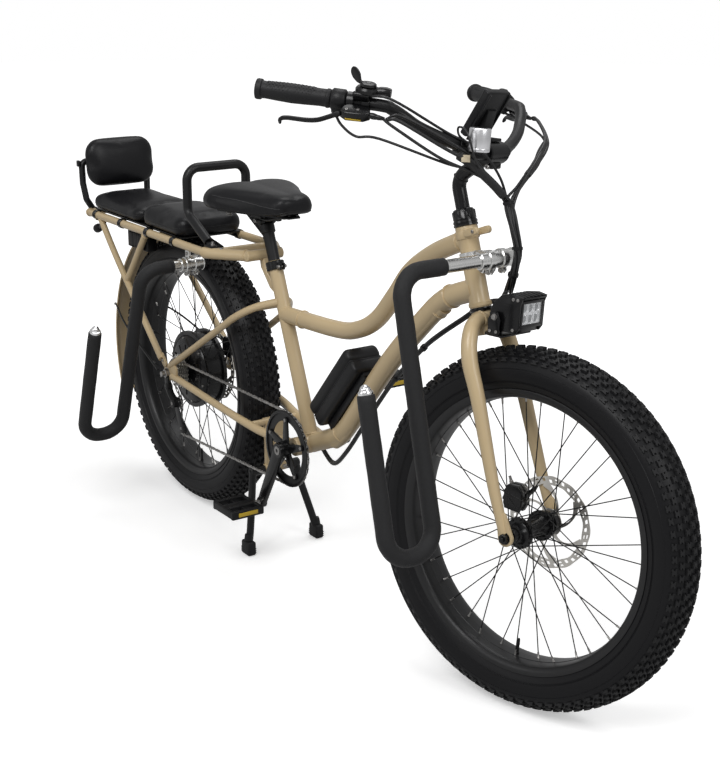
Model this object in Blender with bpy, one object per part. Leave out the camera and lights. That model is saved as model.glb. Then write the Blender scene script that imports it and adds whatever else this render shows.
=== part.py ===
"""Fat-tyre cruiser electric bicycle with a passenger seat and a side rack, as separate jointed solids.

Metres, +Z up, +X forwards and +Y to the rider's left. Places are written from the point where the front
wheel meets the ground with the handlebar straight. The empty "bicycle" then moves the whole model so
that its origin is on the ground under the middle of its box.
"""
import math

import bmesh
import bpy
from mathutils import Matrix, Vector

# Fits
GAP = 0.0003            # between neighbouring pieces
RUNNING = 0.0003        # round a shaft that turns in its bore

# Whole bicycle
ORIGIN_X = -0.7020      # middle of the box, from the front wheel's contact
ORIGIN_Y = -0.0280
WHEELBASE = 1.280
STEER_TURN = math.radians(15.2)      # the bar stands turned to the left

# Head and fork
HEAD_ANGLE = math.radians(70.9)
AXIS_FOOT_X = 0.098     # the steering axis meets the ground this far ahead of the front contact
HEAD_LOW = 0.785        # lower end of the head tube, along the steering axis from the ground
HEAD_LENGTH = 0.153
HEAD_R = 0.0195
HEAD_BORE_R = 0.0165
STEERER_R = 0.0143
CUP_HEIGHT = 0.034
CUP_R = 0.0235
BLADE_HALF = 0.0715     # blade centre from the middle plane, at the tyre
DROPOUT_HALF = 0.0785   # dropout centre from the middle plane
BLADE_R = 0.0145
AXLE_R = 0.0048

# Wheels
TYRE_R = 0.347
TYRE_HALF = 0.049
RIM_EDGE_R = 0.2668
RIM_INNER_R = 0.252
RIM_HALF = 0.040
WHEEL_STEPS = 28
SPOKES = 36
SPOKE_R = 0.0013
FLANGE_R = 0.029
FLANGE_Y = 0.033
ROTOR_R = 0.090
ROTOR_THICK = 0.002
FRONT_ROTOR_Y = 0.0648
REAR_ROTOR_Y = 0.0505
MOTOR_R = 0.098
MOTOR_HALF = 0.040
REAR_AXLE_R = 0.007
REAR_HALF = 0.088       # dropout centre from the middle plane

# Frame
TUBE_TOP_R = 0.019
TUBE_DOWN_R = 0.022
TUBE_UNDER_R = 0.016
SEAT_ANGLE = math.radians(68)
SEAT_TUBE_R = 0.0165
SEAT_TUBE_LENGTH = 0.425
POST_R = 0.0136
POST_SHOWN = 0.088
BB_X = -0.745
BB_Z = 0.300
BB_SHELL_R = 0.021
BB_HALF = 0.052
STAY_R = 0.010

# Drive
CHAINRING_R = 0.089
SPROCKET_R = 0.0325
PULLEY_R = 0.018
CHAIN_R = 0.0035
CHAIN_Y = -0.068
CRANK = 0.170
CRANK_TURN = math.radians(28)        # the right crank stands this far behind straight down
CRANK_Y = 0.089
CRANK_THICK = 0.013
SPINDLE_R = 0.0085
PEDAL_Y = 0.152
PEDAL_SIZE = (0.092, 0.084, 0.022)
PEDAL_PIN_R = 0.0045

# Handlebar and its controls
BAR_R = 0.0111
BAR_CENTRE_R = 0.0127
BAR_CENTRE = Vector((-0.165, 0.0, 1.028))
GRIP_END = Vector((-0.457, 0.324, 1.116))
GRIP_BEND = Vector((-0.2648, 0.2076, 1.1038))
GRIP_LENGTH = 0.136
GRIP_R = 0.0165
LEVER_REACH = 0.063
LEVER_ROOT = 0.1595

# Seats and rack
RAIL_Y = 0.090
RAIL_Z = 0.690
RAIL_R = 0.0100
BAND_WALL = 0.000392305
RAIL_REAR_X = -WHEELBASE - 0.432
RAIL_FRONT_X = -1.060
CUSHION_HALF = 0.092
FRONT_CUSHION_THICK = 0.050
REAR_CUSHION_THICK = 0.040
CUSHION_BASE = 0.7055
REAR_CUSHION_X = (RAIL_REAR_X + 0.012, RAIL_REAR_X + 0.294)
FRONT_CUSHION_X = (RAIL_REAR_X + 0.302, RAIL_REAR_X + 0.522)
SADDLE_SIZE = (0.262, 0.260)
SADDLE_NOSE_X = -0.785
SADDLE_Z = 0.800

# Side rack arms
ARM_R = 0.0127
FOAM_R = 0.0160
SLEEVE_R = 0.0165
ARM_INNER_Y = -0.212
ARM_OUTER_Y = -0.315
FRONT_ARM = {"pivot": Vector((-0.130, 0.0, 0.838)), "drop": 0.500, "swing": 14.2, "inside": 0.030,
             "foam": -0.112, "upright": 0.302}
REAR_ARM = {"pivot": Vector((-1.154, 0.0, 0.650)), "drop": 0.467, "swing": -19.3, "inside": -0.056,
            "foam": -0.132, "upright": 0.311}

# Stand
STAND_PIVOT = Vector((-0.915, 0.0, 0.190))
STAND_FOOT = Vector((-0.880, 0.095, 0.0))


# Materials

def finish(name, colour, roughness, metallic=0.0):
    material = bpy.data.materials.new(name)
    material.use_nodes = True
    shader = material.node_tree.nodes["Principled BSDF"]
    shader.inputs["Base Color"].default_value = (*colour, 1.0)
    shader.inputs["Roughness"].default_value = roughness
    shader.inputs["Metallic"].default_value = metallic
    material.diffuse_color = (*colour, 1.0)
    return material


# Shapes

def new_object(name, mesh):
    item = bpy.data.objects.new(name, mesh)
    bpy.context.scene.collection.objects.link(item)
    return item


def mesh_from(name, bm):
    bmesh.ops.remove_doubles(bm, verts=bm.verts, dist=1e-6)
    bmesh.ops.recalc_face_normals(bm, faces=bm.faces)
    mesh = bpy.data.meshes.new(name)
    bm.to_mesh(mesh)
    bm.free()
    return new_object(name, mesh)


def taper(points, first, last):
    """A radius for each point, falling evenly from first to last."""
    return [first + (last - first)*i/(len(points) - 1) for i in range(len(points))]


def opening(radius, sides):
    """The radius of a polygon whose flats stand at this distance, for bores."""
    return radius/math.cos(math.pi/sides)


def tube(name, points, radius, sides=8, radii=None, closed=False):
    """A round tube along points, with its own radius at each point where radii is given."""
    curve = bpy.data.curves.new(name, "CURVE")
    curve.dimensions = "3D"
    curve.bevel_depth = radius
    curve.bevel_resolution = (sides - 4) // 2
    curve.use_fill_caps = not closed
    spline = curve.splines.new("POLY")
    spline.points.add(len(points) - 1)
    spline.use_cyclic_u = closed
    for i, point in enumerate(points):
        spline.points[i].co = (*point, 1.0)
        if radii:
            spline.points[i].radius = radii[i]/radius
    item = new_object(name, curve)
    mesh = bpy.data.meshes.new_from_object(item.evaluated_get(bpy.context.evaluated_depsgraph_get()))
    bpy.data.objects.remove(item)
    bm = bmesh.new()
    bm.from_mesh(mesh)
    return mesh_from(name, bm)


def rod(name, start, end, radius, end_radius=None, sides=16):
    """A round bar or cone from start to end."""
    start, end = Vector(start), Vector(end)
    along = end - start
    bm = bmesh.new()
    turn = along.to_track_quat("Z", "Y").to_matrix().to_4x4()
    place = Matrix.Translation((start + end)/2) @ turn
    far = radius if end_radius is None else end_radius
    bmesh.ops.create_cone(bm, cap_ends=True, segments=sides, radius1=radius, radius2=far,
                          depth=along.length, matrix=place)
    return mesh_from(name, bm)


def turned(name, centre, axis, profile, steps=24, turn=0.0):
    """A profile of (distance along the axis, radius) turned round the axis; radius 0 closes it."""
    axis = Vector(axis).normalized()
    side = axis.orthogonal().normalized()
    side = Matrix.Rotation(turn, 3, axis) @ side
    bm = bmesh.new()
    ring = [bm.verts.new(Vector(centre) + axis*a + side*r) for a, r in profile]
    solid = profile[0][1] == 0.0
    edges = [bm.edges.new((ring[i], ring[i + 1])) for i in range(len(ring) - 1)]
    if not solid:
        edges.append(bm.edges.new((ring[-1], ring[0])))
    bmesh.ops.spin(bm, geom=ring + edges, cent=centre, axis=axis, angle=math.tau, steps=steps,
                   use_merge=True, use_duplicate=False)
    return mesh_from(name, bm)


def sleeve(name, start, end, radius, bore, sides=24):
    """A plain ring or bush with a bore, from start to end."""
    along = Vector(end) - Vector(start)
    length = along.length
    bore = opening(bore, sides)
    profile = [(0, bore), (0, radius), (length, radius), (length, bore)]
    return turned(name, start, along, profile, sides)


def block(name, size, centre, turn=None, bevel=0.0):
    """A box, its edges cut back by bevel."""
    bm = bmesh.new()
    bmesh.ops.create_cube(bm, size=1.0, matrix=Matrix.Diagonal((*size, 1.0)))
    if bevel:
        bmesh.ops.bevel(bm, geom=bm.edges[:], offset=bevel, segments=1, affect="EDGES")
    place = Matrix.Translation(centre)
    if turn is not None:
        place = place @ turn.to_4x4()
    bmesh.ops.transform(bm, matrix=place, verts=bm.verts)
    return mesh_from(name, bm)


def plate(name, outline, thick, place):
    """A flat outline of (x, y) points, thick along z and centred on it, then placed."""
    bm = bmesh.new()
    low = [bm.verts.new((x, y, -thick/2)) for x, y in outline]
    face = bm.faces.new(low)
    made = bmesh.ops.extrude_face_region(bm, geom=[face])
    moved = [v for v in made["geom"] if isinstance(v, bmesh.types.BMVert)]
    bmesh.ops.translate(bm, vec=(0, 0, thick), verts=moved)
    bmesh.ops.transform(bm, matrix=place, verts=bm.verts)
    return mesh_from(name, bm)


def stadium(start, end, r_start, r_end, steps=6):
    """The outline of a strap with a round end at each of two points."""
    start, end = Vector(start), Vector(end)
    angle = math.atan2(end.y - start.y, end.x - start.x)
    points = []
    for centre, radius, first in ((end, r_end, angle - math.pi/2), (start, r_start, angle + math.pi/2)):
        for i in range(steps + 1):
            a = first + math.pi*i/steps
            points.append((centre.x + radius*math.cos(a), centre.y + radius*math.sin(a)))
    return points


def side_plane(y):
    """Puts a plate drawn in (x, z) on the plane at y."""
    return Matrix.Translation((0, y, 0)) @ Matrix.Rotation(math.pi/2, 4, "X")


def boolean(base, others, operation):
    """Joins others to base, or cuts them from it, and removes them."""
    for other in others:
        step = base.modifiers.new(operation, "BOOLEAN")
        step.operation = operation
        step.solver = "EXACT"
        step.object = other
        mesh = bpy.data.meshes.new_from_object(base.evaluated_get(bpy.context.evaluated_depsgraph_get()))
        base.modifiers.clear()
        base.data = mesh
        bpy.data.objects.remove(other)
    return base


def weld(base, *others):
    return boolean(base, others, "UNION")


def cut(base, *others):
    return boolean(base, others, "DIFFERENCE")


def smooth(points, steps=4):
    """Points read from a smooth curve through the given ones."""
    points = [Vector(p) for p in points]
    ends = [points[0]*2 - points[1]] + points + [points[-1]*2 - points[-2]]
    path = []
    for a, b, c, d in zip(ends, ends[1:], ends[2:], ends[3:]):
        for i in range(steps):
            t = i/steps
            path.append(0.5*((2*b) + (c - a)*t + (2*a - 5*b + 4*c - d)*t*t + (3*b - a - 3*c + d)*t**3))
    return path + [points[-1]]


def rounded(points, radius, steps=4):
    """The corners of a path replaced by arcs of one radius."""
    points = [Vector(p) for p in points]
    path = [points[0]]
    for before, corner, after in zip(points, points[1:], points[2:]):
        a = (before - corner).normalized()
        b = (after - corner).normalized()
        half = a.angle(b)/2
        back = radius/math.tan(half)
        centre = corner + (a + b).normalized()*radius/math.sin(half)
        start = corner + a*back - centre
        turn = math.pi - 2*half
        axis = start.cross(corner + b*back - centre).normalized()
        for i in range(steps + 1):
            path.append(centre + Matrix.Rotation(turn*i/steps, 3, axis) @ start)
    return path + [points[-1]]


def mirrored(points):
    return [Vector((p[0], -p[1], p[2])) for p in points]


# Places

def on_axis(s):
    """The point at distance s up the steering axis."""
    return Vector((AXIS_FOOT_X - math.cos(HEAD_ANGLE)*s, 0.0, math.sin(HEAD_ANGLE)*s))


STEER_AXIS = (on_axis(1.0) - on_axis(0.0)).normalized()
FRONT_AXLE = Vector((0.0, 0.0, TYRE_R))
REAR_AXLE = Vector((-WHEELBASE, 0.0, TYRE_R))
BOTTOM_BRACKET = Vector((BB_X, 0.0, BB_Z))
SEAT_AXIS = Vector((-math.cos(SEAT_ANGLE), 0.0, math.sin(SEAT_ANGLE)))
SEAT_TOP = BOTTOM_BRACKET + SEAT_AXIS*SEAT_TUBE_LENGTH
PEDAL_AXLE = BOTTOM_BRACKET + CRANK*Vector((-math.sin(CRANK_TURN), 0.0, -math.cos(CRANK_TURN)))
GRIP_AXIS = (GRIP_END - GRIP_BEND).normalized()      # the left grip, from the bar outwards
HAND_SIDE = {"left": 1, "right": -1}
LIGHT_PIVOT = Vector((-0.093, 0.0, 0.740))


def flip(vector, side):
    """A vector of the left side, or its mirror on the right."""
    return Vector((vector.x, vector.y*side, vector.z))


def hand_frame(side):
    """At one grip: the direction out along the grip, and the one that its lever stands off in."""
    along = flip(GRIP_AXIS, side)
    out = Vector((along.y*side, -along.x*side, 0.0)).normalized()
    reach = (out*0.78 - Vector((0, 0, 1))*0.62).normalized()
    return along, reach


def on_grip(side, back, reach=0.0):
    """The point this far in from the grip's end, and this far off its axis."""
    along, away = hand_frame(side)
    return flip(GRIP_END, side) - along*back + away*reach


def lever_axis(side):
    along, reach = hand_frame(side)
    return along.cross(reach).normalized()


# Bodies: an empty stands on each joint's axis, and the moving pieces hang from it

def axis_empty(name, at, parent=None):
    empty = bpy.data.objects.new(name, None)
    empty.empty_display_size = 0.05
    bpy.context.scene.collection.objects.link(empty)
    empty.location = at
    if parent:
        empty.parent = parent
        empty.location = Vector(at) - REST_PLACE[parent.name]
    REST_PLACE[name] = Vector(at)
    return empty


REST_PLACE = {}


def hang(parent, material, *items):
    """Puts pieces under an empty, moves their origins to it, shades them and gives them a finish."""
    for item in items:
        item.data.transform(Matrix.Translation(-REST_PLACE[parent.name]))
        item.parent = parent
        item.data.shade_smooth()
        item.data.set_sharp_from_angle(angle=math.radians(35))
        item.data.materials.clear()
        item.data.materials.append(material)


# Frame

def head_parts():
    low, high = on_axis(HEAD_LOW), on_axis(HEAD_LOW + HEAD_LENGTH)
    head = rod("main_frame", low, high, HEAD_R)
    band_at = HEAD_LOW + HEAD_LENGTH - 0.012
    band = rod("band", on_axis(band_at - 0.010), on_axis(band_at + 0.006), HEAD_R + 0.0025)
    tilt = Matrix.Rotation(math.pi/2 - HEAD_ANGLE, 3, "Y").inverted()
    lugs = []
    for side in (-1, 1):
        at = on_axis(band_at - 0.002) + Vector((0.030, 0.0145*side, 0.004))
        lugs.append(block("lug", (0.040, 0.010, 0.014), at, tilt))
    return head, [band, *lugs]


def top_tube_path():
    head = on_axis(HEAD_LOW + HEAD_LENGTH - 0.024)
    seat = BOTTOM_BRACKET + SEAT_AXIS*0.300
    return smooth([head, (-0.234, 0, 0.851), (-0.307, 0, 0.817), (-0.379, 0, 0.769), (-0.432, 0, 0.709),
                   (-0.492, 0, 0.647), (-0.560, 0, 0.609), (-0.645, 0, 0.590)], 1) + [seat]


def down_tube_path():
    head = on_axis(HEAD_LOW + 0.035)
    return smooth([head, (-0.265, 0, 0.735), (-0.345, 0, 0.667), (-0.440, 0, 0.573), (-0.535, 0, 0.463),
                   (-0.625, 0, 0.360), BOTTOM_BRACKET], 1)


def under_tube_path():
    path = [p + Vector((-0.004, 0, -0.015)) for p in down_tube_path()[1:6]]
    return path


def main_frame():
    head, extras = head_parts()
    top = tube("top", top_tube_path(), TUBE_TOP_R, 8)
    down = tube("down", down_tube_path(), TUBE_DOWN_R, 10)
    under = tube("under", under_tube_path(), TUBE_UNDER_R, 8)
    seat = rod("seat", BOTTOM_BRACKET, SEAT_TOP, SEAT_TUBE_R)
    shell = rod("shell", BOTTOM_BRACKET - Vector((0, BB_HALF, 0)), BOTTOM_BRACKET + Vector((0, BB_HALF, 0)),
                BB_SHELL_R)
    frame = weld(head, top, down, under, seat, shell, *extras)
    bore = rod("bore", on_axis(HEAD_LOW - 0.02), on_axis(HEAD_LOW + HEAD_LENGTH + 0.02), HEAD_BORE_R)
    post = rod("post", SEAT_TOP - SEAT_AXIS*0.20, SEAT_TOP + SEAT_AXIS*0.02, opening(POST_R + GAP, 16))
    spindle = rod("spindle", BOTTOM_BRACKET - Vector((0, 0.1, 0)), BOTTOM_BRACKET + Vector((0, 0.1, 0)),
                  opening(SPINDLE_R + RUNNING, 12), sides=12)
    return cut(frame, bore, post, spindle)


def rear_stays():
    """Chain and seat stays, dropouts, axle, the bridges and the stand's bracket, welded as one."""
    axle_y = Vector((0, REAR_HALF + 0.022, 0))
    base = rod("rear_stays", REAR_AXLE - axle_y, REAR_AXLE + axle_y, REAR_AXLE_R, sides=12)
    parts = []
    for side in (-1, 1):
        y = REAR_HALF*side
        chain_stay = [(BB_X - 0.012, 0.040*side, BB_Z), (-0.860, 0.058*side, 0.302),
                      (-0.930, 0.068*side, 0.309), (-1.020, 0.078*side, 0.321),
                       (-WHEELBASE + 0.02, y, TYRE_R - 0.003)]
        seat_start = BOTTOM_BRACKET + SEAT_AXIS*0.330 + Vector((0, 0.010*side, 0))
        seat_stay = [seat_start, (-0.915, 0.045*side, 0.588), (-0.965, 0.071*side, 0.558),
                     (-1.030, 0.079*side, 0.515), (-WHEELBASE + 0.012, y, TYRE_R + 0.022)]
        outline = stadium((-WHEELBASE, TYRE_R), (-WHEELBASE + 0.025, TYRE_R + 0.012), 0.020, 0.020, 3)
        drop = plate("drop", outline, 0.007, side_plane(y))
        ends = (-WHEELBASE, y + 0.0035*side, TYRE_R), (-WHEELBASE, y + 0.014*side, TYRE_R)
        nut = rod("nut", *ends, 0.0125, sides=6)
        parts += [tube("chain_stay", chain_stay, STAY_R, 6),
                  tube("seat_stay", seat_stay, STAY_R - 0.001, 6), drop, nut]
    bridge = rod("bridge", (STAND_PIVOT.x, -0.066, 0.307), (STAND_PIVOT.x, 0.066, 0.307), 0.008, sides=8)
    web = block("web", (0.014, 0.050, 0.310 - STAND_PIVOT.z), (STAND_PIVOT.x, 0, (0.310 + STAND_PIVOT.z)/2))
    lug = rod("lug", STAND_PIVOT - Vector((0, 0.028, 0)),
               STAND_PIVOT + Vector((0, 0.028, 0)), 0.0115, sides=12)
    high = rod("high", (-0.925, -0.052, 0.583), (-0.925, 0.052, 0.583), 0.007, sides=6)
    stays = weld(base, *parts, bridge, web, lug, high)
    reach = Vector((0, 0.05, 0))
    pin = rod("pin", STAND_PIVOT - reach, STAND_PIVOT + reach, opening(0.0050 + RUNNING, 12), sides=12)
    seat = rod("seat", BOTTOM_BRACKET, SEAT_TOP, SEAT_TUBE_R + GAP)
    shell_half = Vector((0, BB_HALF + GAP, 0))
    shell = rod("shell", BOTTOM_BRACKET - shell_half, BOTTOM_BRACKET + shell_half, BB_SHELL_R + GAP)
    return cut(stays, pin, seat, shell)


def headset():
    top = HEAD_LOW + HEAD_LENGTH + GAP
    bore = opening(STEERER_R + RUNNING, 16)
    cup = turned("upper_cup", on_axis(top), STEER_AXIS,
                 [(0, bore), (0, CUP_R), (0.009, CUP_R), (CUP_HEIGHT, CUP_R - 0.0055), (CUP_HEIGHT, bore)], 16)
    ring_low = HEAD_LOW - GAP - 0.0075
    ring = sleeve("lower_cup", on_axis(ring_low), on_axis(HEAD_LOW - GAP), CUP_R - 0.0015,
                  STEERER_R + RUNNING, 16)
    return cup, ring


def seat_clamp():
    ring = sleeve("seat_clamp", SEAT_TOP - SEAT_AXIS*0.022, SEAT_TOP - SEAT_AXIS*0.002, SEAT_TUBE_R + 0.005,
                  SEAT_TUBE_R + GAP, 16)
    back = SEAT_TOP - SEAT_AXIS*0.012 + Vector((0.027, 0, 0.004))
    ear = block("ear", (0.014, 0.013, 0.016), back)
    bolt = rod("bolt", back - Vector((-0.002, 0.015, 0)), back + Vector((0.002, 0.015, 0)), 0.0035, sides=8)
    return weld(ring, ear, bolt)


# Steering

def fork():
    steerer = rod("fork", on_axis(0.740),
                   on_axis(HEAD_LOW + HEAD_LENGTH + CUP_HEIGHT - 0.004), STEERER_R, sides=12)
    crown = rod("crown", on_axis(0.738), on_axis(HEAD_LOW - 0.0085), 0.0205, sides=12)
    parts = [crown]
    for side in (-1, 1):
        blade = smooth([(-0.1475, 0.006*side, 0.717), (-0.146, 0.030*side, 0.714),
                       (-0.138, 0.055*side, 0.699),
                        (-0.126, 0.069*side, 0.664), (-0.098, BLADE_HALF*side, 0.595)], 2)
        blade += [Vector((-0.040, (DROPOUT_HALF - 0.001)*side, 0.440)),
                  Vector((-0.006, DROPOUT_HALF*side, 0.352))]
        parts.append(tube("blade", blade, BLADE_R, 8, taper(blade, BLADE_R, 0.0085)))
        drop = stadium((0, TYRE_R), (-0.012, TYRE_R + 0.034), 0.016, 0.012, 3)
        parts.append(plate("drop", drop, 0.007, side_plane(DROPOUT_HALF*side)))
        y = (DROPOUT_HALF + 0.0035)*side
        parts.append(rod("nut", (0, y, TYRE_R), (0, y + 0.010*side, TYRE_R), 0.0105, sides=6))
    axle = rod("axle", (0, -0.095, TYRE_R), (0, 0.095, TYRE_R), AXLE_R, sides=10)
    return weld(steerer, *parts, axle)


def stem():
    start = HEAD_LOW + HEAD_LENGTH + CUP_HEIGHT + 2*GAP
    path = rounded([on_axis(start), on_axis(1.030), BAR_CENTRE - Vector((0.004, 0, 0.003))], 0.030, 3)
    quill = tube("stem", path, 0.0135, 10)
    clamp = rod("clamp", BAR_CENTRE - Vector((0, 0.026, 0)),
                 BAR_CENTRE + Vector((0, 0.026, 0)), 0.0205, sides=12)
    bolt_at = BAR_CENTRE + Vector((0.0, 0, -0.024))
    bolt = rod("bolt", bolt_at - Vector((0, 0.017, 0)), bolt_at + Vector((0, 0.017, 0)), 0.006, sides=6)
    reach = Vector((0, 0.05, 0))
    bar = rod("bar", BAR_CENTRE - reach, BAR_CENTRE + reach, opening(BAR_CENTRE_R + GAP, 12), sides=12)
    return cut(weld(quill, clamp, bolt), bar)


def bar_path():
    left = [GRIP_BEND, (-0.2480, 0.1950, 1.0985), (-0.2340, 0.1800, 1.0875), (-0.2200, 0.1580, 1.0720),
            (-0.2032, 0.130, 1.0588), (-0.1853, 0.090, 1.0441), (-0.1720, 0.050, 1.0325),
            BAR_CENTRE + Vector((0, 0.030, 0))]
    half = [GRIP_END - GRIP_AXIS*0.004] + [Vector(p) for p in left]
    return half + list(reversed(mirrored(half)))


def bar_radii(grow=0.0):
    return [(BAR_CENTRE_R if abs(p[1]) < 0.040 else BAR_R) + grow for p in bar_path()]


def handlebar():
    return tube("handlebar", bar_path(), BAR_R, 8, bar_radii())


def grip(name, side):
    along, _ = hand_frame(side)
    inside = GRIP_LENGTH - 0.0035
    bore = opening(BAR_R + GAP, 16)
    profile = [(inside, 0.0), (inside, bore), (0.0, bore), (0.0, GRIP_R), (0.050, GRIP_R + 0.0020),
               (0.120, GRIP_R), (0.124, GRIP_R + 0.0022), (0.133, GRIP_R + 0.0022),
                (GRIP_LENGTH, GRIP_R - 0.002),
               (GRIP_LENGTH, 0.0)]
    return turned(name, on_grip(side, GRIP_LENGTH), along, profile, 16)


def perch(name, side, housing):
    """The lever's clamp round the bar with its mount, and the control housing beside it."""
    along, reach = hand_frame(side)
    bore = BAR_R + GAP
    clamp = sleeve(name, on_grip(side, 0.178), on_grip(side, 0.166), BAR_R + 0.006, bore, 12)
    middle = on_grip(side, 0.178, 0.028)
    turn = Matrix((along, reach, lever_axis(side))).transposed()
    body = block("body", (0.040, 0.024, 0.016), middle - along*0.004, turn)
    barrel = rod("barrel", middle - along*0.022, middle - along*0.052 + reach*0.004, 0.006, 0.0045, 6)
    pod = sleeve("pod", on_grip(side, GRIP_LENGTH + 0.0285), on_grip(side, GRIP_LENGTH + 0.0010),
                 housing, bore, 12)
    join = block("join", (0.012, 0.009, 0.012), on_grip(side, 0.1665, 0.0165), turn)
    return weld(clamp, body, barrel, pod, join), turn


def lever(name, side):
    """A brake lever blade, its root beside the perch and its tip short of the grip's end."""
    root = on_grip(side, LEVER_ROOT, 0.036)
    path = [root, on_grip(side, 0.138, 0.049), on_grip(side, 0.115, LEVER_REACH - 0.002),
            on_grip(side, 0.085, LEVER_REACH), on_grip(side, 0.064, LEVER_REACH + 0.002),
            on_grip(side, 0.055, LEVER_REACH + 0.011)]
    return tube(name, path, 0.0055, 8, taper(path, 0.0068, 0.0048))


def shifter():
    """The round gear unit on the right, on top of the bar, and its paddle."""
    side = HAND_SIDE["right"]
    along, _ = hand_frame(side)
    bore = BAR_R + GAP
    clamp = sleeve("shifter", on_grip(side, 0.207), on_grip(side, 0.193), BAR_R + 0.0042, bore, 12)
    up = Vector((0.18, -0.12, 1.0)).normalized()
    centre = on_grip(side, 0.199) + up*0.024
    body = rod("body", centre - up*0.0062, centre + up*0.006, 0.0195, sides=16)
    neck = rod("neck", centre - up*0.012, centre - up*0.004, 0.0065, sides=8)
    window = rod("window", centre - along*0.012 - up*0.003, centre - along*0.040 - up*0.001, 0.0086, sides=8)
    unit = weld(clamp, neck, body, window)
    hub = rod("shift_paddle", centre + up*(0.006 + GAP), centre + up*0.013, 0.015, sides=12)
    tip = centre + along*0.028 + up*0.028
    path = [centre + up*0.0108, centre + along*0.016 + up*0.013, tip]
    arm = tube("arm", path, 0.0045, 6, taper(path, 0.0040, 0.0070))
    return unit, weld(hub, arm), centre, up


def rocker():
    """The plus and minus key on the left housing."""
    side = HAND_SIDE["left"]
    along, _ = hand_frame(side)
    up = Vector((0, 0, 1))
    up = (up - along*up.dot(along)).normalized()
    centre = on_grip(side, GRIP_LENGTH + 0.0155) + up*(0.0205 + 0.0028)
    turn = Matrix((along, up.cross(along), up)).transposed()
    return block("assist_rocker", (0.019, 0.011, 0.0035), centre, turn, 0.0008), centre, up.cross(along)


def display():
    """The slab on the bar clamp, with its top leaning forwards."""
    tilt = Matrix.Rotation(math.radians(30), 3, "Y")
    centre = Vector((-0.188, 0.0, 1.098))
    slab = block("display", (0.016, 0.068, 0.096), centre, tilt, 0.003)
    foot_top = BAR_CENTRE + Vector((0, 0, 0.0205 + GAP + 0.001))
    foot = block("foot", (0.024, 0.030, 0.006), foot_top + Vector((-0.004, 0, 0.002)))
    arm = block("arm", (0.034, 0.024, 0.014), centre + tilt @ Vector((0.018, 0, -0.035)), tilt)
    return weld(slab, foot, arm)


def horn():
    centre = Vector((-0.1373, -0.080, 1.0553))
    drum = turned("horn", centre - Vector((0, 0, 0.021)), (0, 0, 1),
                  [(0, 0), (0, 0.0155), (0.003, 0.0185), (0.039, 0.0185), (0.042, 0.0155), (0.042, 0)], 16)
    strap = block("strap", (0.020, 0.010, 0.012), centre + Vector((-0.0240, 0.0, -0.0070)))
    at, along = Vector((-0.1821, -0.080, 1.0412)), Vector((-0.0065, -0.020, 0.0058)).normalized()
    ring = sleeve("ring", at - along*0.005, at + along*0.005, 0.0150, BAR_R, 12)
    bar = tube("bar", bar_path(), BAR_R, 8, bar_radii(GAP))
    return cut(weld(drum, strap, ring), bar)


def light_bracket():
    """A strap from the fork crown, under the light, with an ear at each side."""
    z = 0.7055
    base = block("light_bracket", (0.052, 0.096, 0.0035), (-0.098, 0, z))
    ears = [block("ear", (0.026, 0.0035, 0.046), (LIGHT_PIVOT.x, 0.0463*side, z + 0.0214)) for side in (-1, 1)]
    back = block("back", (0.030, 0.022, 0.030), (-0.1285, 0, z + 0.0133))
    bolts = [rod("bolt", LIGHT_PIVOT + Vector((0, 0.0440*side, 0)), LIGHT_PIVOT + Vector((0, 0.0520*side, 0)),
                 0.0048, sides=6) for side in (-1, 1)]
    crown = rod("crown", on_axis(0.70), on_axis(0.80), 0.0205 + GAP, sides=12)
    return cut(weld(base, *ears, back, *bolts), crown)


def headlight():
    """The work light: a block with a slanted back, fins on top and a hooded window."""
    half = 0.0405
    outline = [(-0.108, 0.725), (-0.086, 0.7145), (-0.050, 0.7145), (-0.048, 0.725), (-0.044, 0.7695),
               (-0.038, 0.7840), (-0.058, 0.7885), (-0.086, 0.7830), (-0.106, 0.7630), (-0.112, 0.7430)]
    body = plate("headlight", outline, 2*half, side_plane(0))
    window = block("window", (0.006, 0.056, 0.038), (-0.0465, 0, 0.7495))
    grooves = [block("groove", (0.034, 0.006, 0.006), (-0.074, 0.012*k, 0.7880)) for k in (-2, -1, 0, 1, 2)]
    return cut(body, window, *grooves)


def caliper(name, rotor_y, inner, outer, centre, arm_to):
    """A disc brake body with the slot that the rotor runs in, and the arm that holds it."""
    body = block(name, (0.044, outer - inner, 0.052), (centre[0], (inner + outer)/2, centre[1]), None, 0.003)
    arm = rod("arm", (centre[0], rotor_y + 0.012, centre[1]), arm_to, 0.0055, sides=8)
    axle = FRONT_AXLE if centre[0] > -0.5 else REAR_AXLE
    half = Vector((0, ROTOR_THICK/2 + 0.001, 0))
    middle = axle + Vector((0, rotor_y, 0))
    slot = rod("slot", middle - half, middle + half, ROTOR_R + 0.002, sides=48)
    return cut(weld(body, arm), slot)


# Wheels

def tyre(name, centre):
    """The casing, open towards the rim."""
    half = TYRE_HALF
    outer = [(0.0455, 0.0170), (half, 0.0340), (0.0440, 0.0530), (0.0290, 0.0700), (0.0110, 0.0802)]
    inner_r = RIM_EDGE_R + GAP
    step = TYRE_R - 0.0802
    grow = 1/math.cos(math.pi/WHEEL_STEPS)
    ring = [(-0.037, inner_r)] + [(-y, (step + r)*grow) for y, r in outer]
    ring += [(y, (step + r)*grow) for y, r in reversed(outer)] + [(0.037, inner_r)]
    ring += [(0.030, inner_r), (0.043, (step + 0.030)*grow), (0.026, (step + 0.064)*grow)]
    ring += [(-0.026, (step + 0.064)*grow), (-0.043, (step + 0.030)*grow), (-0.030, inner_r)]
    return turned(name, centre, (0, 1, 0), ring, WHEEL_STEPS)


def rim(name, centre):
    profile = [(-RIM_HALF, RIM_EDGE_R), (RIM_HALF, RIM_EDGE_R), (RIM_HALF - 0.008, RIM_INNER_R),
               (-RIM_HALF + 0.008, RIM_INNER_R)]
    return turned(name, centre, (0, 1, 0), profile, WHEEL_STEPS)


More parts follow.
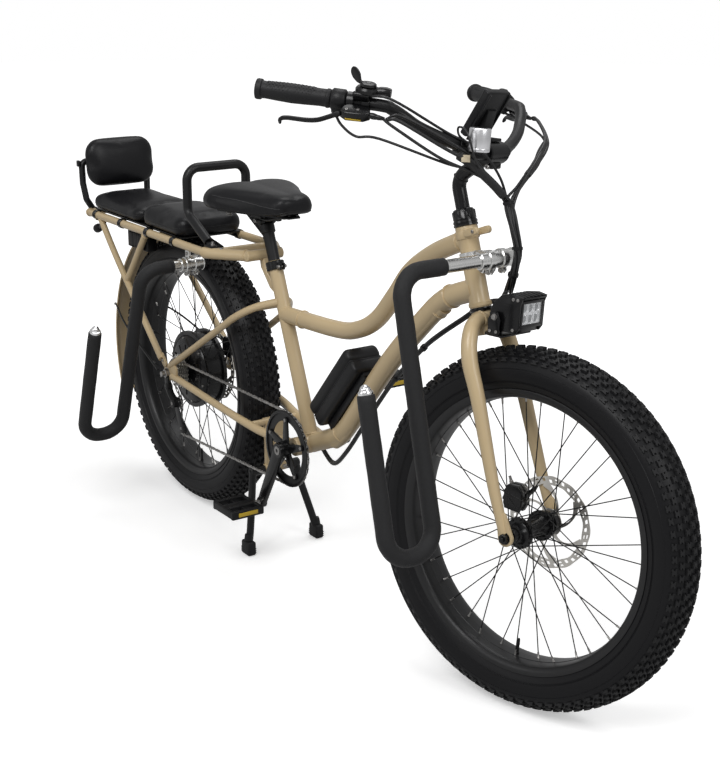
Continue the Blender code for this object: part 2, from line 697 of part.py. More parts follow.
def spokes(centre, flange_r, flange_y):
    """Half of the spokes leave each flange, leaning one way on the left and the other on the right."""
    made = []
    reach = (RIM_INNER_R - GAP)*math.cos(math.pi/WHEEL_STEPS) - 0.0006
    for side in (-1, 1):
        for i in range(SPOKES//2):
            a = math.tau*(i + 0.25*side)/(SPOKES//2)
            b = a + side*math.radians(38 if flange_r < 0.05 else 12)
            start = Vector((flange_r*math.cos(a), flange_y*side, flange_r*math.sin(a)))
            end = Vector((reach*math.cos(b), 0.010*side, reach*math.sin(b)))
            made.append(rod("spoke", centre + start, centre + end, SPOKE_R, sides=3))
    return made


def front_hub():
    bore = opening(AXLE_R + RUNNING, 16)
    end = FRONT_ROTOR_Y - ROTOR_THICK/2 - GAP
    profile = [(-0.062, bore), (-0.062, 0.014), (-FLANGE_Y - 0.003, 0.016), (-FLANGE_Y - 0.003, FLANGE_R),
               (-FLANGE_Y, FLANGE_R), (-FLANGE_Y, 0.018), (FLANGE_Y, 0.018), (FLANGE_Y, FLANGE_R),
               (FLANGE_Y + 0.003, FLANGE_R), (FLANGE_Y + 0.003, 0.022), (end, 0.022), (end, bore)]
    hub = turned("front_hub", FRONT_AXLE, (0, 1, 0), profile, 16)
    return weld(hub, *spokes(FRONT_AXLE, FLANGE_R - 0.003, FLANGE_Y + 0.0005))


def rear_motor():
    bore = opening(REAR_AXLE_R + RUNNING, 20)
    end = REAR_ROTOR_Y - ROTOR_THICK/2 - GAP
    profile = [(-0.052, bore), (-0.052, 0.022), (-MOTOR_HALF, 0.024), (-MOTOR_HALF, 0.080), (-0.026, MOTOR_R),
               (0.026, MOTOR_R), (MOTOR_HALF, 0.080), (MOTOR_HALF, 0.024), (end, 0.024), (end, bore)]
    hub = turned("rear_motor", REAR_AXLE, (0, 1, 0), profile, 20)
    return weld(hub, *spokes(REAR_AXLE, MOTOR_R - 0.003, 0.021))


def rotor(name, centre, y):
    """A six-arm disc: a braking ring, an inner ring and slanted arms."""
    thick = ROTOR_THICK/2
    low, high = Vector((0, y - thick, 0)), Vector((0, y + thick, 0))
    outer = sleeve(name, centre + low, centre + high, ROTOR_R, ROTOR_R - 0.015, 20)
    inner = sleeve("inner", centre + low, centre + high, 0.027, 0.0165, 10)
    arms = []
    for i in range(6):
        a = math.tau*i/6
        start = Vector((0.0245*math.cos(a), 0.0245*math.sin(a)))
        end = Vector((0.077*math.cos(a + 0.55), 0.077*math.sin(a + 0.55)))
        along = (end - start).normalized()*0.003
        wide = Vector((-along.y, along.x))
        outline = [start - wide, start + wide, end + wide, end - wide]
        place = Matrix.Translation(centre) @ side_plane(y)
        arms.append(plate("arm", [(p.x, p.y) for p in outline], ROTOR_THICK*0.8, place))
    return weld(outer, inner, *arms)


def rear_cassette():
    bore = REAR_AXLE_R + 0.003
    profile = [(-0.0765, bore), (-0.0765, 0.020), (-0.0725, 0.022), (-0.0725, SPROCKET_R - CHAIN_R - 0.0010),
               (-0.0638, SPROCKET_R - CHAIN_R - 0.0010), (-0.0635, 0.038),
                (-0.0560, 0.044), (-0.0545, 0.044), (-0.0545, bore)]
    return turned("cassette", REAR_AXLE, (0, 1, 0), profile, 16)


# Drive

def belt(wheels, steps=4):
    """A closed path round wheels of (x, z, radius, turn), turn being 1 or -1 for which way it wraps."""
    lines = []
    for (x1, z1, r1, s1), (x2, z2, r2, s2) in zip(wheels, wheels[1:] + wheels[:1]):
        d = Vector((x2 - x1, z2 - z1))
        u = d.normalized()
        right = Vector((u.y, -u.x))
        k = (r1*s1 - r2*s2)/d.length
        n = u*k + right*math.sqrt(1 - k*k)
        lines.append((Vector((x1, z1)) + n*r1*s1, Vector((x2, z2)) + n*r2*s2))
    path = []
    for i, (x, z, r, s) in enumerate(wheels):
        arrive, leave = lines[i - 1][1], lines[i][0]
        c = Vector((x, z))
        a = math.atan2(*(arrive - c).yx)
        b = math.atan2(*(leave - c).yx)
        sweep = (b - a) % math.tau if s > 0 else -((a - b) % math.tau)
        count = max(2, round(steps*abs(sweep)/1.2))
        path += [(c.x + r*math.cos(a + sweep*j/count), c.y + r*math.sin(a + sweep*j/count))
                 for j in range(count + 1)]
    return path


GUIDE_PULLEY = (-WHEELBASE + 0.012, TYRE_R - 0.078)
TENSION_PULLEY = (-WHEELBASE + 0.036, TYRE_R - 0.140)


def chain():
    wheels = [(BB_X, BB_Z, CHAINRING_R, -1), (*TENSION_PULLEY, PULLEY_R, -1), (*GUIDE_PULLEY, PULLEY_R, 1),
              (-WHEELBASE, TYRE_R, SPROCKET_R, -1)]
    return tube("chain", [Vector((x, CHAIN_Y, z)) for x, z in belt(wheels)], CHAIN_R, 4, closed=True)


def derailleur():
    """The body that hangs from the right dropout, the cage and its two pulleys."""
    y = CHAIN_Y
    pulley_r = PULLEY_R - CHAIN_R - 0.0008
    pulleys = [rod("pulley", (x, y - 0.006, z), (x, y + 0.002, z), pulley_r, sides=12)
               for x, z in (GUIDE_PULLEY, TENSION_PULLEY)]
    outline = stadium(GUIDE_PULLEY, TENSION_PULLEY, 0.013, 0.013, 3)
    cage = plate("derailleur", outline, 0.003, side_plane(y - 0.0075))
    body = rod("body", (GUIDE_PULLEY[0] - 0.002, y - 0.008, GUIDE_PULLEY[1] + 0.004),
               (-WHEELBASE + 0.004, -REAR_HALF - 0.006, TYRE_R - 0.034), 0.0105, sides=8)
    hanger = block("hanger", (0.018, 0.006, 0.026), (-WHEELBASE + 0.004, -REAR_HALF - 0.0072, TYRE_R - 0.030))
    return weld(cage, *pulleys, body, hanger)


def crank_arm(name, side, pedal):
    bb, axle = (BB_X, BB_Z), (pedal.x, pedal.z)
    arm = plate(name, stadium(bb, axle, 0.0175, 0.0125, 4), CRANK_THICK, side_plane(CRANK_Y*side))
    hole = rod("hole", (pedal.x, 0.07*side, pedal.z),
                (pedal.x, 0.11*side, pedal.z), PEDAL_PIN_R + RUNNING, sides=10)
    return cut(arm, hole)


def right_crank():
    """The right arm with the chainring on its five-armed spider."""
    arm = crank_arm("right_crank", -1, PEDAL_AXLE)
    ring_r = CHAINRING_R - CHAIN_R - 0.0016
    centre = BOTTOM_BRACKET
    near, far = centre + Vector((0, CHAIN_Y - 0.0015, 0)), centre + Vector((0, CHAIN_Y + 0.0015, 0))
    ring = sleeve("ring", near, far, ring_r, 0.052, 24)
    arms = []
    for i in range(5):
        a = math.tau*i/5 + 0.3
        end = Vector((centre.x + 0.060*math.cos(a), centre.z + 0.060*math.sin(a)))
        outline = stadium((centre.x, centre.z), end, 0.012, 0.007, 2)
        arms.append(plate("arm", outline, 0.0060, side_plane(CHAIN_Y - 0.0033)))
    boss = rod("boss", centre + Vector((0, -CRANK_Y - 0.004, 0)),
                centre + Vector((0, CHAIN_Y, 0)), 0.019, sides=12)
    whole = weld(arm, boss, *arms, ring)
    near, far = centre + Vector((0, -0.2, 0)), centre + Vector((0, -0.05, 0))
    bore = rod("bore", near, far, opening(SPINDLE_R + GAP, 12), sides=12)
    return cut(whole, bore)


def left_crank():
    """The left arm with the spindle that crosses the shell."""
    opposite = BOTTOM_BRACKET*2 - PEDAL_AXLE
    arm = crank_arm("left_crank", 1, opposite)
    near, far = BOTTOM_BRACKET + Vector((0, -CRANK_Y - 0.005, 0)), BOTTOM_BRACKET + Vector((0, CRANK_Y, 0))
    spindle = rod("spindle", near, far, SPINDLE_R, sides=12)
    return weld(arm, spindle)


def pedal(name, side, axle):
    """A platform: an outer cage with two windows and a barrel on the axle."""
    wide, deep, high = PEDAL_SIZE
    y = PEDAL_Y*side
    cage = block(name, PEDAL_SIZE, (axle.x, y, axle.z), None, 0.003)
    windows = [block("window", (0.026, deep - 0.026, 0.05), (axle.x + 0.0245*k, y, axle.z)) for k in (-1, 1)]
    pin = rod("pin", (axle.x, (CRANK_Y - 0.005)*side, axle.z), (axle.x, y, axle.z), PEDAL_PIN_R, sides=10)
    face = (CRANK_Y + CRANK_THICK/2 + 0.0008)*side
    shoulder = rod("shoulder", (axle.x, face, axle.z), (axle.x, y, axle.z), 0.0075, sides=8)
    return weld(cut(cage, *windows), pin, shoulder)


def centre_stand():
    """Two legs on one pivot, splayed, with a block foot each."""
    half = 0.0665
    pin = rod("centre_stand", STAND_PIVOT - Vector((0, half, 0)),
               STAND_PIVOT + Vector((0, half, 0)), 0.0050, sides=12)
    parts = []
    for side in (-1, 1):
        near, far = STAND_PIVOT + Vector((0, 0.0295*side, 0)), STAND_PIVOT + Vector((0, half*side, 0))
        collar = rod("collar", near, far, 0.0110, sides=12)
        leg = [STAND_PIVOT + Vector((0, 0.060*side, 0)), STAND_PIVOT + Vector((0.006, 0.066*side, -0.040)),
               (STAND_FOOT.x, STAND_FOOT.y*side, 0.018)]
        foot = block("foot", (0.036, 0.022, 0.046), (STAND_FOOT.x, STAND_FOOT.y*side, 0.023), None, 0.003)
        parts += [collar, tube("leg", smooth(leg, 2), 0.0088, 8), foot]
    return weld(pin, *parts)


# Rack, seats and fittings at the rear

def rear_rack():
    """Two rails, a rear and a middle cross tube, two struts each side and the tubes to the seat tube."""
    hub = Vector((-0.9515, 0, 0.700))
    cross = rod("rear_rack", hub - Vector((0, 0.046, 0)), hub + Vector((0, 0.046, 0)), 0.0125, sides=12)
    parts = []
    for side in (-1, 1):
        rail = [(RAIL_REAR_X, RAIL_Y*side, RAIL_Z), (RAIL_FRONT_X, RAIL_Y*side, RAIL_Z + 0.004)]
        big = [(RAIL_FRONT_X - 0.010, RAIL_Y*side, RAIL_Z + 0.004),
               (RAIL_FRONT_X + 0.015, 0.084*side, RAIL_Z + 0.005),
               (hub.x, 0.034*side, hub.z)]
        long_strut = [(RAIL_REAR_X + 0.067, RAIL_Y*side, RAIL_Z), (RAIL_REAR_X + 0.172, 0.0905*side, 0.585),
                      (-WHEELBASE - 0.018, (REAR_HALF + 0.009)*side, TYRE_R + 0.034)]
        short_strut = [(RAIL_REAR_X + 0.340, RAIL_Y*side, RAIL_Z), (RAIL_REAR_X + 0.220, 0.0905*side, 0.544)]
        outline = stadium((-WHEELBASE - 0.006, TYRE_R + 0.026),
                          (-WHEELBASE - 0.020, TYRE_R + 0.040), 0.010, 0.010, 3)
        foot = plate("foot", outline, 0.005, side_plane((REAR_HALF + 0.0065)*side))
        parts += [rod("rail", *rail, RAIL_R, sides=8), tube("big", big, 0.0130, 8),
                  tube("long", long_strut, 0.0085, 6), rod("short", *short_strut, 0.0085, sides=6), foot]
    rear_bar = rod("bar", (RAIL_REAR_X, -RAIL_Y, RAIL_Z), (RAIL_REAR_X, RAIL_Y, RAIL_Z), 0.0085, sides=8)
    near, far = (RAIL_FRONT_X, -0.085, RAIL_Z + 0.004), (RAIL_FRONT_X, 0.085, RAIL_Z + 0.004)
    front_bar = rod("front_bar", near, far, 0.0085, sides=8)
    outline = [(-0.962, 0.700), (-0.945, 0.700), (-0.926, 0.664), (-0.888, 0.640), (-0.880, 0.608),
               (-0.915, 0.628), (-0.955, 0.670)]
    neck = plate("neck", outline, 0.014, side_plane(0))
    seat = rod("seat", BOTTOM_BRACKET, SEAT_TOP, SEAT_TUBE_R + GAP)
    return weld(cross, *parts, rear_bar, front_bar, cut(neck, seat))


CLAMP_X = (RAIL_REAR_X + 0.052, RAIL_REAR_X + 0.203, RAIL_REAR_X + 0.352, RAIL_REAR_X + 0.491)


def cushion_base():
    """The plate under both cushions, with the bands that grip the rails."""
    low, high = RAIL_Z + RAIL_R, CUSHION_BASE - GAP
    x0, x1 = REAR_CUSHION_X[0] + 0.012, FRONT_CUSHION_X[1] - 0.012
    base = block("cushion_base", (x1 - x0, 2*RAIL_Y, high - low), ((x0 + x1)/2, 0, (low + high)/2))
    bands = []
    for x in CLAMP_X:
        for side in (-1, 1):
            z = RAIL_Z + 0.004*(x - RAIL_REAR_X)/(RAIL_FRONT_X - RAIL_REAR_X)
            ends = (x - 0.007, RAIL_Y*side, z), (x + 0.007, RAIL_Y*side, z)
            bands.append(rod("band", *ends, (RAIL_R + BAND_WALL)/math.cos(math.pi/6), sides=6))
    base = weld(base, *bands)
    rails = []
    for side in (-1, 1):
        ends = (RAIL_REAR_X - 0.01, RAIL_Y*side, RAIL_Z), (RAIL_FRONT_X, RAIL_Y*side, RAIL_Z + 0.004)
        rails.append(rod("rail", *ends, RAIL_R + GAP, sides=8))
    return cut(base, *rails)


def cushion_ring(t, half_x, half_y, corner=0.032):
    """One level of a crowned cushion: a round-cornered rectangle whose sides are drawn in at the middle."""
    pull = 0.004*math.sin(math.pi*min(t, 1.0))
    points = []
    for cx, cy, first in ((1, 1, 0.0), (-1, 1, math.pi/2), (-1, -1, math.pi), (1, -1, math.pi*1.5)):
        for i in range(5):
            a = first + math.pi/2*i/4
            x = cx*(half_x - corner) + corner*math.cos(a)
            y = cy*(half_y - corner) + corner*math.sin(a)
            points.append((x, y))
        next_x, next_y = {(1, 1): (0, 1), (-1, 1): (-1, 0), (-1, -1): (0, -1), (1, -1): (1, 0)}[(cx, cy)]
        points.append((next_x*(half_x - pull), next_y*(half_y - pull)))
    return points


def padded_block(name, size_x, size_y, thick, crown, place):
    """A cushion: flat below, swelling at the side and crowned on top."""
    levels = [(0.00, 0.94, 0.0), (0.16, 0.99, 0.10), (0.50, 1.00, 0.5), (0.80, 0.965, 0.9), (0.95, 0.87, 1.0),
              (1.0 + 0.4*crown/thick, 0.62, 1.0), (1.0 + crown/thick, 0.25, 1.0)]
    bm = bmesh.new()
    rings = []
    for z, share, t in levels:
        inset = (1 - share)*min(size_x, size_y)/2
        ring = cushion_ring(t, size_x/2 - inset, size_y/2 - inset, max(0.032 - inset*0.6, 0.008))
        rings.append([bm.verts.new((x, y, z*thick)) for x, y in ring])
    for low, high in zip(rings, rings[1:]):
        for i in range(len(low)):
            j = (i + 1) % len(low)
            bm.faces.new((low[i], low[j], high[j], high[i]))
    bm.faces.new(list(reversed(rings[0])))
    bm.faces.new(rings[-1])
    bmesh.ops.transform(bm, matrix=place, verts=bm.verts)
    return mesh_from(name, bm)


def seat_cushion(name, span, thick):
    place = Matrix.Translation(((span[0] + span[1])/2, 0, CUSHION_BASE))
    return padded_block(name, span[1] - span[0], 2*CUSHION_HALF, thick, 0.006, place)


BACKREST_CENTRE = Vector((RAIL_REAR_X - 0.0045, 0.0, 0.8190))
BACKREST_LEAN = math.radians(8)


def backrest():
    """The pad facing forwards, and the bent tube that carries it."""
    lean = Matrix.Rotation(math.radians(90) - BACKREST_LEAN, 4, "Y")
    pad = padded_block("backrest_pad", 0.130, 0.196, 0.040, 0.004, Matrix.Translation(BACKREST_CENTRE) @ lean)
    back = BACKREST_CENTRE.x - 0.0180
    legs = []
    for side in (-1, 1):
        legs.append([(back, 0.030*side, 0.822), (back, 0.0945*side, 0.822), (back + 0.002, 0.0945*side, 0.765),
                     (back + 0.010, 0.090*side, 0.722), (RAIL_REAR_X - 0.0122, 0.070*side, RAIL_Z)])
    left = tube("backrest_frame", rounded(legs[1], 0.012, 2), 0.0085, 6)
    right = tube("right", rounded(legs[0], 0.012, 2), 0.0085, 6)
    bridge = rod("bridge", (back, -0.040, 0.822), (back, 0.040, 0.822), 0.0080, sides=6)
    tabs = [block("tab", (0.012, 0.012, 0.016), (back + 0.002, 0.104*side, 0.818)) for side in (-1, 1)]
    tabs += [block("tab", (0.016, 0.030, 0.020), (back + 0.010, 0.050*side, 0.822)) for side in (-1, 1)]
    frame = weld(left, right, bridge, *tabs)
    face = block("face", (0.3, 0.3, 0.3), (0, 0, 0.15 - GAP))
    face.data.transform(Matrix.Translation(BACKREST_CENTRE) @ lean)
    bar = rod("bar", (RAIL_REAR_X, -0.2, RAIL_Z), (RAIL_REAR_X, 0.2, RAIL_Z), 0.0085 + GAP, sides=8)
    rails = []
    for side in (-1, 1):
        ends = (RAIL_REAR_X - GAP, RAIL_Y*side, RAIL_Z), (RAIL_REAR_X + 0.112, RAIL_Y*side, RAIL_Z)
        rails.append(rod("rail", *ends, RAIL_R + GAP, sides=8))
    return pad, cut(frame, face, bar, *rails)


def grab_bar():
    x, y, top = -1.166, 0.080, 0.877
    path = [(-1.062, -y, 0.7160), (x, -y, 0.770), (x, -y, top), (x, y, top), (x, y, 0.770), (-1.062, y, 0.7160)]
    loop = tube("grab_bar", rounded(path, 0.028, 2), 0.0112, 8)
    feet = [block("foot", (0.030, 0.016, 0.0125), (-1.060, y*side, 0.7155)) for side in (-1, 1)]
    bars = []
    for side in (-1, 1):
        ends = (-1.2, RAIL_Y*side, RAIL_Z + 0.0031), (RAIL_FRONT_X + 0.03, RAIL_Y*side, RAIL_Z + 0.0045)
        bars.append(rod("rail", *ends, opening(0.0133, 8), sides=8))
    bolts = [rod("bolt", (-1.050, y*side, 0.720), (-1.050, y*side, 0.7255), 0.005, sides=6) for side in (-1, 1)]
    return cut(weld(loop, *feet, *bolts), *bars)


def right_rail_room():
    """The room that the right rail takes in what is fastened to it."""
    return rod("rail", (RAIL_REAR_X, -RAIL_Y, RAIL_Z),
                (RAIL_FRONT_X, -RAIL_Y, RAIL_Z + 0.004), RAIL_R + GAP, sides=8)


def junction_box():
    x = RAIL_REAR_X + 0.265
    box = block("controller_box", (0.106, 0.030, 0.042), (x, -0.0645, 0.655), None, 0.003)
    hollow = block("hollow", (0.030, 0.020, 0.028), (x - 0.050, -0.0645, 0.655))
    tab = block("tab", (0.020, 0.012, 0.010), (x + 0.007, -0.0645, 0.680))
    return cut(weld(box, tab), hollow, right_rail_room())


def rear_fender():
    """A mudguard strip over the back of the rear wheel, from under the rack down, with its stays."""
    bm = bmesh.new()
    outer, inner, half = 0.388, 0.3855, 0.056
    rings = []
    steps = 10
    for i in range(steps + 1):
        a = math.radians(90 + 37 + (112 - 37)*i/steps)
        ring = []
        for y, r in ((-half, outer - 0.016), (-half*0.62, outer), (half*0.62, outer), (half, outer - 0.016),
                     (half - 0.002, inner - 0.016), (half*0.60, inner),
                      (-half*0.60, inner), (-half + 0.002, inner - 0.016)):
            ring.append(bm.verts.new((REAR_AXLE.x + r*math.cos(a), y, REAR_AXLE.z + r*math.sin(a))))
        rings.append(ring)
    for a, b in zip(rings, rings[1:]):
        for i in range(len(a)):
            j = (i + 1) % len(a)
            bm.faces.new((a[i], a[j], b[j], b[i]))
    bm.faces.new(rings[0])
    bm.faces.new(list(reversed(rings[-1])))
    shell = mesh_from("rear_fender", bm)
    stays = []
    for side in (-1, 1):
        a = math.radians(165)
        rim_point = (REAR_AXLE.x + 0.380*math.cos(a), half*side*0.97, REAR_AXLE.z + 0.380*math.sin(a))
        near = (REAR_AXLE.x - 0.027, (REAR_HALF + 0.0165)*side, REAR_AXLE.z + 0.004)
        middle = (REAR_AXLE.x - 0.240, 0.085*side, 0.415)
        stays.append(tube("stay", smooth([rim_point, middle, near], 1), 0.0028, 6))
    return weld(shell, *stays)


def tail_light():
    """A small round lamp on a slanted bracket under the rail's rear end."""
    start = Vector((RAIL_REAR_X + 0.043, -0.0735, 0.6665))
    end = Vector((RAIL_REAR_X - 0.010, -0.0600, 0.6420))
    arm = rod("tail_light", start, end, 0.0045, sides=8)
    lamp = rod("lamp", end + Vector((0.010, 0, 0.004)), end - Vector((0.014, 0, 0.005)), 0.0120, 0.0105, 14)
    pad = block("pad", (0.014, 0.016, 0.016), start + Vector((0.006, -0.0010, 0.004)))
    path = [(RAIL_REAR_X + 0.067, -RAIL_Y, RAIL_Z), (RAIL_REAR_X + 0.172, -0.0905, 0.585),
            (-WHEELBASE - 0.018, -REAR_HALF - 0.009, TYRE_R + 0.034)]
    strut = tube("strut", path, 0.0085 + GAP, 6)
    return cut(weld(arm, lamp, pad), strut, right_rail_room())


def battery():
    """The long pack on top of the down tube, inside the main triangle, on its own saddle."""
    a, b = Vector((-0.440, 0, 0.573)), Vector((-0.625, 0, 0.360))
    along = (b - a).normalized()
    up = Vector((-along.z, 0, along.x))
    if up.z < 0:
        up = -up
    centre = (a + b)/2 + up*0.060 + along*0.045
    turn = Matrix((along, up.cross(along), up)).transposed()
    pack = block("battery_pack", (0.220, 0.088, 0.062), centre, turn, 0.008)
    saddle = block("saddle", (0.200, 0.040, 0.030), centre - up*0.034, turn)
    down = tube("down", down_tube_path(), TUBE_DOWN_R + GAP, 10)
    return cut(weld(pack, saddle), down)


# Saddle

def seat_post():
    return rod("seat_post", SEAT_TOP - SEAT_AXIS*0.14, SEAT_TOP + SEAT_AXIS*POST_SHOWN, POST_R)


def saddle():
    """The rails, clamp and pan, and the wide pad over them."""
    nose, (length, width) = SADDLE_NOSE_X, SADDLE_SIZE
    stations = [(0.00, 0.040, 0.016, 0.042), (0.04, 0.060, 0.011, 0.050), (0.18, 0.074, 0.009, 0.054),
                (0.38, 0.088, 0.008, 0.057), (0.60, 0.110, 0.008, 0.060), (0.78, 0.128, 0.007, 0.062),
                (0.92, 0.124, 0.008, 0.062), (1.00, 0.098, 0.014, 0.052)]
    bm = bmesh.new()
    rings = []
    for share, half, low, high in stations:
        x = nose - share*length
        half *= width/0.256
        deep = high - low
        section = [(-0.72, low), (-0.98, low + deep*0.12), (-1.0, low + deep*0.40), (-0.90, low + deep*0.78),
                   (-0.62, low + deep*0.96), (-0.25, low + deep*0.99), (0, low + deep*0.97)]
        section += [(-u, z) for u, z in reversed(section[:-1])]
        rings.append([bm.verts.new((x, u*half, SADDLE_Z + z)) for u, z in section])
    for a, b in zip(rings, rings[1:]):
        for i in range(len(a)):
            j = (i + 1) % len(a)
            bm.faces.new((a[i], a[j], b[j], b[i]))
    bm.faces.new(rings[0])
    bm.faces.new(list(reversed(rings[-1])))
    pad = mesh_from("saddle_pad", bm)
    top = SEAT_TOP + SEAT_AXIS*POST_SHOWN
    clamp = block("saddle_frame", (0.046, 0.052, 0.024), (top.x, 0, 0.7850))
    bolt = rod("bolt", (top.x, -0.030, 0.7840), (top.x, 0.030, 0.7840), 0.005, sides=8)
    rails = []
    for side in (-1, 1):
        path = [(-0.848, 0.012*side, 0.8045), (-0.872, 0.019*side, 0.8010), (-0.902, 0.0215*side, 0.7900),
                (-0.965, 0.0230*side, 0.7900), (-0.998, 0.0300*side, 0.8035)]
        rails.append(tube("rail", path, 0.0035, 6))
    pan = block("pan", (0.156, 0.076, 0.004), (-0.9345, 0, 0.8047))
    post = rod("post", SEAT_TOP, top + SEAT_AXIS*GAP, opening(POST_R + GAP, 12), sides=12)
    return pad, cut(weld(clamp, bolt, *rails, pan), post)


# Side rack

def receiver(name, arm, near, far, mount):
    """A sleeve across the bicycle with two clamp bands under it, and the block that holds it."""
    pivot = arm["pivot"]
    body = rod(name, pivot + Vector((0, near, 0)), pivot + Vector((0, far, 0)), SLEEVE_R, sides=12)
    parts = [mount]
    for share in (0.30, 0.68):
        y = near + (far - near)*share
        ends = pivot + Vector((0, y - 0.006, 0)), pivot + Vector((0, y + 0.006, 0))
        parts.append(rod("band", *ends, SLEEVE_R + 0.0022, sides=12))
        parts.append(block("ear", (0.012, 0.011, 0.018), pivot + Vector((0.004, y, -SLEEVE_R - 0.006))))
    ends = pivot + Vector((0, near - 0.01, 0)), pivot + Vector((0, far + 0.01, 0))
    bore = rod("bore", *ends, opening(ARM_R + RUNNING, 12), sides=12)
    return cut(weld(body, *parts), bore)


def front_receiver():
    pivot = FRONT_ARM["pivot"]
    centre = Vector((-0.157, 0.004, pivot.z - 0.004))
    mount = block("mount", (0.040, 0.026, 0.036), centre)
    head = rod("head", on_axis(HEAD_LOW - 0.02), on_axis(HEAD_LOW + HEAD_LENGTH + 0.02), HEAD_R + GAP)
    return receiver("front_receiver", FRONT_ARM, -0.033, 0.047, cut(mount, head))


def rear_receiver():
    pivot = REAR_ARM["pivot"]
    hanger = block("hanger", (0.020, 0.030, 0.050), pivot + Vector((0, -0.078, 0.022)))
    top = block("top", (0.1, 0.1, 0.02), (pivot.x, -0.078, 0.7008 + 0.0098))
    return receiver("rear_receiver", REAR_ARM, -0.112, -0.052, cut(hanger, right_rail_room(), top))


def arm(prefix, data):
    """The bent tube with a dome end, and the foam over its hooked part, in one plane before the swing."""
    pivot, drop = data["pivot"], data["drop"]
    low = pivot.z - drop
    start = Vector((pivot.x, data["inside"], pivot.z))
    corners = [start, (pivot.x, ARM_INNER_Y, pivot.z), (pivot.x, ARM_INNER_Y, low), (pivot.x, ARM_OUTER_Y, low),
               (pivot.x, ARM_OUTER_Y, low + data["upright"])]
    bend = 0.048
    path = rounded(corners, bend, 3)
    metal = tube(prefix, path, ARM_R, 8)
    dome = turned("dome", (pivot.x, ARM_OUTER_Y, low + data["upright"] - 0.001), (0, 0, 1),
                  [(0, 0), (0, 0.0135), (0.006, 0.0135), (0.016, 0.0080), (0.019, 0)], 10)
    metal = weld(metal, dome)
    foam_start = Vector((pivot.x, data["foam"], pivot.z))
    cover = rounded([foam_start] + corners[1:], bend, 3)
    cover[-1] = Vector((pivot.x, ARM_OUTER_Y, low + data["upright"] - 0.0015))
    foam = tube(prefix + "_foam", cover, FOAM_R, 8)
    inner = tube("inner", path, ARM_R + GAP, 8)
    return metal, cut(foam, inner)


# Cables

def hung(point):
    """A cable point with its share of the bar's turn: all of it up at the bar, none at the light."""
    point = Vector(point)
    share = max(0.0, min(1.0, (point.z - 0.775)/0.167))
    return on_axis(0.0) + Matrix.Rotation(STEER_TURN*share, 3, STEER_AXIS) @ (point - on_axis(0.0))


def cable_loom():
    """The wires and housings from both hands, bundled, down past the head tube and along the frame."""
    right, left = HAND_SIDE["right"], HAND_SIDE["left"]
    meet = Vector((-0.122, 0.004, 0.942))
    right_path = [on_grip(right, 0.236, 0.034), on_grip(right, 0.262, 0.034), (-0.176, -0.140, 1.040),
                  (-0.148, -0.085, 1.012), (-0.134, -0.036, 0.978), meet]
    left_path = [on_grip(left, 0.236, 0.034), on_grip(left, 0.262, 0.038), (-0.150, 0.150, 1.045),
                 (-0.128, 0.090, 1.010), (-0.122, 0.035, 0.972), meet]
    trunk = [meet, (-0.100, 0.006, 0.890), (-0.092, 0.008, 0.850),
             (-0.100, 0.010, 0.808), (-0.118, 0.026, 0.775),
             (-0.150, 0.041, 0.752), (-0.192, 0.040, 0.738), (-0.232, 0.022, 0.703), (-0.280, 0.004, 0.664),
             (-0.333, 0, 0.622), (-0.426, 0, 0.535), (-0.520, 0, 0.425), (-0.608, 0.002, 0.320),
             (-0.700, 0.026, 0.260), (-0.790, 0.048, 0.272), (-0.880, 0.064, 0.282), (-0.980, 0.084, 0.296),
             (-1.120, 0.098, 0.312), (-1.235, 0.104, 0.331), (-1.262, 0.106, 0.336)]
    front = [hung(point) for point in trunk[:9]]
    loom = tube("cable_loom", smooth(front, 2) + [Vector(p) for p in trunk[9:]], 0.0062, 8)
    right_end = tube("right", smooth([hung(point) for point in right_path], 2), 0.0058, 8)
    left_end = tube("left", smooth([hung(point) for point in left_path], 2), 0.0050, 8)
    return weld(loom, right_end, left_end)


# Assembly

def clear_scene():
    for item in list(bpy.data.objects):
        bpy.data.objects.remove(item)


